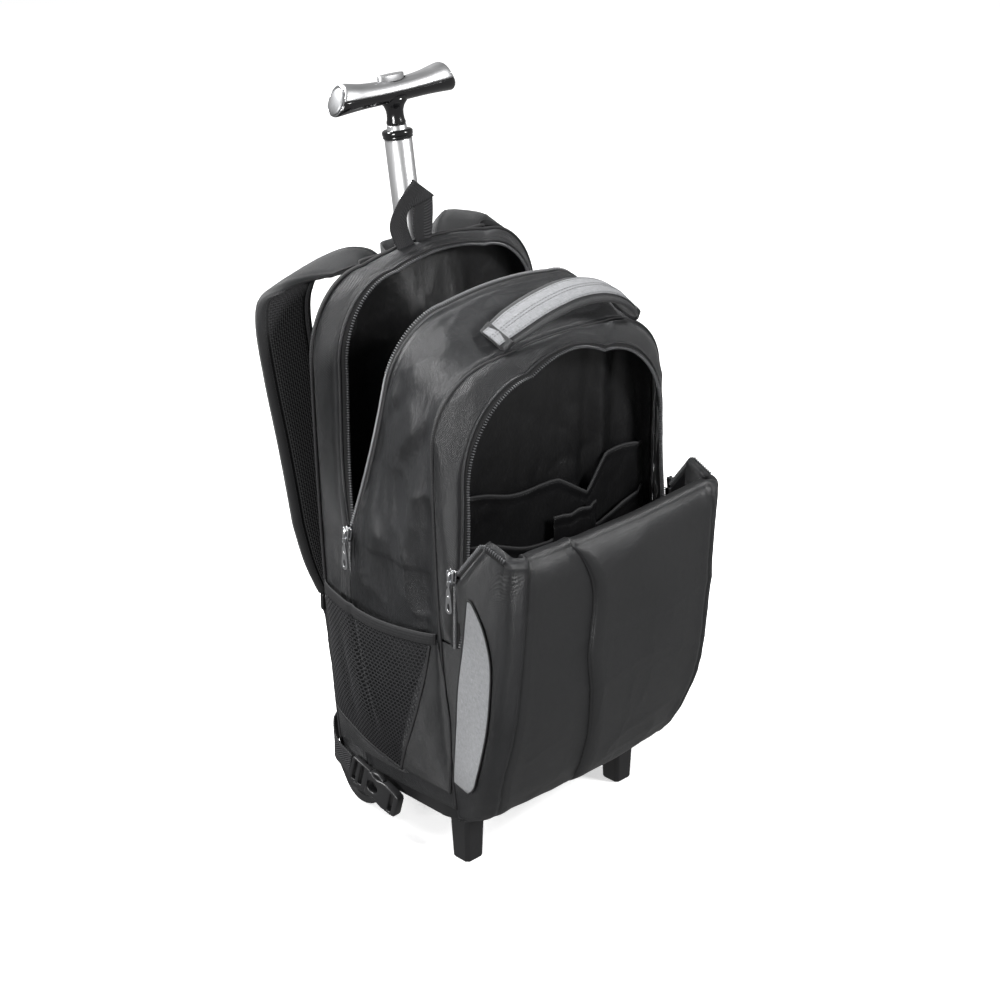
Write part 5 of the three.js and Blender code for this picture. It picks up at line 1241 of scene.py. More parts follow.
def bars_along(name, paths, spacing, size, look, slot, unevenness=0.06, body="bag"):
    """paths are pairs of points and outward directions, in millimetres; spacing and size are in metres."""
    points, outs, edges = [], [], []
    for line, out in paths:
        start = len(points)
        points += place(line).tolist()
        outs.append(np.broadcast_to(unit(out), np.shape(line)))
        edges += [(k, k + 1) for k in range(start, len(points) - 1)]
    mesh = bpy.data.meshes.new(name)
    mesh.from_pydata(points, edges, [])
    layer = mesh.attributes.new("out", "FLOAT_VECTOR", "POINT")
    layer.data.foreach_set("vector", np.concatenate(outs).astype(np.float32).ravel())
    return run_tree(name, row_tree(), mesh, {"Spacing": spacing, "Size": size, "Unevenness": unevenness, "Seed": 7,
                                             "Finish": finish(look)}, slot, body=body)


# Zips


def zip_tape(skin, line, on, out, start, width, thick=0.9):
    """A strip of tape beside a line: it runs on from the line by start, and is width wide."""
    t = np.linspace(start, start + width, 4)
    grid = line[:, None] + on[:, None] * t[None, :, None]
    wall(skin, grid, thick, (0, 0, 1), normals=np.broadcast_to(out[:, None], grid.shape))


def zip_edge_lines():
    """Edges of the open mouth, of the closed stretches and of the front zip, each with its two directions."""
    levels_open = np.linspace(ZIP_END + 4, shoulder(MOUTH_FRONT), 40)
    seam_f, out = ring(FRONT_SEAM, np.linspace(ZIP_END + 4, shoulder(FRONT_SEAM), 40))
    mouth, _ = ring(MOUTH_FRONT, levels_open)
    front = np.stack([mouth[:, 0], mouth_front_y(mouth[:, 1]), mouth[:, 1]], axis=1)
    back = np.stack([seam_f[:, 0], np.full(len(seam_f), BODY_FRONT), seam_f[:, 1]], axis=1)
    seam_r, _ = ring(REAR_SEAM, np.linspace(ZIP_END + 4, shoulder(REAR_SEAM), 40))
    rear_zip, _ = ring(MOUTH_REAR, np.linspace(ZIP_END + 4, shoulder(MOUTH_REAR), 40))
    rear = np.stack([rear_zip[:, 0], mouth_rear_y(rear_zip[:, 1]), rear_zip[:, 1]], axis=1)
    rear_back = np.stack([seam_r[:, 0], np.full(len(seam_r), BODY_BACK), seam_r[:, 1]], axis=1)
    z = np.linspace(FRONT_ZIP_LOW, shoulder(FRONT_SEAM), 46)
    seam_s, out_s = ring(FRONT_SEAM, z)
    zip_f, _ = ring(FRONT_ZIP, np.linspace(FRONT_ZIP_LOW, shoulder(FRONT_ZIP), 46))
    strip = np.stack([zip_f[:, 0], np.full(len(z) * 0 + len(zip_f), FRONT_ZIP_Y), zip_f[:, 1]], axis=1)
    strip_back = np.stack([seam_s[:, 0], np.full(len(seam_s), BODY_FRONT), seam_s[:, 1]], axis=1)
    return {"main_front": (front, unit(front - back), out), "main_rear": (rear, unit(rear - rear_back), out),
            "front": (strip, unit(strip - strip_back), out_s)}


def make_zips():
    look = settings("bag_zip")
    lines = zip_edge_lines()
    tape_width = look.tape * 1000
    tooth = (look.pitch * 0.6, look.width * 1.25, 0.0028)
    teeth = {}
    for name, node in (("main_front", "main_zip_front"), ("main_rear", "main_zip_rear"), ("front", "front_zip")):
        line, on, out = lines[name]
        lift = out * 0.5
        skin = Shape()
        keep = slice(1, len(line) - 1)
        zip_tape(skin, (line + lift - on * 1.2)[keep], on[keep], out[keep], 0, tape_width)
        piece(f"{node}_tape", skin, finish("zip_tape"), "zip", node)
        teeth[name] = (line + lift + on * (tape_width - 0.9) - out * 0.45, out)
        roll = Shape()
        sweep(roll, (line + out * 0.75 - on * 0.9)[1:-1], out[1:-1], oval_section(2.7, 3.3, 12))
        piece(f"{node}_rolled_edge", roll, finish("coated_fabric"), "coated_fabric")
    # The front half of the main zip gets the lighter copy of the teeth as painted light; the rear half and the front
    # zip keep the plain teeth
    bars_along("main_zip_front_teeth", [teeth["main_front"]], look.pitch, (tooth[0], tooth[1], 0.0032),
               "zip_teeth_painted_lit", "zip")
    bars_along("main_zip_rear_teeth", [teeth["main_rear"]], look.pitch, tooth, "zip_teeth", "zip")
    bars_along("front_zip_teeth", [teeth["front"]], look.pitch, tooth, "zip_teeth", "zip")

    # Closed stretches below the sliders, and the toothed edges of the pocket's ears
    closed, ears, tapes = [], [], Shape()
    for side in SIDES.values():
        z = np.linspace(ZIP_FOOT, ZIP_END + 2, 30)
        share = (ZIP_Y - BODY_FRONT) / (BODY_BACK - BODY_FRONT)
        x = mix(arch_half(FRONT_SEAM, z), arch_half(REAR_SEAM, z), share) + 0.9
        x = mix(x, 134.9, smooth((z - ZIP_END + 22) / 22))
        line = np.stack([side * x, np.full(30, ZIP_Y), z], axis=1)
        out = np.tile([side, 0.0, 0.0], (30, 1))
        grid = line[:, None] + np.array([0, 1, 0]) * np.linspace(-4.6, 4.6, 7)[None, :, None]
        wall(tapes, grid, 1.0, (side, 0, 0), normals=np.broadcast_to(out[:, None], grid.shape))
        closed.append((line + out * 0.8, out))
        z = np.linspace(FRONT_ZIP_LOW - 2, FRONT_ZIP_STOP + 4, 20)
        strip_x = np.interp(z, [FRONT_ZIP_LOW, shoulder(FRONT_ZIP)], [136, 131.5]) + 1.1
        line = np.stack([side * strip_x, np.full(20, FRONT_ZIP_Y - 0.4), z], axis=1)
        out = unit(np.tile([side, -0.25, 0.0], (20, 1)))
        across = unit(np.array([side * 0.25, 1, 0]))
        grid = line[:, None] + across * np.linspace(-4.2, 4.2, 7)[None, :, None]
        wall(tapes, grid, 1.0, (side, 0, 0), normals=np.broadcast_to(out[:, None], grid.shape))
        closed.append((line + out * 0.8, out))
        z = np.linspace(FRONT_ZIP_STOP + 6, POCKET_RIM, 14)
        x, y, lifted = pocket_side(z, 0.0)
        up = np.stack([side * x, y, lifted], axis=1)
        x, y, lifted = pocket_side(POCKET_RIM, np.linspace(0, 1, 16)[1:])
        top = np.stack([side * x, y, lifted + 0 * y], axis=1)
        edge = np.concatenate([up, top])
        on = unit(np.concatenate([np.tile([0, 0.85, 0.5], (14, 1)), np.tile([0, 0.1, 1.0], (15, 1))]))
        out = np.tile([side, 0.0, 0.0], (len(edge), 1))
        zip_tape(tapes, edge - out * 0.4, on, out, -0.5, tape_width - 1)
        ears.append((edge + on * (tape_width - 1.6) - out * 0.9, out))
    piece("zip_closed_tapes", tapes, finish("zip_tape"), "zip")
    bars_along("zip_closed_teeth", closed, look.pitch * 0.62, (look.pitch * 0.42, look.width * 1.35, 0.0021),
               "zip_teeth", "zip")
    bars_along("pocket_zip_teeth", ears, look.pitch, tooth, "zip_teeth", "zip")


# Sliders and their pullers, each set in the box of its part
def make_sliders():
    for kind in ("main", "front"):
        for name, side in SIDES.items():
            low, high = (np.array(c) * 1000 - [0, FEET_FRONT * 1000, 0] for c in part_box(f"{kind}_slider_{name}"))
            middle = (low + high) / 2
            out, ahead, up = np.array([side, 0.0, 0.0]), np.array([0, 1.0, 0]), np.array([0, 0, 1.0])
            body = Shape()
            # Shell: two shields with the waist of a slider, joined by a post
            shield = [(-3.2, -6.2), (3.2, -6.2), (3.6, -2.5), (4.4, 3.5), (3.6, 6.2), (1.1, 6.4), (0, 4.6), (-1.1, 6.4),
                      (-3.6, 6.2), (-4.4, 3.5), (-3.6, -2.5)]
            for depth in (-2.5, 1.0):
                points, faces = plate(shield, depth, depth + 1.5, 0.5, basis(ahead, up, out, middle))
                body.add(points, faces)
            post = np.array([middle - out * 1.6 + up * 3.6, middle + out * 1.6 + up * 3.6])
            sweep(body, post, ahead, oval_section(2, 3, 12))
            # Bridge that holds the puller
            arch = np.array([[1.9, -4.6], [3.3, -4.0], [4.2, -1.8], [4.3, 0.6], [3.6, 3.0], [1.9, 4.2]])
            path = middle + out * arch[:, :1] + up * arch[:, 1:]
            sweep(body, curve_through(path, 20), ahead, oval_section(2.6, 1.3, 12, 3))
            piece(f"{kind}_slider_body_{name}", body, finish("chrome"), "slider_metal", f"{kind}_slider_{name}")
            # Puller: a link round the bridge and a tapered tab with an eye
            tab = Shape()
            low, high = (np.array(c) * 1000 - [0, FEET_FRONT * 1000, 0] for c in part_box(f"{kind}_puller_{name}"))
            length = high[2] - low[2]
            top = np.array([(low[0] + high[0]) / 2, (low[1] + high[1]) / 2, high[2]])
            turn = np.linspace(-0.5 * math.pi, 0.5 * math.pi, 12)
            head = [(1.9, -9), *[(2.6 * math.cos(a), -3.2 + 3.0 * math.sin(a)) for a in turn], (-1.9, -9)]
            turn = np.linspace(math.pi, 2 * math.pi, 16)
            foot = [(3.9 * math.cos(a), -length + 3.9 + 3.9 * math.sin(a)) for a in turn]
            outline = [*head, (-2.7, -12), *foot, (2.7, -12)]
            turn = np.linspace(0, 2 * math.pi, 20, endpoint=False)
            eye = [(1.55 * math.cos(a), -length + 6.6 + 3.6 * math.sin(a)) for a in turn]
            ring_hole = [(1.25 * math.cos(a), -3.6 + 1.9 * math.sin(a)) for a in turn]
            points, faces = plate(outline, -0.8, 0.8, 0.45, basis(ahead, up, out, top), (eye, ring_hole))
            tab.add(points, faces)
            points, faces = plate([(-1.5, -14.5), (1.5, -14.5), (1.8, -20.5), (-1.8, -20.5)], 0.6, 1.15, 0.25,
                                  basis(ahead, up, out, top))
            tab.add(points, faces)
            piece(f"{kind}_puller_tab_{name}", tab, finish("chrome"), "slider_metal", f"{kind}_puller_{name}")


# Carry handle


HANDLE_LINE = [(-63, 9, 496.4), (-35, 1, 511.8), (-8.4, -2, 519.3), (25.2, -4, 522.3), (51.8, -5, 517.7),
               (72.8, -5, 507.5), (88.2, -3, 493.9), (95.2, 2, 487.3)]


def make_handle():
    path = curve_through(HANDLE_LINE, 90)
    across = unit([0, 1, 0.35])
    up = unit(np.cross(unit(np.gradient(path, axis=0)), across))
    up *= np.sign(up[len(up) // 2, 2])
    t = np.linspace(0, 1, 90)
    squeeze = mix(0.84, 1, smooth(np.minimum(t, 1 - t) / 0.16))
    section = oval_section(38, 10, 40, 2.6)
    section[:, 1] *= np.where(section[:, 1] < 0, 0.9, 1.06 - 0.02 * np.abs(section[:, 0]))
    sections = np.repeat(section[None], 90, axis=0)
    fold = 0.35 * ripple(np.stack([path[:, 0], path[:, 1], path[:, 2]], axis=1), (9, 20, 20), 81)
    sections = sections * (1 + 0.05 * fold[:, None, None])
    seam = bell(np.abs(sections[..., 0]) - 13.4, 1.1) * (sections[..., 1] > 0)
    sections[..., 1] -= 0.9 * seam
    sizes = np.stack([squeeze, mix(0.8, 1, smooth(np.minimum(t, 1 - t) / 0.1))], axis=1)
    pad = Shape()
    sweep(pad, path, across, sections, sizes=sizes, up=up)
    padded = piece("carry_handle_pad", pad, finish("padded_cover"), "padding", "carry_handle")
    # Grey band along the top
    cols = np.linspace(-12.6, 12.6, 19)
    lift = np.interp(np.abs(cols), [0, 12.6], [5.9, 4.6])
    lift = lift - 0.45 * bell(np.abs(cols) - 1.6, 0.5) - 0.35 * bell(np.abs(cols) - 11.2, 0.6)
    grid = path[:, None] + across * (cols[None, :, None] * squeeze[:, None, None]) + up[:, None] * lift[None, :, None]
    band = Shape()
    wall(band, grid, 1.0, (0, 0, 1), normals=np.broadcast_to(up[:, None], grid.shape))
    piece("carry_handle_band", band, finish("grey_fabric"), "grey_fabric", "handle_band")
    sew = settings("bag_stitch")
    rows = [(path + across * c * squeeze[:, None] + up * (float(np.interp(abs(c), [0, 12.6], [5.9, 4.6])) - 0.05), up)
            for c in (-1.6, 1.6, -11.2, 11.2)]
    bars_along("carry_handle_stitches", rows, sew.length, (sew.length * 0.74, sew.thread, 0.0006), "grey_thread",
               "grey_fabric", 0.08)
    # End tabs sewn down to the body
    ends = Shape()
    for at, ahead in ((path[2], -1), (path[-3], 1)):
        turn = unit(np.gradient(path, axis=0))[2 if ahead < 0 else -3] * ahead
        out = up[2 if ahead < 0 else -3]
        line = at + turn * np.linspace(-7, 3.6, 12)[:, None] + out * np.linspace(2.4, -1.5, 12)[:, None]
        sweep(ends, line, across, oval_section(33, 8, 24, 3.2))
    piece("carry_handle_ends", ends, finish("coated_fabric"), "padding")


# Hanging loop: webbing folded over itself. Its two edges on each leg, across and up from its foot

LOOP_LEGS = [
    ([(-36, 0), (-44, 25), (-34, 45), (-17, 61)], [(-15.5, 0), (-20, 9), (-24, 32), (7, 42)]),
    ([(-11, 0), (-15.2, 9), (-16, 36), (-17, 61)], [(3, 0), (5, 9), (7, 28), (7, 42)]),
]


def make_loop():
    foot, middle_y = REAR_TOP - 3, BODY_BACK - 3.8
    (left_a, left_b), (right_a, right_b) = [[curve_through(e, 40) for e in leg] for leg in LOOP_LEGS]
    across = np.linspace(0, 1, 12)[None, :, None]
    front = mix(left_a[:, None], left_b[:, None], across)
    behind = mix(right_a[:, None], right_b[:, None], across)
    rows = [np.stack([r[:, 0], np.full(12, middle_y - 1.2 + 0.8 * math.sin(k / 7)), foot + r[:, 1]], axis=1)
            for k, r in enumerate(front)]
    crest = rows[-1]
    out = unit(np.array([19.0, 0, 24.0]))
    for turn in np.linspace(0, math.pi, 9)[1:-1]:
        rows.append(crest + out * 1.2 * math.sin(turn) + np.array([0, 1.2 * (1 - math.cos(turn)), 0]))
    rows += [np.stack([r[:, 0], np.full(12, middle_y + 1.2), foot + r[:, 1]], axis=1) for r in behind[::-1]]
    skin = Shape()
    wall(skin, np.array(rows), 1.5, (0, -1, 0))
    piece("hanging_loop_webbing", skin, finish("webbing"), "webbing", "hanging_loop")


# Shoulder straps: place out, stand-off, height on the left and on the right, as shares

STRAP_ROWS = np.array([
    (0.43, 0.38, 0.963, 0.972), (0.5, 0.5, 0.972, 0.987), (0.62, 0.66, 0.974, 0.988), (0.77, 0.8, 0.964, 0.966),
    (0.9, 0.87, 0.942, 0.925), (0.945, 0.85, 0.895, 0.87), (0.915, 0.79, 0.8, 0.79), (0.84, 0.76, 0.676, 0.676),
    (0.785, 0.7, 0.556, 0.556), (0.76, 0.61, 0.463, 0.463), (0.715, 0.54, 0.394, 0.394)])
STRAP_SECTION = np.array([
    (-30, -1), (-29.4, 2.6), (-27, 4.6), (-25.4, 4.3), (-23, 5.2), (-15, 6), (-7, 6.2), (0, 6.3), (7, 6.2), (15, 6),
    (23, 5.2), (25.4, 4.3), (27, 4.6), (29.4, 2.6), (30, -1), (29.3, -3.6), (27, -5.1), (24, -5.6), (22, -5.2),
    (21.2, -4), (20.2, -5), (17, -5.8), (9, -6.1), (0, -6.2), (-9, -6.1), (-17, -5.8), (-20.2, -5), (-21.2, -4),
    (-22, -5.2), (-24, -5.6), (-27, -5.1), (-29.3, -3.6)])


def strap_route(side, count):
    t = np.linspace(0, 1, count)
    rows = np.stack([through(np.c_[np.linspace(0, 1, len(STRAP_ROWS)), STRAP_ROWS], t, k + 1) for k in range(4)], axis=1)
    path = np.stack([side * rows[:, 0] * REAR_HALF, 169 + 46 * rows[:, 1], rows[:, 2 if side < 0 else 3] * REAR_TOP], axis=1)
    across = unit(np.stack([np.ones(count), np.zeros(count), side * -0.3 * np.sin(math.pi * np.minimum(t * 2.4, 1))], axis=1))
    up = unit(np.cross(np.gradient(path, axis=0), across))
    up *= np.where(up[count // 2, 1] < 0, -1, 1)
    return t, path, across, up


def make_straps():
    sew = settings("bag_stitch")
    for name, side in SIDES.items():
        t, path, across, up = strap_route(side, 150)
        width = np.where(t < 0.82, 1.0, mix(1.0, 34 / 60, (t - 0.82) / 0.18))
        ends = smooth(np.minimum(t, 1 - t) / 0.015) * 0.35 + 0.65
        sections = np.repeat(STRAP_SECTION[None], 150, axis=0)
        deep = np.abs(sections[..., 0]) < 21
        quilt = 0.5 * ripple(path, (30, 30, 34), 91 + side)[:, None]
        sections[..., 1] = sections[..., 1] * np.where(deep, 1 + 0.06 * quilt, 1.0)
        kinds = [1 if STRAP_SECTION[k, 1] < -4.9 and abs(STRAP_SECTION[k, 0]) < 20.5 and abs(STRAP_SECTION[(k + 1) % 32, 0]) < 20.5
                 else 2 if 14 <= k <= 31 else 0 for k in range(32)]
        skin = Shape()
        sweep(skin, path, across, sections, kinds, np.stack([width, ends], axis=1), up=up)
        pad = piece(f"shoulder_strap_pad_{name}", skin, [finish("padded_cover"), finish("air_mesh"), finish("air_edge")],
                    "padding", f"shoulder_strap_{name}")
        rows = [(path[3:-3] + across[3:-3] * (c * width[3:-3, None]) + up[3:-3] * (h * ends[3:-3, None]), up[3:-3] * np.sign(h))
                for c, h in ((-25.4, 4.4), (25.4, 4.4), (-24.2, -5.7), (24.2, -5.7))]
        bars_along(f"shoulder_strap_stitches_{name}", rows, sew.length, (sew.length * 0.72, sew.thread, 0.0005),
                   "black_thread", "padding")
        # Webbing sewn along the lower end, box stitched
        low = slice(112, 150)
        strip = Shape()
        grid = path[low][:, None] + across[low][:, None] * np.linspace(-11, 11, 9)[None, :, None] + up[low][:, None] * 7.9
        wall(strip, grid, 1.5, (0, 1, 0))
        piece(f"strap_end_webbing_{name}", strip, finish("webbing"), "webbing")
        box = [path[low] + across[low] * c + up[low] * 8.0 for c in (-9, 9)]
        outs = up[low]
        cross = [np.array([mix(box[0][a], box[1][a], s) for s in np.linspace(0, 1, 8)]) for a in (3, 16)]
        pairs = [(b, outs) for b in box] + [(c, np.tile(outs[8], (8, 1))) for c in cross]
        pairs.append((np.array([mix(box[0][3], box[1][16], s) for s in np.linspace(0, 1, 12)]), np.tile(outs[8], (12, 1))))
        pairs.append((np.array([mix(box[1][3], box[0][16], s) for s in np.linspace(0, 1, 12)]), np.tile(outs[8], (12, 1))))
        bars_along(f"strap_end_stitches_{name}", pairs, sew.length * 0.8, (sew.length * 0.6, sew.thread, 0.0005),
                   "black_thread", "webbing")
        make_strap_fittings(name, side, path[-1])


def rounded_rect(half, low, high, corner, steps=6):
    points = []
    for cx, cy, start in ((half - corner, low + corner, -0.5), (half - corner, high - corner, 0), (corner - half, high - corner, 0.5), (corner - half, low + corner, 1)):
        for a in np.linspace(start * math.pi, (start + 0.5) * math.pi, steps):
            points.append((cx + corner * math.cos(a), cy + corner * math.sin(a)))
    return points


def make_strap_fittings(name, side, tip):
    flat = oval_section(22, 1.8, 20, 7)
    middle = tip - [0, 0, 9.7]
    ladder = basis((1, 0, 0), (0, 0, 1), (0, -1, 0), middle)
    slots = [rounded_rect(12, y - 1.6, y + 1.6, 0.8, 3) for y in (-4, 4)]
    skin = Shape()
    skin.add(*plate(rounded_rect(15, -9, 9, 3), -2, 2, 0.9, ladder, slots))
    lip = np.array([[x, 0, -8.2] for x in np.linspace(-13, 13, 20)]) + middle + [0, 2.2, 0]
    sweep(skin, lip, (0, 1, 0), oval_section(3, 2.6, 12, 3))
    piece(f"strap_adjuster_ladder_{name}", skin, finish("black_plastic"), "black_plastic", f"strap_adjuster_{name}")

    top = tip[2] - 19.05
    side_x, buckle_y = side * (LOW_HALF + 8), AXLE_Y - 16
    route = curve_through([
        (tip[0], tip[1], top + 6), (tip[0], tip[1] - 5, mix(top, BASE_Z, 0.35)),
        (tip[0] - side, BODY_BACK + 17, mix(top, BASE_Z, 0.65)),
        (mix(tip[0], side_x, 0.55), BODY_BACK + 14, BASE_Z + 34), (side_x, BODY_BACK + 2, BASE_Z + 22),
        (side_x + side * 3, buckle_y + 1.7, BASE_Z + 12)], 110)
    t = np.linspace(0, 1, 110)
    turn = np.clip(t * 3 - 1.6, 0, 1)[:, None]
    across = unit(mix(np.array([1.0, 0, 0]), np.array([0, -0.2 * side, side]), turn))
    skin = Shape()
    sweep(skin, route, across, flat)
    piece(f"lower_webbing_strap_{name}", skin, finish("webbing"), "webbing", f"lower_webbing_{name}")
    y = tip[1] + 2 + 0.9 + 0.35
    route = curve_through([(tip[0], y, top + 11), (tip[0], y + 0.2, top), (tip[0] - side * 6, y + 5, top - 12),
                           (tip[0] - side * 10, y + 8, top - 28), (tip[0] - side * 11, y + 6, top - 46)], 60)
    skin = Shape()
    sweep(skin, route, (1, 0, 0), flat)
    sweep(skin, route[-7:] + [0, 0.9, 0], (1, 0, 0), oval_section(22.4, 2.6, 20, 6))
    piece(f"webbing_tail_strap_{name}", skin, finish("webbing"), "webbing", f"webbing_tail_{name}")

    # Side release buckle: length forwards and a little down
    along = unit([side * -0.04, -0.95, -0.3])
    thick = unit(np.array([1.0, 0, 0]) - along * along[0])
    wide = np.cross(thick, along)
    lie = basis(along, wide, thick, (side_x + side * 3, buckle_y, BASE_Z + 12))
    turn = np.linspace(0, 2 * math.pi, 24, endpoint=False)
    eye = [(32 + 7 * math.cos(a), 6.2 * math.sin(a)) for a in turn]
    latch = Shape()
    latch.add(*plate(rounded_rect_at(0, 25, 13.5, 2.5), -2.6, 2.6, 1.1, lie, [rounded_rect_at(4, 8.4, 11.5, 1.2),
                                                                             rounded_rect_at(12.5, 17, 11.5, 1.2)]))
    body = [(23.5, -12.6), (27, -14.4), (31, -12.2), (36, -11.4), (42, -13.6), (47, -14.4), (60, -13.4), (64.5, -12), (66, -9),
            (66, 9), (64.5, 12), (60, 13.4), (47, 14.4), (42, 13.6), (36, 11.4), (31, 12.2), (27, 14.4), (23.5, 12.6)]
    latch.add(*plate(body, -4.4, 4.4, 1.5, lie, [eye, rounded_rect_at(55, 59.6, 10.5, 1.4)], 3))
    for edge in (-1, 1):
        bar = np.array([(26, edge * 11.8), (31, edge * 14.2), (37, edge * 14.6), (42, edge * 13.2)])
        line = curve_through(np.c_[bar, 0 * bar[:, 0]], 16)
        sweep(latch, line @ lie[:3, :3].T + lie[:3, 3], thick, oval_section(5, 3, 12, 2.6))
    for x in (12.6, 19.6):
        line = np.array([[x, y, 2.5] for y in np.linspace(-11, 11, 12)])
        sweep(latch, line @ lie[:3, :3].T + lie[:3, 3], along, oval_section(1.6, 1.6, 10))
    piece(f"release_buckle_body_{name}", latch, finish("black_plastic"), "black_plastic", f"release_buckle_{name}")


def rounded_rect_at(x0, x1, half, corner):
    middle = (x0 + x1) / 2
    corner = min(corner, (x1 - x0) / 2 - 0.1)
    return [(middle + x, y) for x, y in [(p[1], p[0]) for p in rounded_rect(half, (x0 - x1) / 2, (x1 - x0) / 2, corner, 5)]][::-1]


# Side pockets of net


NET_ROWS = [(0, 0), (0.12, 0.35), (0.35, 0.9), (0.6, 1), (0.85, 0.92), (1, 0.85)]
# Pleats of the net: from (run, height share) to (run, height share), width and depth in millimetres
PLEATS = [((0.66, 0.97), (0.52, 0.3), 4.2, 6.5), ((0.6, 0.9), (0.47, 0.35), 5.5, -3), ((0.8, 0.8), (0.72, 0.25), 6, 2.4),
          ((0.36, 0.25), (0.42, 0.02), 4, 3)]
POCKET_FOOT, POCKET_TOP = 78.0, 238.0


def pocket_place(run, z):
    """A point of the left side pocket, before it is set on its side: run is the share of the bag's depth."""
    rise = np.clip((z - POCKET_FOOT) / (POCKET_TOP - POCKET_FOOT), 0, 1)
    swell = through(NET_ROWS, rise)
    t = np.clip((run - 0.02) / 0.96, 0, 1)
    x = (mix(arch_half(FRONT_SEAM, z), arch_half(REAR_SEAM, z), run) + SIDE_CROWN * np.sin(math.pi * run) + 2.6
         + 12 * swell * np.maximum(np.sin(math.pi * t), 0) ** 0.6)
    y = mix(BODY_FRONT, BODY_BACK, run)
    for (r0, h0), (r1, h1), width, deep in PLEATS:
        start = np.array([r0 * 158, h0 * 160])
        line = np.array([(r1 - r0) * 158, (h1 - h0) * 160])
        rel = np.stack([run * 158, rise * 160], axis=-1) - start
        s = np.clip((rel @ line) / (line @ line), 0, 1)
        away = np.linalg.norm(rel - s[..., None] * line, axis=-1)
        x = x - deep * bell(away, width) * np.sin(math.pi * (0.12 + 0.8 * s)) * swell
    points = np.stack([x, y, z + 4 * swell * (2 * t - 1) ** 2], axis=-1)
    points[..., 0] += 0.7 * swell * ripple(points, (30, 20, 24), 97)
    return points


def patch_of(corners, a, b):
    """Place in the pocket from four corners (run, height): low rear, low front, high front, high rear."""
    (r0, z0), (r1, z1), (r2, z2), (r3, z3) = corners
    bend = 0.05 * np.sin(math.pi * b) * a
    run = mix(mix(r0, r1, a), mix(r3, r2, a), b) - bend
    return pocket_place(run, mix(mix(z0, z1, a), mix(z3, z2, a), b))


NET = ((0.97, 112), (0.4, 84), (0.055, 231), (0.975, 233))
PLAIN = [((0.4, 84), (0.02, 79), (0.02, 237), (0.055, 231)), ((0.97, 79), (0.4, 79), (0.4, 84), (0.97, 112))]


def net_tree():
    """Node tree that turns a triangle lattice into a net: its dual cells, each with a hole, made into a thin plate."""
    if "net of holes" in bpy.data.node_groups:
        return bpy.data.node_groups["net of holes"]
    tree = bpy.data.node_groups.new("net of holes", "GeometryNodeTree")
    face = tree.interface
    face.new_socket("Geometry", in_out="INPUT", socket_type="NodeSocketGeometry")
    for name, kind in (("Opening", "Float"), ("Thickness", "Float"), ("Finish", "Material")):
        face.new_socket(name, in_out="INPUT", socket_type=f"NodeSocket{kind}")
    face.new_socket("Geometry", in_out="OUTPUT", socket_type="NodeSocketGeometry")
    new, link = tree.nodes.new, tree.links.new
    given, result = new("NodeGroupInput"), new("NodeGroupOutput")
    cells, inset, shrink, holes = (new("GeometryNodeDualMesh"), new("GeometryNodeExtrudeMesh"), new("GeometryNodeScaleElements"),
                                   new("GeometryNodeDeleteGeometry"))
    cells.inputs["Keep Boundaries"].default_value = True
    inset.mode, inset.inputs["Individual"].default_value, inset.inputs["Offset Scale"].default_value = "FACES", True, 0.0
    shrink.domain, holes.domain = "FACE", "FACE"
    link(given.outputs["Geometry"], cells.inputs["Mesh"])
    link(cells.outputs["Dual Mesh"], inset.inputs["Mesh"])
    link(inset.outputs["Mesh"], shrink.inputs["Geometry"])
    link(inset.outputs["Top"], shrink.inputs["Selection"])
    link(given.outputs["Opening"], shrink.inputs["Scale"])
    link(shrink.outputs["Geometry"], holes.inputs["Geometry"])
    link(inset.outputs["Top"], holes.inputs["Selection"])
    thick, back, both, weld = (new("GeometryNodeExtrudeMesh"), new("GeometryNodeFlipFaces"), new("GeometryNodeJoinGeometry"),
                               new("GeometryNodeMergeByDistance"))
    thick.mode, thick.inputs["Individual"].default_value = "FACES", False
    link(holes.outputs["Geometry"], thick.inputs["Mesh"])
    link(given.outputs["Thickness"], thick.inputs["Offset Scale"])
    link(holes.outputs["Geometry"], back.inputs["Mesh"])
    link(thick.outputs["Mesh"], both.inputs["Geometry"])
    link(back.outputs["Mesh"], both.inputs["Geometry"])
    link(both.outputs["Geometry"], weld.inputs["Geometry"])
    weld.inputs["Distance"].default_value = 0.00001
    real, paint = new("GeometryNodeRealizeInstances"), new("GeometryNodeSetMaterial")
    link(weld.outputs["Geometry"], real.inputs["Geometry"])
    link(real.outputs["Geometry"], paint.inputs["Geometry"])
    link(given.outputs["Finish"], paint.inputs["Material"])
    link(paint.outputs["Geometry"], result.inputs["Geometry"])
    return tree


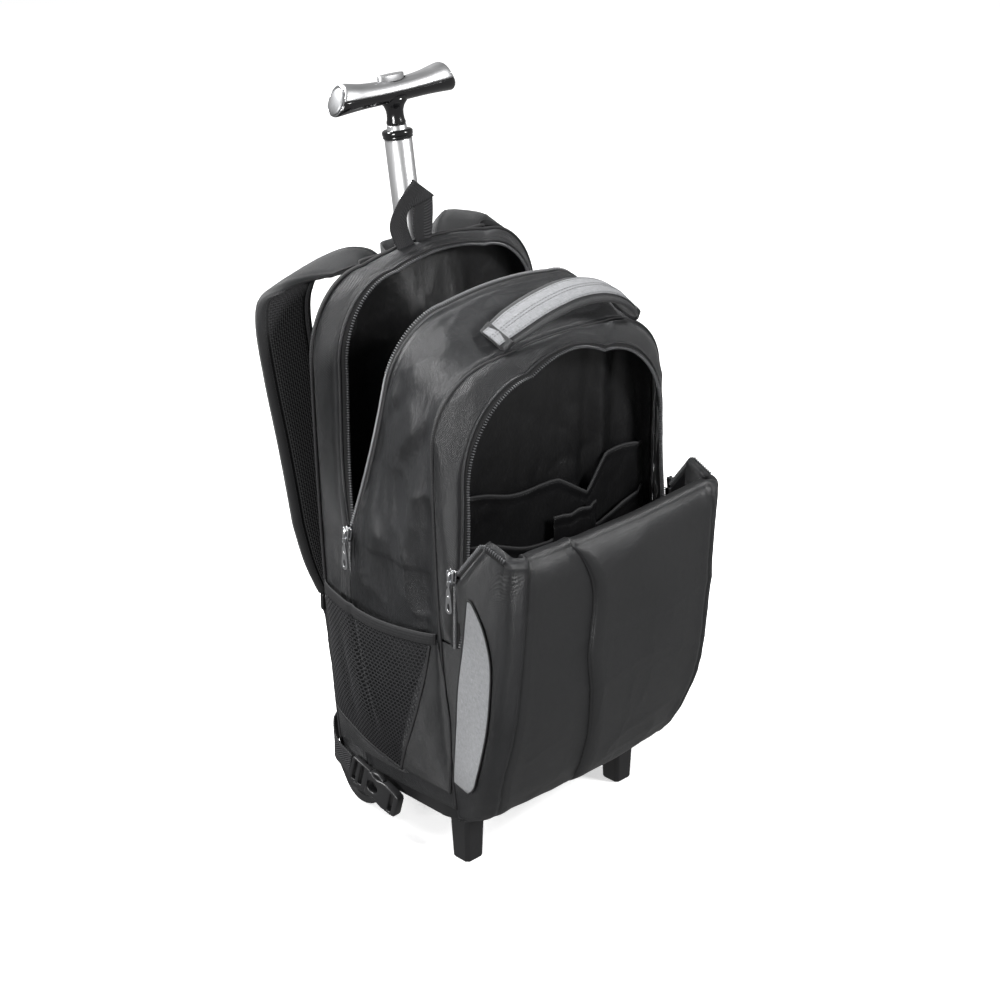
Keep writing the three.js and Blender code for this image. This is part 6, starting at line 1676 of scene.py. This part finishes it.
def make_side_pockets():
    look = settings("bag_net")
    step = look.pitch * 1000
    for name, side in SIDES.items():
        flip = np.array([side, 1, 1])
        cols, rows = int(126 / (step * 0.84)), int(142 / (step * 0.72))
        points, faces = [], []
        for r in range(rows + 1):
            shift = 0.5 * (r % 2)
            a = np.clip((np.arange(cols + 1) + shift - 0.25) / cols, 0, 1)
            points.append(patch_of(NET, a, np.full(cols + 1, r / rows)) * flip)
        for r in range(rows):
            for c in range(cols):
                i, j = r * (cols + 1) + c, (r + 1) * (cols + 1) + c
                faces += [(i, i + 1, j), (i + 1, j + 1, j)] if r % 2 == 0 else [(i, j + 1, j), (i, i + 1, j + 1)]
        if side < 0:
            faces = [f[::-1] for f in faces]
        mesh = bpy.data.meshes.new("net")
        mesh.from_pydata(place(np.concatenate(points)).tolist(), [], [f[::-1] for f in faces])
        values = {"Opening": math.sqrt(look.open), "Thickness": look.thick, "Finish": finish("net_thread")}
        run_tree(f"mesh_pocket_net_{name}", net_tree(), mesh, values, "mesh", f"mesh_pocket_{name}")

        plain = Shape()
        for corners in PLAIN:
            a, b = np.meshgrid(np.linspace(0, 1, 26), np.linspace(0, 1, 60))
            grid = patch_of(corners, a, b)
            grid[..., 0] += 0.5 + 0.5 * ripple(grid, (9, 14, 22), 98)
            wall(plain, grid * flip, 1.3, (side, 0, 0))
        # Bound hem along the top, and the seam tapes down both edges of the net
        a = np.linspace(0, 1, 90)
        top = patch_of(((0.98, 79), (0.02, 79), (0.02, 236), (0.98, 236)), a, np.ones(90))
        top = top * flip + [side * 0.3, 0, 1.6]
        hem = Shape()
        section = oval_section(2.6, 11, 20, 3.4)
        section[:, 0] *= 1 - 0.35 * bell(section[:, 1] + 3.4, 0.8)
        sweep(hem, top, (1, 0, 0), section, up=(0, 0, 1))
        piece(f"mesh_pocket_hem_{name}", hem, finish("binding"), "mesh")
        tape = Shape()
        b = np.linspace(0, 1, 60)
        for edge in (patch_of(NET, np.ones(60), b), patch_of(NET, np.linspace(0, 1, 60), np.zeros(60))):
            sweep(tape, edge * flip + [side * 0.9, 0, 0], (side, 0, 0), oval_section(1.7, 3.2, 10))
        piece(f"mesh_pocket_seams_{name}", tape, finish("binding"), "mesh")
        piece(f"mesh_pocket_panels_{name}", plain, finish("coated_fabric"), "coated_fabric")


# Hard parts carried over from the frame: merged, with rounded edges


def rounded_copy(node, look, slot, body="bag", bevel=0.9, extra=None):
    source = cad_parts[node]
    work = bmesh.new()
    work.from_mesh(source.data)
    bmesh.ops.remove_doubles(work, verts=work.verts, dist=0.00001)
    bmesh.ops.dissolve_limit(work, angle_limit=math.radians(1), verts=work.verts, edges=work.edges)
    sharp = [e for e in work.edges if len(e.link_faces) == 2 and e.calc_face_angle(0) > math.radians(25)]
    bmesh.ops.bevel(work, geom=sharp, offset=bevel / 1000, segments=3, profile=0.5, affect="EDGES",
                    clamp_overlap=True)
    bmesh.ops.triangulate(work, faces=[f for f in work.faces if len(f.verts) > 4])
    bmesh.ops.remove_doubles(work, verts=work.verts, dist=0.000005)
    points = np.array([v.co for v in work.verts])
    work.verts.index_update()
    faces = [tuple(v.index for v in f.verts) for f in work.faces]
    work.free()
    skin = Shape()
    skin.add(from_place(points), faces)
    if extra is not None:
        extra(skin)
    obj = piece(f"{node}_moulding", skin, finish(look), slot, node, body=body)
    obj.data.polygons.foreach_set("use_smooth", np.full(len(obj.data.polygons), True))
    normals = obj.modifiers.new("normals", "WEIGHTED_NORMAL")
    normals.keep_sharp = True
    bpy.context.view_layer.update()
    mesh = bpy.data.meshes.new_from_object(obj.evaluated_get(bpy.context.evaluated_depsgraph_get()))
    obj.modifiers.remove(normals)
    obj.data = mesh
    return obj


def from_place(points):
    """Metres of the shared frame back to the drawing's millimetres."""
    p = np.array(points, float)
    p[..., 1] -= FEET_FRONT
    return p * 1000


def make_base():
    def tray_ribs(skin):
        for y in np.linspace(30, 96, 4):
            line = np.array([[x, y, TRAY_TOP - 0.9] for x in np.linspace(-112, 112, 30)])
            sweep(skin, line, (0, 1, 0), oval_section(1.6, 1.4, 8))

    rounded_copy("base_tray", "black_plastic", "black_plastic", bevel=1.1, extra=tray_ribs)
    rounded_copy("bottom_board", "lining", "lining", bevel=0.6)
    rounded_copy("tube_socket", "black_plastic", "black_plastic", bevel=1.4)
    for name, side in SIDES.items():
        rounded_copy(f"wheel_housing_{name}", "black_plastic", "black_plastic", bevel=1.2)

        def sole(skin, side=side):
            skin.add(*plate(rounded_rect(8.8, -8.8, 8.8, 2.6, 4), 0.2, 2.6, 0.5,
                            basis((1, 0, 0), (0, 1, 0), (0, 0, 1), (side * 100, 12.25, 0))))

        rounded_copy(f"foot_{name}", "black_plastic", "black_plastic", bevel=0.9, extra=sole)


def make_wheels():
    tread = [(18.3, -8.6), (20.5, -9.1), (23.4, -9.4), (25.3, -8.9), (26.5, -7.6), (26.95, -5.6), (27, -3.2),
             (26.55, -2.9), (26.55, -2.3), (27, -2.0), (27, 2.0), (26.55, 2.3), (26.55, 2.9), (27, 3.2), (26.95, 5.6),
             (26.5, 7.6), (25.3, 8.9), (23.4, 9.4), (20.5, 9.1), (18.3, 8.6), (18, 7.4), (18, -7.4)]
    rim = [(3.4, -8.9), (6.4, -8.9), (6.9, -8.4), (7.1, -5.2), (8.2, -3.9), (14.4, -3.9), (15.4, -4.6), (15.6, -7.2),
           (16.2, -7.9), (17.5, -7.9), (17.8, -7.4), (17.8, 7.4), (17.5, 7.9), (16.2, 7.9), (15.6, 7.2), (15.4, 4.6),
           (14.4, 3.9), (8.2, 3.9), (7.1, 5.2), (6.9, 8.4), (6.4, 8.9), (3.4, 8.9)]
    for name, side in SIDES.items():
        centre, wheel = (side * WHEEL_X, AXLE_Y, WHEEL_RADIUS), f"wheel_{name}"
        skin = Shape()
        lathe(skin, tread, centre, (1, 0, 0), 96)
        piece(f"tyre_tread_{name}", skin, finish("tyre_rubber"), "tyre", f"tyre_{name}", body=wheel)
        skin = Shape()
        lathe(skin, rim, centre, (1, 0, 0), 80)
        for k in range(6):
            turn = k * math.pi / 3 + 0.2
            out = np.array([0, math.cos(turn), math.sin(turn)])
            for face in (-1, 1):
                line = np.array([np.array(centre) + out * r + [face * (3.9 + 0.2 * r / 15), 0, 0]
                                 for r in np.linspace(6.6, 15.6, 8)])
                sweep(skin, line, (0, -math.sin(turn), math.cos(turn)), oval_section(3.4, 3.4, 12, 2.6))
        piece(f"hub_spokes_{name}", skin, finish("black_plastic"), "black_plastic", f"hub_{name}", body=wheel)
        end = 15.9
        pin = [(0, -end), (2.2, -end), (2.75, -end + 0.5), (2.95, -end + 1.2), (2.95, end - 1.2), (2.75, end - 0.5), (2.2, end),
               (0, end)]
        skin = Shape()
        lathe(skin, pin, centre, (1, 0, 0), 40)
        piece(f"axle_pin_{name}", skin, finish("turned_steel"), "axle_steel", f"axle_{name}")


# Trolley: tubes, collar, T grip and its button. Heights run along the leaning pole from its top at rest


def pole_point(x, back, height):
    return POLE + np.array([1.0, 0, 0]) * x + POLE_BACK * back + POLE_UP * height


def tube(name, node, outer, inner, low, high, look, slot, body, rest=()):
    skin = Shape()
    profile = [(inner, low + 0.4), (inner + 0.3, low), (outer - 0.4, low), (outer, low + 0.4), *rest, (outer, high - 0.5),
               (outer - 0.4, high), (inner + 0.3, high), (inner, high - 0.4)]
    lathe(skin, profile, POLE, POLE_UP, 72)
    return piece(name, skin, finish(look), slot, node, body=body)


GRIP_MIDDLE = 130.6
# T grip along its length: share of half the length, depth, upper half, lower half, middle's rise
GRIP_ROWS = [(-1, 11.6, 14.6, 12.6, 1.2), (-0.93, 12.6, 14.4, 12.2, 1), (-0.8, 12.8, 13.6, 11.4, 0.7), (-0.6, 12, 12.2, 10.4, 0.2),
             (-0.35, 11.4, 11.1, 9.9, -0.3), (0, 11.2, 10.7, 9.8, -0.5), (0.35, 11.4, 11.1, 9.9, -0.3), (0.6, 12, 12.2, 10.4, 0.2),
             (0.8, 12.8, 13.6, 11.4, 0.7), (0.93, 12.6, 14.4, 12.2, 1), (1, 11.6, 14.6, 12.6, 1.2)]


def grip_grid(sign, gap, count=90, around=36, inset=0.0):
    """Half of the grip's skin: rows along its length, each an arc from front to back."""
    table = np.array(GRIP_ROWS)
    ends = np.sin(np.linspace(-math.pi / 2, math.pi / 2, count))
    deep, upper, lower, rise = (through(table, ends, k) for k in (1, 2, 3, 4))
    high = (upper if sign > 0 else lower) - inset
    deep = deep - inset
    close = np.sqrt(np.clip(1 - np.maximum((np.abs(ends) - 0.965) / 0.035, 0) ** 2, 0, 1)) * 0.22 + 0.78
    turn = np.linspace(0, math.pi, around)
    y = -np.cos(turn)[None] * (deep * close)[:, None]
    z = sign * (gap + np.sin(turn)[None] ** 0.92 * (high * close)[:, None])
    x = ends[:, None] * GRIP_HALF + np.where(ends < 0, 0.42, -0.36)[:, None] * smooth(np.abs(ends) * 2 - 1)[:, None] * z
    return pole_point(0, 0, GRIP_MIDDLE) + x[..., None] * np.array([1.0, 0, 0]) + y[..., None] * POLE_BACK \
        + (rise[:, None] + z)[..., None] * POLE_UP


def grip_half(skin, sign, gap, kind):
    """A closed half: the arc rows, a flat underside, and end faces that swell a little."""
    grid = grip_grid(sign, gap)
    count, around = grid.shape[:2]
    rings = np.concatenate([grid, mix(grid[:, -1:], grid[:, :1], np.linspace(0, 1, 8)[None, 1:-1, None])], axis=1)
    m = rings.shape[1]
    points = list(rings.reshape(-1, 3))
    faces = [(r * m + c, r * m + (c + 1) % m, (r + 1) * m + (c + 1) % m, (r + 1) * m + c)
             for r in range(count - 1) for c in range(m)]
    for end in (0, count - 1):
        ring = [end * m + c for c in range(m)]
        middle = rings[end].mean(axis=0)
        out = unit(rings[end].mean(axis=0) - rings[end + (1 if end == 0 else -1)].mean(axis=0))
        for share, swell in ((0.94, 1.0), (0.7, 1.9), (0.4, 2.4)):
            start = len(points)
            points += list(middle + (rings[end] - middle) * share + out * swell)
            new = list(range(start, start + m))
            faces += [(ring[c], ring[(c + 1) % m], new[(c + 1) % m], new[c]) for c in range(m)]
            ring = new
        points.append(middle + out * 2.5)
        faces += [(ring[c], ring[(c + 1) % m], len(points) - 1) for c in range(m)]
    points = np.array(points)
    if orient(points, faces):
        faces = [f[::-1] for f in faces]
    skin.add(points, faces, kind=kind)


def make_trolley():
    tube("outer_tube_sleeve", "outer_tube", OUTER_RADIUS, 13, -474.6, -2, "drawn_tube", "tube", "bag")
    tube("middle_tube_sleeve", "middle_tube", MIDDLE_RADIUS, 11, -242, SHOWN, "drawn_tube", "tube", "middle")
    tube("inner_tube_sleeve", "inner_tube", INNER_RADIUS, 7.5, -199.6, SHOWN + 12.3, "drawn_tube", "tube", "grip")
    skin = Shape()
    profile = [(9.4, SHOWN + 0.4), (12.9, SHOWN + 0.4), (13.5, SHOWN + 0.9), (13.6, SHOWN + 2), (13.2, SHOWN + 2.8),
               (13.9, SHOWN + 3.4), (14, SHOWN + 6.2), (13.5, SHOWN + 7.2), (12.2, SHOWN + 8), (10, SHOWN + 8.4),
               (9.4, SHOWN + 8.2)]
    lathe(skin, profile, POLE, POLE_UP, 80)
    piece("collar_ring", skin, finish("gloss_black"), "gloss_black", "collar", body="middle")

    lower = Shape()
    grip_half(lower, -1, 0.2, 0)
    neck = [(0, 100.8), (8.2, 100.8), (8.7, 101.2), (8.8, 103), (8, 105.4), (7.7, 110), (8, 113.4), (9.4, 117.4),
            (12.4, 121.4), (12.4, 126), (0, 126)]
    lathe(lower, neck, POLE, POLE_UP, 72)
    piece("grip_lower_shell", lower, finish("gloss_black"), "gloss_black", "grip_lower", body="grip")

    upper = Shape()
    grip_half(upper, 1, 0.2, 0)
    shell = piece("grip_upper_shell", upper, [finish("silver_shell"), finish("chrome")], "silver_shell", "grip_upper",
                  body="grip")
    crest = GRIP_MIDDLE + 10.7 - 0.5
    frame_of_pole = basis((1, 0, 0), POLE_BACK, POLE_UP, pole_point(0, 0, 0))
    oval = [(15.6 * math.cos(a), 7.2 * math.sin(a)) for a in np.linspace(0, 2 * math.pi, 64, endpoint=False)]
    pocket = Shape()
    pocket.add(*plate(oval, crest - 6.4, crest + 6, 0.2, frame_of_pole, (), 1))
    tool = piece("pocket", pocket, finish("silver_shell"), None, body="grip")
    cut = shell.modifiers.new("pocket", "BOOLEAN")
    cut.operation, cut.solver, cut.object = "DIFFERENCE", "EXACT", tool
    bpy.context.view_layer.update()
    mesh = bpy.data.meshes.new_from_object(shell.evaluated_get(bpy.context.evaluated_depsgraph_get()))
    shell.modifiers.remove(cut)
    shell.data = mesh
    bpy.data.objects.remove(tool)

    # Bright beads round both ends, and the end faces they frame
    trim = Shape()
    for end in (2, -3):
        rings = [grip_grid(sign, 0.2)[end] for sign in (1, -1)]
        loop = np.concatenate([rings[0], rings[1][::-1][1:-1]])
        sweep(trim, loop, POLE_UP, oval_section(1.9, 1.9, 10), looped=True)
    piece("grip_end_beads", trim, finish("chrome"), "silver_shell", body="grip")
    caps = Shape()
    for end, second in ((0, 1), (-1, -2)):
        upper_arc, lower_arc = (grip_grid(sign, 0.2) for sign in (1, -1))
        ring = np.concatenate([upper_arc[end], lower_arc[end][::-1][1:-1]])
        before = np.concatenate([upper_arc[second], lower_arc[second][::-1][1:-1]])
        out = unit(ring.mean(axis=0) - before.mean(axis=0))
        middle = ring.mean(axis=0)
        rings = [middle + (ring - middle) * s + out * h for s, h in
                 ((0.985, -1.2), (1.0, 0.5), (0.97, 1.6), (0.8, 2.9), (0.5, 3.8), (0.2, 4.2))]
        m = len(ring)
        points = np.concatenate(rings + [[middle + out * 4.3, middle - out * 1.2]])
        faces = [(a * m + c, a * m + (c + 1) % m, (a + 1) * m + (c + 1) % m, (a + 1) * m + c) for a in range(5) for c in range(m)]
        faces += [(5 * m + c, 5 * m + (c + 1) % m, 6 * m) for c in range(m)] + [((c + 1) % m, c, 6 * m + 1) for c in range(m)]
        if orient(points, faces):
            faces = [f[::-1] for f in faces]
        caps.add(points, faces)
    piece("grip_end_caps", caps, finish("satin_cap"), "silver_shell", body="grip")

    button = Shape()
    oval = [(14.7 * math.cos(a), 6.3 * math.sin(a)) for a in np.linspace(0, 2 * math.pi, 64, endpoint=False)]
    button.add(*plate(oval, crest - 2.4, crest + 4.6, 1.3, frame_of_pole, (), 4))
    piece("lock_button_cap", button, finish("silver_shell"), "silver_shell", "lock_button", body="button")


# Padded back panel


def make_back_panel():
    """Cushion with two side pads and a spine channel. Its face is filled by a short cloth simulation."""
    rows, cols = 96, 56
    rise = np.linspace(0.004, 0.996, rows)
    grid_in, grid_out = [], []
    for r in rise:
        z = mix(62.5, REAR_TOP - 4.5, r)
        half = arch_half(REAR_SEAM, z) - 2.4
        u = np.linspace(-1, 1, cols)
        x = u * half
        base = 161.35 + np.maximum(pole_y(z) + 15 / math.cos(LEAN) + 1.5 - 161.35, 0) * fade(np.abs(x), 18, 28)
        edge = np.minimum(2 * np.sin(math.pi * np.clip(r, 0.08, 0.92)), 1)
        rim = smooth((1 - np.abs(u)) / 0.05) * smooth(min(r, 1 - r) / 0.02)
        fill = 3.2 + (np.maximum(8 * (0.45 + 0.55 * np.sin(math.pi * np.minimum(1.1 * np.abs(u), 1))) * edge, 3.2) - 3.2) * rim
        grid_in.append(np.stack([x, base, np.full(cols, z)], axis=1))
        grid_out.append(np.stack([x, base + np.maximum(fill, 3.2), np.full(cols, z)], axis=1))
    front, rear = np.array(grid_in), np.array(grid_out)
    m = cols
    flat = np.concatenate([front.reshape(-1, 3), rear.reshape(-1, 3)])
    n = rows * cols
    faces = []
    for r in range(rows - 1):
        for c in range(cols - 1):
            a, b, d, e = r * m + c, r * m + c + 1, (r + 1) * m + c + 1, (r + 1) * m + c
            faces += [(a, b, d, e), (n + a, n + e, n + d, n + b)]
    rim_loop = [c for c in range(m)] + [r * m + m - 1 for r in range(1, rows)] + [(rows - 1) * m + c for c in range(m - 2, -1, -1)] \
        + [r * m for r in range(rows - 2, 0, -1)]
    for a, b in zip(rim_loop, rim_loop[1:] + rim_loop[:1]):
        faces.append((b, a, n + a, n + b))
    if orient(flat, faces):
        faces = [f[::-1] for f in faces]
    flat, faces = filled_by_simulation(flat, faces)
    centres = np.array([flat[list(f)].mean(axis=0) for f in faces])
    u = np.abs(centres[:, 0]) / arch_half(REAR_SEAM, centres[:, 2])
    low_edge = (centres[:, 2] < 84) | (centres[:, 2] > REAR_TOP - 26)
    kinds = np.where((centres[:, 1] < 162.5) | (u > 0.93) | low_edge | (u < 0.1), 1, 0)
    skin = Shape()
    skin.add(flat, faces, [flat[list(f)][:, [0, 2]] * 0.001 for f in faces], kinds)
    pad = piece("back_panel_pad", skin, [finish("air_mesh"), finish("padded_cover")], "padding", "back_panel")
    sew = settings("bag_stitch")
    rows_of = []
    for side in (-1, 1):
        for share in (0.11, 0.92):
            z = np.linspace(90, REAR_TOP - 34, 90)
            x = side * share * arch_half(REAR_SEAM, z)
            rows_of.append((seat_on(pad, x, z), np.tile([0.0, 1, 0], (90, 1))))
    bars_along("back_panel_stitches", rows_of, sew.length, (sew.length * 0.72, sew.thread, 0.0005), "black_thread", "padding")
    cover = Shape()
    z = np.linspace(63, REAR_TOP - 5, 150)
    half = arch_half(REAR_SEAM, z) - 1.6
    edge = np.concatenate([np.stack([-half, np.full(150, 164.0), z], axis=1),
                           np.stack([np.linspace(-half[-1], half[-1], 40), np.full(40, 164.0), np.full(40, z[-1] + 0.6)], axis=1)[1:-1],
                           np.stack([half[::-1], np.full(150, 164.0), z[::-1]], axis=1)])
    sweep(cover, edge, (0, 1, 0), oval_section(3.4, 3.0, 12))
    piece("back_panel_binding", cover, finish("binding"), "padding")


def seat_on(obj, x, z):
    """Points on the rear face of a piece at those places, a hair proud of it."""
    tree = BVHTree.FromPolygons([v.co for v in obj.data.vertices], [tuple(p.vertices) for p in obj.data.polygons])
    points = []
    back = unit(place((0.0, 1, 0)) - place((0.0, 0, 0)))
    for px, pz in zip(x, z):
        hit = tree.ray_cast(Vector(place((px, 260.0, pz))), Vector(-back))[0]
        points.append(from_place(np.array(hit))[:] + [0, 0.25, 0] if hit is not None else [px, 168.0, pz])
    return np.array(points)


def filled_by_simulation(flat, faces):
    mesh = bpy.data.meshes.new("cushion")
    mesh.from_pydata(place(flat).tolist(), [], faces)
    obj = bpy.data.objects.new("cushion", mesh)
    bpy.context.scene.collection.objects.link(obj)
    start = from_place(np.array([v.co for v in obj.data.vertices]))
    x, y, z = start.T
    u = np.abs(x) / arch_half(REAR_SEAM, z)
    held = obj.vertex_groups.new(name="held")
    fixed = (y < 163.2) | (u > 0.91) | (u < 0.13) | (z < 88) | (z > REAR_TOP - 30) | (np.abs(z - 245) < 4) | (np.abs(z - 390) < 4)
    held.add([int(i) for i in np.nonzero(fixed)[0]], 1.0, "REPLACE")
    cloth = obj.modifiers.new("fill", "CLOTH")
    cloth.settings.quality, cloth.settings.mass = 4, 0.3
    cloth.settings.vertex_group_mass = "held"
    cloth.settings.use_pressure, cloth.settings.uniform_pressure_force = True, 4.0
    cloth.settings.tension_stiffness = cloth.settings.compression_stiffness = 20.0
    cloth.settings.bending_stiffness = 1.5
    cloth.settings.effector_weights.gravity = 0.0
    cloth.point_cache.frame_start, cloth.point_cache.frame_end = 1, 20
    for frame_number in range(1, 21):
        bpy.context.scene.frame_set(frame_number)
    result = bpy.data.meshes.new_from_object(obj.evaluated_get(bpy.context.evaluated_depsgraph_get()))
    end = from_place(np.array([v.co for v in result.vertices]))
    obj.modifiers.remove(cloth)
    bpy.context.scene.frame_set(1)
    move = end - start
    far = np.linalg.norm(move, axis=1, keepdims=True)
    print("SIMULATION moved up to", float(far.max()), "mm, mean", float(far.mean()))
    move = move * np.minimum(6.0 / np.maximum(far, 1e-6), 1)
    move[:, 1] = np.maximum(move[:, 1], -1.0)
    obj.data.vertices.foreach_set("co", place(start + move).ravel())
    smooth_more = obj.modifiers.new("finer", "SUBSURF")
    smooth_more.levels = smooth_more.render_levels = 1
    bpy.context.view_layer.update()
    fine = bpy.data.meshes.new_from_object(obj.evaluated_get(bpy.context.evaluated_depsgraph_get()))
    points = from_place(np.array([v.co for v in fine.vertices]))
    faces = [tuple(p.vertices) for p in fine.polygons]
    bpy.data.objects.remove(obj)
    return points, faces


EXTRA = (
    ("front_pocket", "Front Pocket", "Makes the hanging front pocket and its grey crescents",
     [make_front_pocket, make_side_inserts]),
    ("inside", "Inside", "Makes the linings and the organiser pockets", [make_linings, make_organiser_pockets]),
    ("zips", "Zips", "Makes the zip tapes, teeth, sliders and pullers", [make_zips, make_sliders]),
    ("handle", "Carry Handle", "Makes the padded carry handle, its grey band and its stitches", [make_handle, make_loop]),
    ("straps", "Shoulder Straps", "Makes the padded straps with their webbing, adjusters and buckles", [make_straps]),
    ("side_pockets", "Side Pockets", "Makes the side pockets of net with their hems", [make_side_pockets]),
    ("base", "Base and Wheels", "Makes the tray, board, housings, wheels, axles and feet", [make_base, make_wheels]),
    ("trolley", "Trolley", "Makes the telescopic tubes, the collar, the T grip and its button", [make_trolley]),
    ("back", "Back Panel", "Makes the padded back panel with its stitches and binding", [make_back_panel]),
)


# Operators, panel and run


class Making:
    """What the operators share: each makes its pieces, or raises what went wrong."""

    bl_options = {"REGISTER"}

    def execute(self, context):
        self.make()
        return {"FINISHED"}


STEPS = (
    ("stage", "Stage", "Makes the camera, the floor and the lamps", [make_stage]),
    ("body", "Body Fabric", "Makes the body's cloth, its rear strip, the piping and the front strip",
     [make_body, make_front_gusset]),
    *EXTRA,
)


def operator(name, label, text, parts):
    def make(self):
        for part in parts:
            part()

    return type(f"BACKPACK_OT_{name}", (Making, bpy.types.Operator), {
        "bl_idname": f"backpack.{name}", "bl_label": label, "__doc__": text, "make": make})


OPERATORS = [operator(*step) for step in STEPS]


class BACKPACK_PT_parts(bpy.types.Panel):
    """Lists the sizes and the makers of the backpack's pieces."""

    bl_label = "Wheeled Backpack"
    bl_idname = "BACKPACK_PT_parts"
    bl_space_type = "VIEW_3D"
    bl_region_type = "UI"
    bl_category = "Backpack"

    def draw(self, context):
        for name, group in GROUPS.items():
            box = self.layout.box()
            for key in group.__annotations__:
                box.prop(getattr(context.scene, name), key)
        for maker in OPERATORS:
            self.layout.operator(maker.bl_idname)


def register():
    for group in GROUPS.values():
        bpy.utils.register_class(group)
    for name, group in GROUPS.items():
        setattr(bpy.types.Scene, name, PointerProperty(type=group))
    for item in (*OPERATORS, BACKPACK_PT_parts):
        bpy.utils.register_class(item)


def unregister():
    for item in (BACKPACK_PT_parts, *reversed(OPERATORS)):
        bpy.utils.unregister_class(item)
    for name in GROUPS:
        delattr(bpy.types.Scene, name)
    for group in GROUPS.values():
        bpy.utils.unregister_class(group)


def main():
    register()
    for maker in OPERATORS:
        name = maker.bl_idname.split(".")[1]
        getattr(bpy.ops.backpack, name)()


if __name__ == "__main__":
    main()
